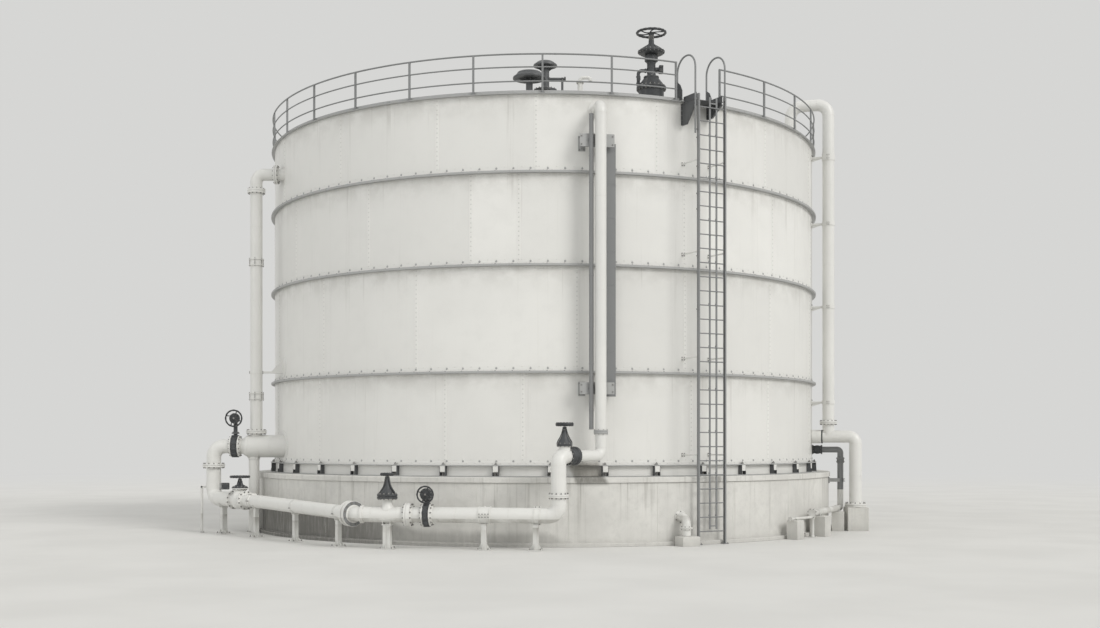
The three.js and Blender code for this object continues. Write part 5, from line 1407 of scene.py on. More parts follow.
# ------------------------------------------------------------------- guardrail
cuts = [0, 6, 12, 18, 24, BAYS]
for s in range(5):
    k0, k1, last = cuts[s], cuts[s + 1], s == 4
    a0 = POST_A0 + POST_STEP * k0 - (0.17 if s == 0 else 0.0)
    a1 = POST_A0 + POST_STEP * k1 + (0.17 if last else 0.0)
    p = piece(f"guardrail_{s + 1}_tubes", "rail_paint")
    n = round((k1 - k0) * 10)
    for i, z in enumerate(RAIL_Z):
        path = [polar(RAIL_R, a0 + (a1 - a0) * k / n, z) for k in range(n + 1)]
        p.add(sweep(path, circle(20.5 if i == 2 else 17.5, 16), Z))
    bolts = []
    for k in range(k0, k1 + (1 if last else 0)):
        a = POST_A0 + POST_STEP * k
        o, t = outward(a), tangent(a)
        c = polar(RAIL_R - 4, a, 0)
        zt = RAIL_Z[2] - 4
        p.add(cbox(48, 48, zt - Z_RIM - 10, 4).at(c + Z * ((zt + Z_RIM + 10) / 2), t, o))
        p.add(cbox(130, 78, 10, 2).at(polar(R + 56, a, Z_RIM + 6.5), t, o))
        for q in (-1, 1):
            bolts.append(facing(polar(R + 60, a, Z_RIM + 11.5) + t * q * 46, Z, t))
            p.add(slab([(0, 0), (32, 0), (0, 90)], 6, 1).at(c + t * q * 23 + Z * (Z_RIM + 11) + o * 3, t * q, Z))
        for z in RAIL_Z[:2]:
            p.add(lathe([(17, -33), (21, -29), (22, -24), (17, -24)], 16, closed=True).at(polar(RAIL_R, a, z), z=t))
            p.add(lathe([(17, -33), (21, -29), (22, -24), (17, -24)], 16, closed=True).at(polar(RAIL_R, a, z), z=-t))
    p.many(hex_nut(24, 14, True, 10, 7), bolts, "bolt_zinc")
    # knuckles of the top rail's joints
    for k in range(k0, k1 + 1, 3):
        a = POST_A0 + POST_STEP * k + 2.2
        if a < a1:
            p.add(flat_lathe([(20, -38), (22.0, -35), (22.0, 35), (20, 38)], 20).at(polar(RAIL_R, a, RAIL_Z[2]), z=tangent(a)))
    p.make(slot="rail_paint", replaces=f"guardrail_{s + 1}")

# ---------------------------------------------------------------------- ladder
LO, LT = outward(LAD_AZ), tangent(LAD_AZ)


def loc(u, w, z):
    return LO * (LAD_R + w) + LT * u + Z * z


W = LAD_W / 2
ZT = 11300.0
p = piece("ladder_rails_and_rungs", "rail_paint")
chan = [(-22, -38), (22, -38), (22, -30), (-13, -30), (-13, 30), (22, 30), (22, 38), (-22, 38)]
for s in (-1, 1):
    # side rails are channels open towards the rungs
    sec = [(x * -s, y) for x, y in chan]
    rings = [[loc(s * W, 0, z) + LT * a + LO * b for a, b in sec] for z in (2.0, ZT)]
    p.add(loft(rings))
    p.add(cbox(150, 150, 14, 2).at(loc(s * W, 0, 8), LT, LO))
    for q in (-1, 1):
        p.many(hex_nut(28, 18, True, 14, 8), [facing(loc(s * W + q * 54, 52 * q, 15), Z, LT)], "bolt_zinc")
rz = np.arange(330.0, ZT - 60, LAD_PITCH)
rung = flat_lathe([(14.5, -W + 12), (15, -W + 14), (15, W - 14), (14.5, W - 12)], 14)
p.many(rung, [facing(loc(0, 0, z), LT, LO) for z in rz])
p.many(flat_lathe([(17, 0), (17, 4), (13, 9), (6, 11)], 12), [facing(loc(s * (W + 21), 0, z), LT * s, LO) for z in rz for s in (-1, 1)])
for z in (2250.0, 4700.0, 7350.0, 9650.0):
    for s in (-1, 1):
        L = LAD_R - R
        p.add(cbox(12, L - 36, 40, 2).at(loc(s * W, -L / 2 - 14, z), LT, LO), "pipe_paint")
        # foot on the shell, curved washer plate and two bolts
        az = LAD_AZ + s * math.degrees(W / R)
        p.add(cbox(104, 12, 96, 3).at(polar(R + 7, az, z), tangent(az), outward(az)), "pipe_paint")
        p.many(hex_nut(26, 15, True, 9, 7), [facing(polar(R + 12.5, az, z + q * 31) + tangent(az) * 34 * g, outward(az), Z) for q in (-1, 1) for g in (-1, 1)], "bolt_zinc")
        p.many(hex_nut(24, 14, True, 8, 7), [facing(loc(s * (W + 6), -18, z + q * 10), LT * s, LO) for q in (-1, 1)], "bolt_zinc")
# small clips along the left rail
for z in (5896.0, 7230.0, 8400.0, 8790.0, 9469.0, 10190.0):
    p.add(cbox(46, 34, 30, 3).at(loc(-W - 44, 6, z), LT, LO))
    p.many(hex_nut(18, 10, True, 5, 5), [facing(loc(-W - 48, 23, z), LO, Z)], "bolt_zinc")
p.make(slot="rail_paint", replaces="ladder")

p = piece("ladder_guide_rails", "rail_paint")
for u in (-40.0, 165.0):
    p.add(cbox(49, 24, ZT - 430, 4).at(loc(u, -27.3, (ZT + 330) / 2), LT, LO))
    for z in rz[1:-1:3]:
        p.add(cbox(70, 10, 40, 2).at(loc(u, -38, z + 40), LT, LO))
for z in (460.0, ZT - 200):
    p.add(cbox(205, 22, 34, 3).at(loc(62.5, -27.3, z), LT, LO))
p.make(slot="rail_paint", replaces="ladder_guide")

for s, side in ((-1, "left"), (1, "right")):
    p = piece(f"handrail_{side}_hoop_tube", "rail_paint")
    rin = 8080.0 - LAD_R
    u = -W - 95 if s < 0 else W
    zh = 12328 if s < 0 else 12393
    p.add(tube([loc(u, 0, 10302 if s < 0 else ZT - 90), loc(u, 0, zh), loc(u, rin, zh), loc(u, rin, roof_z(8080) - 4)], 23, 380, 20, 18))
    if s < 0:
        # clamped beside its stile
        for z in (10400, 11150):
            p.add(cbox(70, 26, 28, 3).at(loc(-W - 59, 0, z), LT, LO))
            p.add(lathe([(22, -15), (28, -13), (28, 13), (22, 15)], 18, closed=True).at(loc(u, 0, z)))
            p.many(hex_nut(18, 10, True, 6, 5), [facing(loc(-W - 50, 13, z), LO, Z)], "bolt_zinc")
    else:
        for z in (ZT - 6, ZT + 26):
            p.add(lathe([(21, -8), (27, -6), (27, 6), (21, 8)], 18, closed=True).at(loc(u, 0, z)))
    p.add(cbox(110, 110, 9, 2).at(loc(u, rin, roof_z(8080) + 6), LT, LO))
    for q in (-1, 1):
        p.many(hex_nut(20, 12, True, 7, 6), [facing(loc(u + 38 * q, rin + 36 * q, roof_z(8080) + 10), Z, LT)], "bolt_zinc")
    # gusset plate at the roof end's foot
    g0, gh = roof_z(8080) + 12, (500, 390, 235) if s < 0 else (385, 300, 150)
    p.add(slab([(14, 0), (235, 0), (235, gh[2]), (150, gh[1]), (14, gh[0])], 10, 1.5).at(loc(u, rin, g0) - LT * 5, LO, Z), "fitting_paint")
    p.make(slot="rail_paint", replaces=f"handrail_hoop_{side}")

# landing: chequered plate on two triangular brackets with turned edges, painted near-black as painted shade under it
p = piece("ladder_landing_plate", "fitting_paint")
zL = 11185.0
L = LAD_R - R
p.add(cbox(2 * W - 6, 480, 9, 1.5).at(loc(-27.5, -L / 2 - 30, zL), LT, LO))
stud = slab([(-15, 0), (0, -4.5), (15, 0), (0, 4.5)], 2.2, 0.6)
st = []
for i in range(23):
    for j in range(15):
        u = -W - 5 + i * 34
        w = -L / 2 - 30 - 224 + j * 32
        st.append(facing(loc(u, w, zL + 4.2), Z, LT, math.pi / 4 * (1 if (i + j) % 2 else -1)))
p.many(stud, st)
for u, kh in ((-W - 18, 560.0), (W - 42, 320.0)):
    c = loc(u, -L, zL - 4)
    az = LAD_AZ + math.degrees(u / R)
    p.add(slab([(4, 0), (L - 56, 0), (L - 56, -56), (190, 4 - kh), (4, 4 - kh)], 11, 1.5).at(c - LT * 5.5, LO, Z))
    e = unit(vec(190 - (L - 56), 4 - kh + 56, 0))
    mid = c + LO * ((190 + L - 56) / 2) + Z * ((4 - kh - 56) / 2)
    d = unit(LO * e[0] + Z * e[1])
    p.add(cbox(math.hypot(L - 246, kh - 60), 56, 9, 1.5).at(mid, d, LT))
    p.add(cbox(L - 60, 56, 9, 1.5).at(c + LO * (L / 2 - 24) - Z * 2, LO, LT))
    p.add(cbox(190, 56, 9, 1.5).at(c + LO * 98 + Z * (9 - kh), LO, LT))
    p.add(cbox(90, 10, kh - 10, 2).at(polar(R + 6, az, zL - kh / 2), tangent(az), outward(az)))
    p.many(hex_nut(24, 14, True, 8, 7), [facing(polar(R + 11, az, zL - h) + tangent(az) * g * 27, outward(az), Z) for h in np.arange(60, kh - 30, 120) for g in (-1, 1)], "bolt_zinc")
    # toe board, with a bar along its top and three clips to the plate
    p.add(slab([(0, 0), (570, 0), (570, 146), (0, 146)], 8, 1.5).at(loc(u + 4, -620, zL + 6), LO, Z))
    p.add(cbox(14, 570, 8, 1.5).at(loc(u, -335, zL + 155), LT, LO))
    for w in (-570, -335, -100):
        p.add(cbox(44, 40, 8, 1.5).at(loc(u + 26, w, zL + 9.5), LT, LO))
        p.many(hex_nut(20, 12, True, 7, 6), [facing(loc(u + 32, w, zL + 13), Z, LT)], "bolt_zinc")
p.make(slot="rail_paint", replaces="ladder_landing")


# ------------------------------------------------------- pipes that meet walls
def reach(q, d, r=R):
    """The point where a level line from q along d meets the upright wall of radius r, on the near side."""
    a = d[0] * d[0] + d[1] * d[1]
    b = q[0] * d[0] + q[1] * d[1]
    c = q[0] * q[0] + q[1] * q[1] - r * r
    return q + d * ((-b - math.sqrt(max(0.0, b * b - a * c))) / a)


def land(c, m, d, r=R - 5):
    """The last ring of a swept pipe, of m points, moved along d on to the shell."""
    v = c.v.copy()
    for i in range(len(v) - m, len(v)):
        v[i] = reach(v[i], d, r)
    return Chunk(v, c.f)


def shell_pad(p, o, d, r0, r1, t=9.0, mat=None, weld=6.0, n=64):
    """A curved plate on the shell round a pipe of radius r0 whose axis runs through o along d, with its welds."""
    d = unit(d)
    x = unit(np.cross(Z, d))
    rows = []
    for k in range(n):
        a = 2 * math.pi * k / n
        e = math.cos(a) * x + math.sin(a) * Z
        rows.append([reach(o + e * rr, d, R + h) for rr, h in ((r1, -4), (r1, t - 2), (r1 - 2.5, t), (r0, t), (r0, -4))])
    v = np.array(rows).reshape(-1, 3)
    m = 5
    f = []
    for i in range(n):
        for j in range(m):
            k, w = (j + 1) % m, (i + 1) % n
            f.append((i * m + j, i * m + k, w * m + k, w * m + j))
    p.add(Chunk(v, f).out(), mat)
    for rr, h in ((r0 + 1, t), (r1, 1)):
        path = []
        for k in range(n):
            a = 2 * math.pi * k / n
            path.append(reach(o + (math.cos(a) * x + math.sin(a) * Z) * rr, d, R + h))
        p.add(sweep(path, circle(weld, 8), d, closed=True), mat)


def joint(p, o, d, r, t, pr, nuts=12, bolt=30.0, mat=None, hub=18.0, gap=0.0, core=None):
    """Two flanges face to face about o, t thick over all, with the gasket or ring between them."""
    d = unit(d)
    h = (t - gap) / 2
    for s in (-1, 1):
        flange(p, np.asarray(o, float) + d * s * gap / 2, -d * s, r, h, pr, nuts, hub=hub, bolt=bolt, mat=mat)
    gasket(p, o, d, (core or (pr + (r - pr) * 0.42)) - 2, gap + 5.2)
    if gap > 8:
        up = Z if abs(d[2]) < 0.9 else X
        x = unit(np.asarray(up) - d * np.dot(up, d))
        y = np.cross(d, x)
        rh = min(pr + (r - pr) * 0.34, r - 8)
        rc = (r + rh) / 2 + 3
        for k in range(nuts):
            a = 2 * math.pi * (k + 0.5) / nuts
            e = rc * (math.cos(a) * x + math.sin(a) * y)
            p.add(cyl(np.asarray(o) + e - d * (gap / 2 + 3), np.asarray(o) + e + d * (gap / 2 + 3), bolt * 0.27, 8), "bolt_zinc")


def wall_arm(p, c, az, z, pr, w=60.0, mat=None, plate=(170.0, 200.0)):
    """A box arm from a plate on the shell out to the pipe whose centre is c."""
    o, t = outward(az), tangent(az)
    r = math.hypot(c[0], c[1])
    L = r - pr * 0.6 - R
    p.add(cbox(w, L, w, 3).at(polar(R + L / 2, az, z), t, o), mat)
    p.add(cbox(plate[0], 12, plate[1], 3).at(polar(R + 6, az, z), t, o), mat)
    p.many(hex_nut(26, 15, True, 9, 7), [facing(polar(R + 11.5, az, z + q * plate[1] * 0.36) + t * g * plate[0] * 0.34, o, Z) for q in (-1, 1) for g in (-1, 1)], "bolt_zinc")
    g = slab([(0, 0), (L * 0.7, 0), (0, -90)], 10, 1)
    p.add(g.at(polar(R + 11, az, z - w / 2) - t * 5, o, Z), mat)


# --------------------------------------------------------------- front pipework
EX, EY = HEAD_E
u1 = unit(vec(HEAD_V[0] - EX, HEAD_V[1] - EY, 0))
yaw1 = math.atan2(-u1[1], -u1[0])
to_riser = unit(vec(RISER[0] - EX, RISER[1] - EY, 0))
azR = math.degrees(math.atan2(RISER[0], -RISER[1]))
rR = math.hypot(*RISER)


def on_head(s, z=HEAD_Z):
    return vec(EX, EY, z) + u1 * s


p = piece("front_riser_run", "pipe_paint")
run0 = vec(EX, EY, RISER_Z_RUN) + to_riser * (560 + GAP)
rt = vec(RISER[0], RISER[1], RISER_Z_TOP)
inward = -outward(azR)
c = tube([run0 + to_riser * 2, vec(RISER[0], RISER[1], RISER_Z_RUN), rt, rt + inward * (rR - R)], RISER_PR, [190, 200], 44, 16)
p.add(land(c, 44, inward))
flange(p, run0, -to_riser, 225, 43, RISER_PR, 8, hub=24, bolt=32, mat="valve_iron")
joint(p, vec(RISER[0], RISER[1], 2822), Z, 176, 84, RISER_PR, 8, 20, hub=5, mat="trim_paint")
for z in (2376 + 56, 4064, 6300, 8600, 10645):
    bead(p, vec(RISER[0], RISER[1], z), Z, RISER_PR, 5)
bead(p, vec(RISER[0], RISER[1], RISER_Z_RUN) - to_riser * 192, to_riser, RISER_PR, 5)
shell_pad(p, rt, inward, RISER_PR, 213, 20)
# a wall bracket is a channel behind the pipe, held off the shell by an arm on a plate
tR, oR = tangent(azR), outward(azR)
for z, h, hw in ((3897.0, 294.0, 436.0), (10000.0, 320.0, 436.0)):
    a = azR - 1.3
    L = rR - R - RISER_PR - 20
    rp = rR - RISER_PR - 4
    c0 = polar(rp, azR, z) - tR * 64
    p.add(cbox(2 * hw, 14, h, 3).at(c0, tR, oR), "trim_paint")
    for q in (-1, 1):
        p.add(cbox(2 * hw, 56, 14, 3).at(c0 - oR * 24 + Z * q * (h / 2 - 7), tR, oR), "rail_paint")
    for g, off, pw in ((-1, -2.61, 180.0), (1, 1.0, 144.0)):
        far = azR + off
        p.add(cbox(26, L + 30, h - 42, 3).at(polar(R + L / 2 - 2, far, z), tangent(far), outward(far)), "rail_paint")
        p.add(cbox(pw, 14, h + 60, 3).at(polar(R + 7, far, z), tangent(far), outward(far)), "trim_paint")
        p.many(hex_nut(30, 18, True, 10, 8), [facing(polar(R + 13, far, z + q * (h / 2 - 6)) + tangent(far) * k * pw * 0.34, outward(far), Z) for q in (-1, 1) for k in (-1, 1)], "bolt_zinc")
        p.many(hex_nut(30, 18, True, 12, 8), [facing(c0 + oR * 7 + tR * g * 392 + Z * q * (h / 2 - 60), oR, Z) for q in (-1, 1)], "bolt_zinc")
    # half clamps bolted to the channel on both sides of the pipe
    for g in (-1, 1):
        p.add(cbox(44, 40, h * 0.62, 4).at(c0 + tR * (64 + g * (RISER_PR + 14)) + oR * 22, tR, oR), "trim_paint")
        p.many(hex_nut(24, 14, True, 10, 7), [facing(c0 + tR * (64 + g * (RISER_PR + 16)) + oR * 42 + Z * q * h * 0.2, oR, Z) for q in (-1, 1)], "bolt_zinc")
# thin pipe beside the riser, on the same brackets, painted dark grey as painted shade along the riser's left side
xc, yc, rc = 1172.0, -8600.0, 60.0
p.add(cyl(vec(xc, yc, 2890), vec(xc, yc, 10622), rc - 4, 32), "rail_paint")
p.add(flat_lathe([(rc - 4, 0), (rc, 4), (rc, 18), (rc - 6, 24), (20, 28)], 32).at((xc, yc, 10611)), "rail_paint")
p.add(flat_lathe([(rc - 4, 0), (rc, -4), (rc, -16), (rc - 4, -20)], 32).at((xc, yc, 2902)), "rail_paint")
for z in (3358.0, 4494.0, 5400.0, 6667.0, 7800.0, 8947.0, 9600.0, 10500.0):
    p.add(flat_lathe([(rc - 3, -17), (rc, -14), (rc, 14), (rc - 3, 17)], 32).at((xc, yc, z)), "rail_paint")
for z in (3897.0, 10000.0):
    p.add(cbox(150, 60, 60, 4).at((xc, yc + 26, z), tR, oR), "rail_paint")
p.make(slot="pipe_paint", replaces="front_riser")

# the channel is painted dark grey as painted shade in the gap beside the riser
p = piece("riser_backing_channel", "rail_paint")
a = azR + 2.17
o, t = outward(a), tangent(a)
k = 115
sec = [(-k, 30), (k, 30), (k, -30), (k - 9, -30), (k - 9, 21), (9 - k, 21), (9 - k, -30), (-k, -30)]
base = polar(R + 245, a, 0)
p.add(loft([[base + t * x + o * y + Z * z for x, y in sec] for z in (3700.0, 9960.0)]))
# cover strips screwed on to the channel's face
for z in np.arange(3990.0, 9900.0, 830.0):
    p.add(cbox(2 * k - 6, 5, 60, 1.5).at(base + o * 32 + Z * z, t, o))
    p.many(rivet(11, 5), [facing(base + o * 34.4 + Z * (z + q * 16) + t * g * 84, o, Z) for g in (-1, 1) for q in (-1, 1)])
for z in (3830.0, 6430.0, 9730.0):
    p.add(cbox(110, 210, 12, 2).at(polar(R + 112, a, z + 24), t, o))
    p.add(cbox(12, 210, 60, 2).at(polar(R + 112, a, z - 10), t, o))
    p.add(cbox(170, 12, 150, 3).at(polar(R + 6, a, z), t, o))
    p.many(hex_nut(24, 14, True, 8, 7), [facing(polar(R + 11.5, a, z + q * 50) + t * g * 62, o, Z) for q in (-1, 1) for g in (-1, 1)], "bolt_zinc")
p.make(slot="trim_paint", replaces="riser_channel")

# angle valve on the upright
p = piece("riser_valve_body", "pipe_paint")
q0 = vec(EX, EY, UP_SPLIT + GAP)
face = vec(EX, EY, RISER_Z_RUN) + to_riser * 560
stem = vec(EX, EY, 0) + to_riser * 215
p.add(tube([q0 + Z * 2, vec(EX, EY, RISER_Z_RUN), face - to_riser * 2], HEAD_PR - 3, 200, 48, 18))
flange(p, q0, -Z, 239, 41, HEAD_PR - 2, 12, hub=18, bolt=34, mat="pipe_paint")
# iron drum with the disc in it, flanged at both ends
drum0 = face - to_riser * 260
p.add(flat_lathe([(HEAD_PR - 6, 1), (223, 1), (226, 4), (226, 40), (223, 43), (216, 45), (209, 54), (207, 84), (212, 92), (212, 168), (207, 176), (209, 206), (216, 215), (223, 217), (226, 220), (226, 256), (223, 259), (160, 259)], 64).at(drum0, z=to_riser), "valve_iron")
ring_bolts(p, drum0 + to_riser * 1.5, 206, 12, 28, 17, -to_riser, sr=8, stud=7)
gasket(p, face + to_riser * 0.1, to_riser, 196, 4)
bead(p, q0 + Z * 735, Z, HEAD_PR - 2, 5)
# bonnet
sx, sy = stem[0], stem[1]
p.add(flat_lathe([(150, 2238), (149, 2360), (142, 2400), (140, 2440), (148, 2462), (150, 2471)], 48).at((sx, sy, 0)))
p.add(flat_lathe([(186, 2472), (189, 2475), (189, 2495), (186, 2498), (150, 2498)], 52).at((sx, sy, 0)), "valve_iron")
gasket(p, vec(sx, sy, 2500), Z, 160, 4.6)
p.add(flat_lathe([(150, 2502), (186, 2502), (189, 2505), (189, 2526), (185, 2530), (166, 2532), (162, 2540), (152, 2570), (126, 2615), (100, 2660), (74, 2712), (57, 2760), (47, 2808), (42, 2846)], 52).at((sx, sy, 0)), "valve_iron")
ring_bolts(p, vec(sx, sy, 2530), 176, 10, 22, 16, Z, sr=8, stud=9)
ring_bolts(p, vec(sx, sy, 2473), 168, 10, 26, 14, -Z, sr=8, stud=6)
p.add(flat_lathe([(40, 2842), (47, 2846), (47, 2858), (41, 2863)], 28).at((sx, sy, 0)), "valve_iron")
for s in (-1, 1):
    pts = [vec(sx, sy, 0) + X * s * a + Z * z for a, z in ((178, 2530), (168, 2580), (134, 2636), (105, 2688), (78, 2748), (58, 2810), (40, 2888))]
    p.add(sweep(pts, [(13 * a, 34 * b) for a, b in ((-1, -0.7), (-0.7, -1), (0.7, -1), (1, -0.7), (1, 0.7), (0.7, 1), (-0.7, 1), (-1, 0.7))], X), "valve_iron")
    p.many(hex_nut(18, 11, True, 12, 6), [facing(vec(sx, sy + s * 34, 2862), Z)], "bolt_zinc")
p.add(flat_lathe([(38, 2868), (50, 2878), (50, 2922), (40, 2932)], 28).at((sx, sy, 0)), "valve_iron")
p.add(cyl(vec(sx, sy, 2840), vec(sx, sy, 2941), 24, 20, b=2), "stem_steel")
p.make(slot="valve_iron", replaces="riser_valve")
handwheel("riser_valve_handwheel_rim", "riser_valve_handwheel", "wheel_iron", "riser_valve_wheel", (sx, sy, 2993), Z, 220, 30, 5, h=50)

# right run of the header
p = piece("header_right_run", "pipe_paint")
top = vec(EX, EY, UP_SPLIT)
end = on_head(3170 - 72 - GAP)
p.add(tube([top - Z * 2, vec(EX, EY, HEAD_Z), end - u1 * 2], HEAD_PR, 250, 48, 20))
flange(p, top, Z, 239, 41, HEAD_PR, 12, hub=18, bolt=34)
flange(p, end, u1, 270, 40, HEAD_PR, 12, hub=34, bolt=36)
bead(p, vec(EX, EY, 1083), Z, HEAD_PR, 6)
for s in (252.0, 1180.0, 2450.0):
    bead(p, on_head(s), u1, HEAD_PR, 6)
# a wide band clamp on the first post, and a long split clamp on the second
uyh = np.cross(Z, u1)
band = on_head(500)
p.add(flat_lathe([(HEAD_PR + 2, -87), (HEAD_PR + 9, -85), (HEAD_PR + 9, 85), (HEAD_PR + 2, 87)], 56).at(band, z=u1))
for h in (-66.0, 66.0):
    p.add(flat_lathe([(HEAD_PR + 6, -14), (HEAD_PR + 15, -11), (HEAD_PR + 15, 11), (HEAD_PR + 6, 14)], 56).at(band + u1 * h, z=u1))
for g in (-1, 1):
    for s in (-1, 1):
        p.add(cbox(40, 14, 166, 3).at(band + Z * (g * (HEAD_PR + 14)) + uyh * s * 13, Z, uyh))
        p.many(hex_nut(24, 14, True, 9, 7), [facing(band + Z * (g * (HEAD_PR + 18)) + uyh * s * 20 + u1 * h, uyh * s, Z) for h in (-48.0, 48.0)], "bolt_zinc")
split = on_head(1765)
p.add(flat_lathe([(HEAD_PR + 2, -148), (HEAD_PR + 12, -145), (HEAD_PR + 12, 145), (HEAD_PR + 2, 148)], 56).at(split, z=u1))
for h in (-135.0, 135.0):
    p.add(flat_lathe([(HEAD_PR + 8, -14), (HEAD_PR + 24, -11), (HEAD_PR + 24, 11), (HEAD_PR + 8, 14)], 56).at(split + u1 * h, z=u1))
for g in (-1, 1):
    for s in (-1, 1):
        p.add(cbox(46, 16, 286, 4).at(split + uyh * (g * (HEAD_PR + 10)) + Z * s * 15, uyh, Z))
        p.many(hex_nut(28, 16, True, 12, 8), [facing(split + uyh * (g * (HEAD_PR + 14)) + Z * s * 23 + u1 * h, Z * s, uyh) for h in (-108.0, -36.0, 36.0, 108.0)], "bolt_zinc")
    p.add(cyl(split + Z * (g * (HEAD_PR + 8)), split + Z * (g * (HEAD_PR + 30)), 26, 24, b=3))
for s in (545.0, 1790.0):
    post(p, on_head(s)[:2], u1, HEAD_PR, HEAD_Z, 130, 320, strap=False)
p.make(slot="pipe_paint", replaces="header_right")

p = piece("header_gear_valve_body", "valve_iron")
g = on_head(3170)
gear_valve(p, g, yaw1, 71, 300, 492, HEAD_PR)
p.make(slot="valve_iron", replaces="header_gear_valve")
front1 = vec(math.sin(yaw1), -math.cos(yaw1), 0)
handwheel("header_gear_valve_handwheel_rim", "header_gear_valve_handwheel", "wheel_iron", "header_gear_valve_wheel", g + front1 * 226 + Z * 492, front1, 216, 22, 4, turn=math.pi / 4, up=Z)

p = piece("header_spool_piece", "pipe_paint")
a, b = on_head(3170 + 72 + GAP), on_head(3650 - GAP)
p.add(cyl(a + u1 * 2, b - u1 * 2, HEAD_PR, 48))
flange(p, a, -u1, 270, 40, HEAD_PR, 12, hub=34, bolt=36)
flange(p, b, u1, 285, 99, HEAD_PR, 12, hub=34, bolt=36)
p.make(slot="pipe_paint", replaces="header_spool")

# straight-bodied gate valve: flanged at its right end, welded to the header at its left
p = piece("header_gate_valve_body", "pipe_paint")
gv = on_head(4150)
ux, uy = -u1, np.cross(Z, -u1)
p.add(cyl(gv - ux * 618, gv + ux * 496, HEAD_PR - 1, 56))
flange(p, gv + ux * 500, ux, 285, 49, HEAD_PR, 12, hub=30, bolt=36)
p.add(flat_lathe([(HEAD_PR - 2, 44), (HEAD_PR + 10, 38), (213, 34), (215, 31), (215, 3), (213, 0.5), (150, 0.5)], 56).at(gv - ux * 620, z=ux))
for h in (-380.0, 250.0):
    bead(p, gv + ux * h, ux, HEAD_PR - 1, 6)
path = []
for k in range(64):
    a = 2 * math.pi * k / 64
    w = 158 * math.sin(a)
    path.append(gv + ux * (158 * math.cos(a)) + uy * w + Z * math.sqrt(HEAD_PR ** 2 - w * w))
p.add(sweep(path, circle(10, 8), Z, closed=True))
at_gate = lambda c: c.move(gv[0], gv[1], HEAD_Z)  # noqa: E731
p.add(at_gate(flat_lathe([(158, 60), (157, 150), (146, 186), (128, 214), (119, 246), (117, 354), (126, 378), (150, 384)], 56)))
p.add(at_gate(flat_lathe([(150, 382), (243, 382), (246, 385), (246, 429), (243, 432), (170, 434)], 64)), "valve_iron")
gasket(p, gv + Z * 437, Z, 214, 8)
p.add(at_gate(flat_lathe([(170, 440), (243, 442), (246, 445), (246, 487), (242, 491), (174, 493), (166, 500), (158, 530), (138, 566), (104, 614), (77, 664), (57, 720), (47, 780), (41, 830), (37, 850)], 64)), "valve_iron")
ring_bolts(p, gv + Z * 491, 214, 12, 34, 21, Z, sr=10, stud=11)
ring_bolts(p, gv + Z * 382, 214, 12, 34, 18, -Z, sr=10, stud=8)
for k in range(6):
    a = math.pi / 3 * (k + 0.5)
    d = ux * math.cos(a) + uy * math.sin(a)
    p.add(slab([(0, 0), (40, 0), (-46, 120), (-60, 120)], 12, 1.5).at(gv + Z * 491 + d * 150 + np.cross(d, Z) * 6, d, Z), "valve_iron")
p.add(at_gate(flat_lathe([(36, 842), (44, 846), (44, 858), (38, 863)], 32)), "valve_iron")
for s in (-1, 1):
    pts = [gv + ux * s * a + Z * z for a, z in ((192, 491), (178, 540), (134, 602), (98, 660), (72, 730), (56, 800), (40, 884))]
    p.add(sweep(pts, [(15 * a, 40 * b) for a, b in ((-1, -0.7), (-0.7, -1), (0.7, -1), (1, -0.7), (1, 0.7), (0.7, 1), (-0.7, 1), (-1, 0.7))], X), "valve_iron")
p.add(at_gate(flat_lathe([(42, 856), (56, 866), (56, 906), (44, 916)], 28)), "valve_iron")
p.add(cyl(gv + Z * 840, gv + Z * 926, 23, 20, b=2), "stem_steel")
# its post, with a cap plate under the barrel
g0 = vec(gv[0], gv[1], 0)
p.add(cbox(340, 340, 22, 3).at(g0 + Z * 11.5, ux, uy), "post_paint")
p.add(cbox(186, 186, 560, 6).at(g0 + Z * 302, ux, uy), "post_paint")
p.add(cbox(230, 230, 22, 3).at(g0 + Z * 588, ux, uy), "post_paint")
p.add(place_xz(arc_plate(HEAD_PR, HEAD_PR + 14, 218, 322, 230), gv, uy, ux), "post_paint")
for s in (-1, 1):
    p.add(slab([(-100, -52), (100, -52), (128, 38), (80, 12), (0, -4), (-80, 12), (-128, 38)], 12, 1).at(gv - Z * (HEAD_PR - 2) + ux * (s * 88 - 6), uy, Z), "post_paint")
for d in (ux, uy, -ux, -uy):
    p.add(slab([(90, 0), (162, 0), (162, 14), (90, 150)], 10).at(g0 + Z * 22 + np.cross(d, Z) * 5, d, Z), "post_paint")
for s in (-1, 1):
    for q in (-1, 1):
        p.many(hex_nut(32, 20, True, 18, 9), [facing(g0 + ux * s * 138 + uy * q * 138 + Z * 22.5, Z, ux)], "bolt_zinc")
p.make(slot="valve_iron", replaces="header_gate_valve")
handwheel("header_gate_valve_handwheel_rim", "header_gate_valve_handwheel", "wheel_iron", "header_gate_valve_wheel", gv + Z * 968, Z, 172, 26, 5, h=40)

# ---------------------------------------------------------------- left pipework
VX, VY = HEAD_V
LB = vec(LOOP[0], LOOP[1], LOOP_Z_LOW)
u2 = unit(vec(LB[0] - VX, LB[1] - VY, 0))
yaw2 = math.atan2(-u2[1], -u2[0])


def on_left(t, z):
    return vec(VX, VY, z) + u2 * t


p = piece("header_left_run", "pipe_paint")
pr = HEAD_PR - 14
a = on_head(4770 + GAP)
corner = vec(VX, VY, HEAD_Z)
kink, end = on_left(5150, LOOP_Z_LOW), on_left(5570 - GAP, LOOP_Z_LOW)
along = unit(kink - corner)
p.add(tube([a + u1 * 2, corner, kink, end - u2 * 2], pr, [260, 0], 48, 20))
p.add(flat_lathe([(pr - 2, 44), (pr + 12, 38), (213, 34), (215, 31), (215, 3), (213, 0.5), (150, 0.5)], 56).at(a, z=u1))
joint(p, corner + along * 238, along, 309, 230, pr, 12, 38, hub=0, gap=24, core=262)
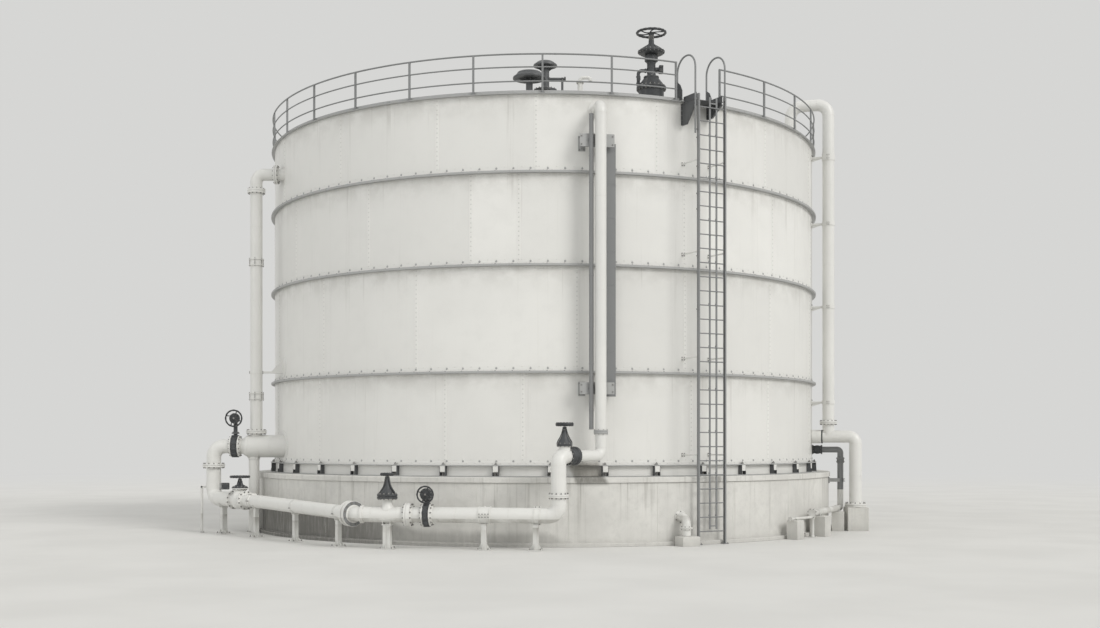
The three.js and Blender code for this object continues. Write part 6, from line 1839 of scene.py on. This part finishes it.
# thin dark disc on the back of the left flange: painted shade on the flange's face
p.add(flat_lathe([(pr + 4, 0), (300, 0), (303, 3), (303, 6)], 64).at(corner + along * 120.5, z=along), "rail_paint")
flange(p, end, u2, 260, 40, pr, 12, hub=30, bolt=34)
sleeve(p, on_left(5150, LOOP_Z_LOW), u2, 205, 110, pr, 6)
for t in (1200.0, 2300.0, 3500.0, 4500.0):
    bead(p, corner + along * t, along, pr, 6)
for t in (820.0, 2900.0, 4980.0):
    z = HEAD_Z + (LOOP_Z_LOW - HEAD_Z) * min(1, t / 5150)
    post(p, on_left(t, 0)[:2], u2, pr, z, 120, 300, strap=t < 4900)
p.make(slot="pipe_paint", replaces="header_left")

p = piece("loop_gate_valve_body", "pipe_paint")
lv = on_left(5900, LOOP_Z_LOW)
gate_valve(p, lv, yaw2, 330, HEAD_PR, 260, 330, 603)
p.make(slot="valve_iron", replaces="loop_gate_valve")
handwheel("loop_gate_valve_handwheel_rim", "loop_gate_valve_handwheel", "wheel_iron", "loop_gate_valve_wheel", lv + Z * 640, Z, 280, 28, 6, h=36)

p = piece("left_loop_run", "pipe_paint")
a = on_left(6230 + GAP, LOOP_Z_LOW)
hi = vec(LB[0], LB[1], LOOP_Z_HIGH)
xe = -8773 - 90 - GAP
end = vec(xe, LB[1], LOOP_Z_HIGH)
p.add(tube([a + u2 * 2, LB, hi, end - X * 2], LOOP_PR, [310, 310], 52, 20))
flange(p, a, -u2, 260, 40, LOOP_PR - 20, 12, hub=0, bolt=30)
flange(p, end, X, 300, 40, LOOP_PR, 12, hub=30, bolt=32)
joint(p, vec(LB[0], LB[1], 1910), Z, 309, 90, LOOP_PR, 12, 34, hub=14)
bead(p, vec(LB[0], LB[1], 1294), Z, LOOP_PR, 6)
bead(p, vec(LB[0], LB[1], 2146), Z, LOOP_PR, 6)
bead(p, LB - u2 * 312, u2, LOOP_PR, 6)
bead(p, hi + X * 312, X, LOOP_PR, 6)
# post under the low run, and the thin stand at the bend's left
s0 = LB - u2 * 600
post(p, s0[:2], u2, LOOP_PR, LOOP_Z_LOW, 150, 320, strap=False)
s1 = vec(LB[0] - 340, LB[1], 0)
p.add(cbox(58, 58, 1322, 5).at(s1 + Z * 668), "post_paint")
p.add(cbox(88, 118, 12, 2).at(s1 + X * 15.5 + Z * 7), "post_paint")
p.add(cbox(354, 58, 58, 5).at(s1 + X * 150 + Z * 1300), "post_paint")
for q in (-1, 1):
    for g in (-1, 1):
        p.many(hex_nut(18, 11, True, 9, 5), [facing(s1 + X * (15.5 + q * 30) + Y * g * 45 + Z * 13, Z, X)], "bolt_zinc")
# clamp round the upright; its lugs at the right hold a small junction block
cz = vec(LB[0], LB[1], 1325)
p.add(flat_lathe([(LOOP_PR + 2, -97), (LOOP_PR + 10, -94), (LOOP_PR + 10, 94), (LOOP_PR + 2, 97)], 56).at(cz))
p.add(cbox(120, 96, 190, 5).at(cz + vec(245, -60, 0)), "trim_paint")
p.add(cbox(206, 122, 190, 14).at(cz + vec(348, -60, 0)), "valve_iron")
p.add(cbox(150, 8, 140, 3).at(cz + vec(348, -122, 0)), "valve_iron")
p.many(hex_nut(18, 8, False), [facing(cz + vec(348 + g * 62, -125.5, q * 57), -Y, X) for g in (-1, 1) for q in (-1, 1)], "bolt_zinc")
for q in (-1, 1):
    p.many(hex_nut(26, 14, True, 10, 8), [facing(cz + vec(226, -108, q * 60), -Y, X)], "bolt_zinc")
p.make(slot="pipe_paint", replaces="left_loop")

p = piece("nozzle_gear_valve_body", "valve_iron")
ng = vec(-8773.0, LB[1], LOOP_Z_HIGH)
gear_valve(p, ng, 0.0, 89, 330, 790, LOOP_PR)
p.make(slot="valve_iron", replaces="nozzle_gear_valve")
handwheel("nozzle_gear_valve_handwheel_rim", "nozzle_gear_valve_handwheel", "wheel_iron", "nozzle_gear_valve_wheel", ng + vec(0, -228, 790), -Y, 252, 25, 4, turn=math.pi / 4, up=Z)

p = piece("shell_nozzle_body", "pipe_paint")
x0, y, z = -8773 + 90 + GAP, LB[1], LOOP_Z_HIGH
o = vec(x0, y, z)
flange(p, o, -X, 300, 40, LOOP_PR, 12, hub=22, bolt=32)
S = np.linspace(0, 1, 15)
red = [(LOOP_PR + (NOZ_PR - LOOP_PR) * (3 * s * s - 2 * s ** 3), 58 + 242 * s) for s in S]
p.add(flat_lathe([(LOOP_PR, 30)] + red, 56).at(o, z=X))
ang = 2 * math.pi * np.arange(56) / 56
ring = lambda xx, r: [vec(xx, y + r * math.cos(a), z + r * math.sin(a)) for a in ang]  # noqa: E731
p.add(loft([ring(x0 + 298, NOZ_PR), ring(x0 + 620, NOZ_PR), [reach(q, X, R - 5) for q in ring(-7700, NOZ_PR)]]))
bead(p, o + X * 58, X, LOOP_PR, 6)
bead(p, o + X * 300, X, NOZ_PR, 7)
shell_pad(p, o, X, NOZ_PR, 453, 14, weld=8)
# branch up to the riser, with the plate welded round its foot
lx = LRISER_X
p.add(cyl(vec(lx, y, z + 200), vec(lx, y, z + NOZ_PR + 60), LRISER_PR, 48))
path = []
for k in range(64):
    a = 2 * math.pi * k / 64
    e = vec(lx + (LRISER_PR + 5) * math.cos(a), y + (LRISER_PR + 5) * math.sin(a), 0)
    path.append(e + Z * (z + math.sqrt(NOZ_PR ** 2 - (e[1] - y) ** 2)))
p.add(sweep(path, circle(9, 8), Z, closed=True))
flange(p, vec(lx, y, z + NOZ_PR + 90), Z, 285, 46, LRISER_PR, 12, hub=12, bolt=30)
# pipe leg under the barrel, standing on the ground beside the footing
xl = -8245.0
p.add(cyl(vec(xl, y, 20), vec(xl, y, z - 290), 148, 48))
a = arc_plate(NOZ_PR + 0.5, NOZ_PR + 14, 205, 335, 330, 24)
p.add(place_xz(a, vec(xl, y, z), Y, X))
p.add(lathe([(147, 0), (172, 0), (172, 16), (147, 16)], 44, closed=True).at((xl, y, z - 372)))
for k in range(4):
    d = vec(math.cos(k * math.pi / 2 + math.pi / 4), math.sin(k * math.pi / 2 + math.pi / 4), 0)
    p.add(slab([(140, 0), (196, 0), (140, -150)], 10).at(vec(xl, y, z - 300) + np.cross(d, Z) * 5, d, Z))
bead(p, vec(xl, y, 1240), Z, 148, 6)
# its base plate is cut to the footing's round edge
n = 56
foot = []
for hz in (1.0, 28.0):
    ring_pts = []
    for k in range(n):
        e = vec(xl + 199 * math.cos(2 * math.pi * k / n), y + 199 * math.sin(2 * math.pi * k / n), 0)
        r = math.hypot(e[0], e[1])
        ring_pts.append(e * max(1.0, (FOOT_R + 5) / r) + Z * hz)
    foot.append(ring_pts)
p.add(loft(foot), "post_paint")
p.many(hex_nut(30, 18, True, 15, 8), [facing(vec(xl + 173 * math.cos(a), y + 173 * math.sin(a), 28), Z) for a in np.radians([150, 195, 240, 285])], "bolt_zinc")
p.make(slot="pipe_paint", replaces="shell_nozzle")

p = piece("left_riser_run", "pipe_paint")
zb = z + NOZ_PR + 90 + GAP
c = tube([vec(lx, y, zb + 3), vec(lx, y, LRISER_TOP), vec(-7560, y, LRISER_TOP)], LRISER_PR, 215, 48, 18)
p.add(land(c, 48, X))
flange(p, vec(lx, y, zb), -Z, 285, 46, LRISER_PR, 12, hub=30, bolt=30)
for q in (3880.0, 7690.0):
    sleeve(p, vec(lx, y, q), Z, 215, 190, LRISER_PR, 6)
joint(p, vec(lx, y, 9720), Z, 249, 116, LRISER_PR, 12, 28, hub=16)
collar(p, vec(lx, y, 4560), Z, 198, 74, LRISER_PR, 2, x=X)
joint(p, vec(-7610, y, LRISER_TOP), X, 269, 96, LRISER_PR, 12, 28, hub=14)
for q in (5400.0, 6600.0, 8700.0):
    bead(p, vec(lx, y, q), Z, LRISER_PR, 5)
# bracket: a square arm with a gusset over it, on a plate welded to the shell
xs = -math.sqrt(R * R - y * y)
az = math.degrees(math.atan2(xs, -y))
p.add(cbox(lx * -1 + xs + 60 - LRISER_PR, 60, 60, 3).at(vec((lx + LRISER_PR + xs) / 2 + 10, y, 4560)))
p.add(slab([(0, 0), (-330, 0), (0, 380)], 14, 1.5).at(vec(xs + 4, y + 7, 4590), X, Z))
shell_pad(p, vec(-8000, y, 4700), X, 20, 300, 12, weld=7)
p.make(slot="pipe_paint", replaces="left_riser")

# --------------------------------------------------------------- right pipework
azO = math.degrees(math.atan2(OVER[0], -OVER[1]))
rO = math.hypot(*OVER)
oO, tO = outward(azO), tangent(azO)
p = piece("overflow_pipe_run", "pipe_paint")
ox, oy = OVER
lo = vec(ox, oy, 3150)
inn = polar(7600, azO, OVER_Z)
p.add(tube([lo + Z * 3, vec(ox, oy, OVER_Z), inn, polar(7600, azO, roof_z(7600) - 3)], OVER_PR, [330, 330], 48, 18))
flange(p, lo, -Z, 250, 42, OVER_PR, 12, hub=26, bolt=30)
p.add(flat_lathe([(LRISER_PR - 2, 3), (212, 3), (215, 6), (215, 14), (212, 17), (OVER_PR, 17)], 44).at(polar(7600, azO, roof_z(7600) - 14), z=unit(oO * math.sin(slope) + Z * math.cos(slope))))
for q in (3740.0, 6540.0, 8974.0, 10925.0):
    t = 206.0 if q > 10000 else 104.0
    collar(p, vec(ox, oy, q), Z, 206, t, OVER_PR, 2, x=tO)
    wall_arm(p, (ox, oy), azO, q, OVER_PR, 60)
for q in (5100.0, 7750.0, 10100.0, OVER_Z - 335):
    bead(p, vec(ox, oy, q), Z, OVER_PR, 5)
bead(p, vec(ox, oy, OVER_Z) - oO * 335, oO, OVER_PR, 5)
p.make(slot="pipe_paint", replaces="overflow_pipe")

p = piece("outlet_pipe_run", "pipe_paint")
ax, ay = OUT_A
a1, a2 = vec(ax, ay, OUT_Z), vec(ax, ay, 690)
c = tube([a2 + Z * 4, a1, vec(ox, oy, OUT_Z), polar(R + 20, azO, OUT_Z)], OUT_PR, [205, 0], 48, 20)
p.add(land(c, 48, -oO))
p.add(cyl(vec(ox, oy, OUT_Z + 60), vec(ox, oy, 3146), OVER_PR, 48))
path = []
for k in range(64):
    a = 2 * math.pi * k / 64
    e = vec((OVER_PR + 4) * math.cos(a), (OVER_PR + 4) * math.sin(a), 0)
    path.append(vec(ox, oy, OUT_Z + math.sqrt(max(0, OUT_PR ** 2 - min(float(np.dot(e, tO)) ** 2, OUT_PR ** 2)))) + e)
p.add(sweep(path, circle(8, 8), Z, closed=True))
flange(p, vec(ox, oy, 3150 - GAP), Z, 250, 38, OVER_PR, 12, hub=22, bolt=30)
p.add(flat_lathe([(OUT_PR, 22), (192, 22), (197, 27), (197, 168), (193, 172), (193, 178), (197, 182), (197, 294), (OUT_PR, 296)], 56).at(polar(R, azO, OUT_Z), z=oO))
p.add(flat_lathe([(OUT_PR, 294), (196, 294), (199, 297), (199, 329), (196, 332), (OUT_PR, 333)], 56).at(polar(R, azO, OUT_Z), z=oO), "valve_iron")
shell_pad(p, polar(R + 300, azO, OUT_Z), -oO, OUT_PR, 236, 12, weld=7)
dA = unit(a1 - vec(ox, oy, OUT_Z))
bead(p, vec(ox, oy, OUT_Z) + dA * 250, dA, OUT_PR, 6)
bead(p, a1 - Z * 208, Z, OUT_PR, 6)
bead(p, a1 - Z * 1150, Z, OUT_PR, 6)
joint(p, vec(ax, ay, 740), Z, 308, 98, OUT_PR, 12, 36, hub=16)
p.make(slot="pipe_paint", replaces="outlet_pipe")


def pier(name, node, w, x, y, h, yaw):
    """A cast block with chamfered top edges."""
    p = piece(name, "concrete_pier")
    b = 18.0
    k = w / 2
    rings = []
    for s, z in ((k, 1), (k, h - b), (k - b, h - 1)):
        rings.append([(-s + 6, -s, z), (s - 6, -s, z), (s, -s + 6, z), (s, s - 6, z), (s - 6, s, z), (-s + 6, s, z), (-s, s - 6, z), (-s, -s + 6, z)])
    p.add(loft(rings).yaw(yaw).move(x, y, 0))
    return p


p = pier("outlet_pier", "pier_outlet", 600, ax + 15, ay, 690, 0.0)
p.make(slot="concrete", replaces="pier_outlet")

azB = math.degrees(math.atan2(OUT_B[0], -OUT_B[1]))
oB = outward(azB)
bx, by = OUT_B
pts = [polar(R, azB, OUT_B_Z), vec(bx, by, OUT_B_Z), vec(bx, by, DRAIN_Z), vec(DRAIN_END[0], DRAIN_END[1], DRAIN_Z)]
p = piece("drain_pipe_run", "pipe_paint")
mid = vec(bx, by, 1180)
p.add(tube([pts[3], pts[2], mid], OUT_B_PR, 110, 40, 14))
c = tube([mid + Z * 2, pts[1], pts[0]], OUT_B_PR, 100, 40, 14)
p.add(land(c, 40, -oB), "rail_paint")
# small check valve between the shell and the pipe
p.add(flat_lathe([(OUT_B_PR, 14), (135, 14), (138, 17), (138, 40), (135, 43), (104, 47), (112, 74), (126, 118), (129, 156), (126, 194), (112, 238), (104, 265), (135, 268), (138, 271), (138, 300), (135, 303), (OUT_B_PR, 303)], 48).at(polar(R, azB, OUT_B_Z), z=oB), "valve_iron")
ring_bolts(p, polar(R + 43.5, azB, OUT_B_Z), 121, 8, 20, 12, oB, sr=6, stud=5)
ring_bolts(p, polar(R + 267.5, azB, OUT_B_Z), 121, 8, 20, 12, -oB, sr=6, stud=5)
shell_pad(p, polar(R + 300, azB, OUT_B_Z), -oB, OUT_B_PR, 150, 9, weld=5)
sleeve(p, vec(bx, by, 2050), Z, 125, 118, OUT_B_PR, 4, mat="rail_paint")
bead(p, vec(bx, by, 1700), Z, OUT_B_PR, 4, mat="rail_paint")
bead(p, mid, Z, OUT_B_PR, 5)
dM = unit(pts[3] - pts[2])
runM = float(np.linalg.norm(pts[3] - pts[2]))
for s in (700.0, 1700.0, 2600.0):
    bead(p, pts[2] + dM * s, dM, OUT_B_PR, 4)
# blank flange at the low end
end = pts[3] - dM * (runM * 0.008)
joint(p, end, dM, 129, 52, OUT_B_PR, 8, 24, hub=8)
# bracket on the plinth, with a U-bolt round the upright
tB = tangent(azB)
p.add(cbox(70, 8740 - PLINTH_R, 104, 3).at(polar((8740 + PLINTH_R) / 2 + 3, azB, 1460), tB, oB), "trim_paint")
for g in (-1, 1):
    p.add(cbox(10, 320, 104, 2).at(polar(8845, azB, 1460) + tB * g * (OUT_B_PR + 8), tB, oB), "trim_paint")
p.add(cbox(230, 14, 190, 3).at(polar(PLINTH_R + 8, azB, 1455), tB, oB), "trim_paint")
p.many(hex_nut(26, 15, True, 10, 8), [facing(polar(PLINTH_R + 15, azB, 1455 + q * 66) + tB * g * 84, oB, Z) for g in (-1, 1) for q in (-1, 1)], "bolt_zinc")
p.add(cbox(2 * OUT_B_PR + 26, 12, 104, 2).at(polar(math.hypot(bx, by) + OUT_B_PR + 12, azB, 1460), tB, oB), "trim_paint")
p.many(hex_nut(22, 13, True, 10, 7), [facing(polar(math.hypot(bx, by) + OUT_B_PR + 18, azB, 1460 + q * 32) + tB * g * 82, oB, Z) for g in (-1, 1) for q in (-1, 1)], "bolt_zinc")
# leg at the low end
leg = pts[3] + (pts[2] - pts[3]) * 0.02
p.add(cyl(vec(leg[0], leg[1], 20), vec(leg[0], leg[1], DRAIN_Z - 60), 44, 28), "post_paint")
p.add(flat_lathe([(107, 1), (110, 4), (110, 20), (107, 23)], 40).at((leg[0], leg[1], 0)), "post_paint")
ring_bolts(p, vec(leg[0], leg[1], 23), 84, 4, 24, 14, Z, stud=10)
p.add(lathe([(42, 0), (60, 0), (46, 44), (42, 46)], 32, closed=True).at((leg[0], leg[1], 22)), "post_paint")
# small-bore pipe over the first pier
low = 545.0
tip = vec(6495, -6275, low)
l0 = vec(leg[0], leg[1], low)
dL = unit(tip - l0)
p.add(cyl(l0 + dL * 20, tip - dL * 6, 35, 24), "pipe_paint")
p.add(flat_lathe([(52, -42), (60, -34), (60, 34), (52, 42)], 28).at(l0, z=dL), "pipe_paint")
p.add(flat_lathe([(58, -17), (62, -13), (62, 13), (58, 17), (30, 18)], 32).at(tip + (l0 - tip) * 0.017, z=dL), "pipe_paint")
ring_bolts(p, tip + (l0 - tip) * 0.017 + dL * 16, 48, 4, 15, 8, dL, stud=4, sr=4)
for s in (0.35, 0.62):
    bead(p, l0 + (tip - l0) * s, dL, 35, 3)
mid = l0 + dL * float(np.dot(vec(6670, -6095, low) - l0, dL))
sx1, sy1 = dL, np.cross(Z, dL)
p.add(place_xz(arc_plate(35.5, 41, -10, 190, 50, 18), mid, sy1, sx1), "post_paint")
for g in (-1, 1):
    p.add(cbox(50, 34, 7, 1.5).at(mid - Z * 32 + sy1 * g * 54, sx1, sy1), "post_paint")
    p.many(hex_nut(17, 10, True, 7, 5), [facing(mid - Z * 28 + sy1 * g * 56, Z, sx1)], "bolt_zinc")
zp = DRAIN_Z - OUT_B_PR - GAP
for x1, y1 in ((7586, -4898), (8560, -2760)):
    # saddle on each pier, square to the pipe
    s = float(np.dot(vec(x1, y1, DRAIN_Z) - pts[2], dM))
    c = pts[2] + dM * s
    ux, uy = dM, np.cross(Z, dM)
    ap = arc_plate(OUT_B_PR + 0.5, OUT_B_PR + 8, -12, 192, 70, 22)
    p.add(place_xz(ap, c, uy, ux), "post_paint")
    for g in (-1, 1):
        q = vec(c[0], c[1], zp + 6) + uy * g * (OUT_B_PR + 28)
        p.add(cbox(70, 50, 10, 2).at(q, ux, uy), "post_paint")
        p.add(cbox(70, 9, OUT_B_PR, 2).at(vec(c[0], c[1], zp + OUT_B_PR / 2) + uy * g * (OUT_B_PR + 5), ux, uy), "post_paint")
        p.many(hex_nut(22, 13, True, 10, 6), [facing(q + Z * 5 + uy * g * 7, Z, ux)], "bolt_zinc")
p.make(slot="pipe_paint", replaces="drain_pipe")

for i, (w, x1, y1, h) in enumerate(((330, 6670, -6095, low - 36 - GAP), (440, 7586, -4898, zp), (340, 8560, -2760, zp)), 1):
    a = math.atan2(x1, -y1)
    p = pier(f"drain_pier_{i}", f"pier_drain_{i}", w, x1, y1, h, a)
    p.make(slot="concrete", replaces=f"pier_drain_{i}")

p = piece("foot_drain_bend_run", "pipe_paint")
az = 23.2
o, t = outward(az), tangent(az)
f1, f2 = polar(PLINTH_R + 330, az, 700), polar(PLINTH_R + 330, az, 236)
p.add(tube([f2, f1, polar(PLINTH_R - 4, az, 700)], 105, 200, 40, 14))
p.add(flat_lathe([(160, 0), (163, 3), (163, 13), (160, 16), (104, 16)], 44).at(polar(PLINTH_R + 1, az, 700), z=o))
p.many(hex_nut(24, 14, True, 8, 7), [facing(polar(PLINTH_R + 16, az, 700) + (t * math.cos(a) + Z * math.sin(a)) * 138, o, Z) for a in (np.arange(6) + 0.5) * math.pi / 3], "bolt_zinc")
bead(p, polar(PLINTH_R + 128, az, 700), o, 105, 5)
joint(p, vec(f1[0], f1[1], 440), Z, 150, 52, 105, 8, 22, hub=6)
k = polar(PLINTH_R + 370, az, 0)
rings = []
for a, b, z in ((240, 210, 1), (240, 210, 224), (224, 194, 240)):
    rings.append([k + t * sx * (a - e) + o * sy * (b - g) + Z * z for sx, sy, e, g in ((-1, -1, 8, 0), (1, -1, 8, 0), (1, -1, 0, 8), (1, 1, 0, 8), (1, 1, 8, 0), (-1, 1, 8, 0), (-1, 1, 0, 8), (-1, -1, 0, 8))])
p.add(loft(rings), "concrete_pier")
p.add(lathe([(104, 0), (124, 0), (116, 12), (104, 16)], 40, closed=True).at((f1[0], f1[1], 239)), "grout")
p.make(slot="pipe_paint", replaces="foot_drain_bend")

# ----------------------------------------------------------------------- floor
SKY = (0.80, 0.80, 0.785)
k = Nodes("floor")
x, y, z = k.xyz()
d = k.math("SQRT", k.math("ADD", k.math("MULTIPLY", x, x), k.math("MULTIPLY", y, y)))
grain = k.noise(0.35, 3, 0.5)
col = k.mix(k.span(grain, 0.3, 0.7), (0.74, 0.735, 0.715), (0.70, 0.695, 0.675))
k.finish(col, 0.9, spec=0.1)
em = k.n("ShaderNodeEmission")
k.put(em.inputs["Color"], SKY)
em.inputs["Strength"].default_value = 1.0
ms = k.n("ShaderNodeMixShader")
k.put(ms.inputs[0], k.span(d, 22.0, 75.0))
k.t.links.new(k.b.outputs[0], ms.inputs[1])
k.t.links.new(em.outputs[0], ms.inputs[2])
k.t.links.new(ms.outputs[0], k.out.inputs[0])
me = bpy.data.meshes.new("floor")
n = 96
rr = [0.0, 30.0, 90.0, 900.0]
fv, ff = [(0.0, 0.0, 0.0)], []
for r in rr[1:]:
    fv += [(r * math.cos(2 * math.pi * i / n), r * math.sin(2 * math.pi * i / n), 0.0) for i in range(n)]
for i in range(n):
    j = (i + 1) % n
    ff.append((0, 1 + i, 1 + j))
    for q in range(2):
        a = 1 + q * n
        ff.append((a + i, a + n + i, a + n + j, a + j))
me.from_pydata(fv, [], ff)
me.materials.append(MATS["floor"])
floor = bpy.data.objects.new("floor", me)
floor.location = (0, 0, -0.001)
bpy.context.scene.collection.objects.link(floor)

# ---------------------------------------------------------------------- lights
world = bpy.data.worlds.new("studio")
world.use_nodes = True
world.node_tree.nodes["Background"].inputs[0].default_value = (*SKY, 1)
world.node_tree.nodes["Background"].inputs[1].default_value = 1.0
bpy.context.scene.world = world


def sun(name, direction, strength, angle, color=(1, 1, 1)):
    data = bpy.data.lights.new(name, "SUN")
    data.energy, data.angle, data.color = strength, math.radians(angle), color
    o = bpy.data.objects.new(name, data)
    from mathutils import Vector
    o.rotation_euler = Vector(direction).to_track_quat("-Z", "Y").to_euler()
    bpy.context.scene.collection.objects.link(o)


# the key comes from the upper right in front, so the left side and the foot behind the header are in shade
sun("key", (-0.66, 0.60, -0.60), 1.58, 24.0, (1.0, 0.985, 0.96))
# a weak, wide fill from the left
sun("fill", (0.72, 0.60, -0.28), 0.62, 70.0, (0.98, 0.99, 1.0))
bpy.context.scene.view_settings.view_transform = "Standard"
bpy.context.scene.view_settings.look = "None"
bpy.context.scene.view_settings.exposure = -0.25
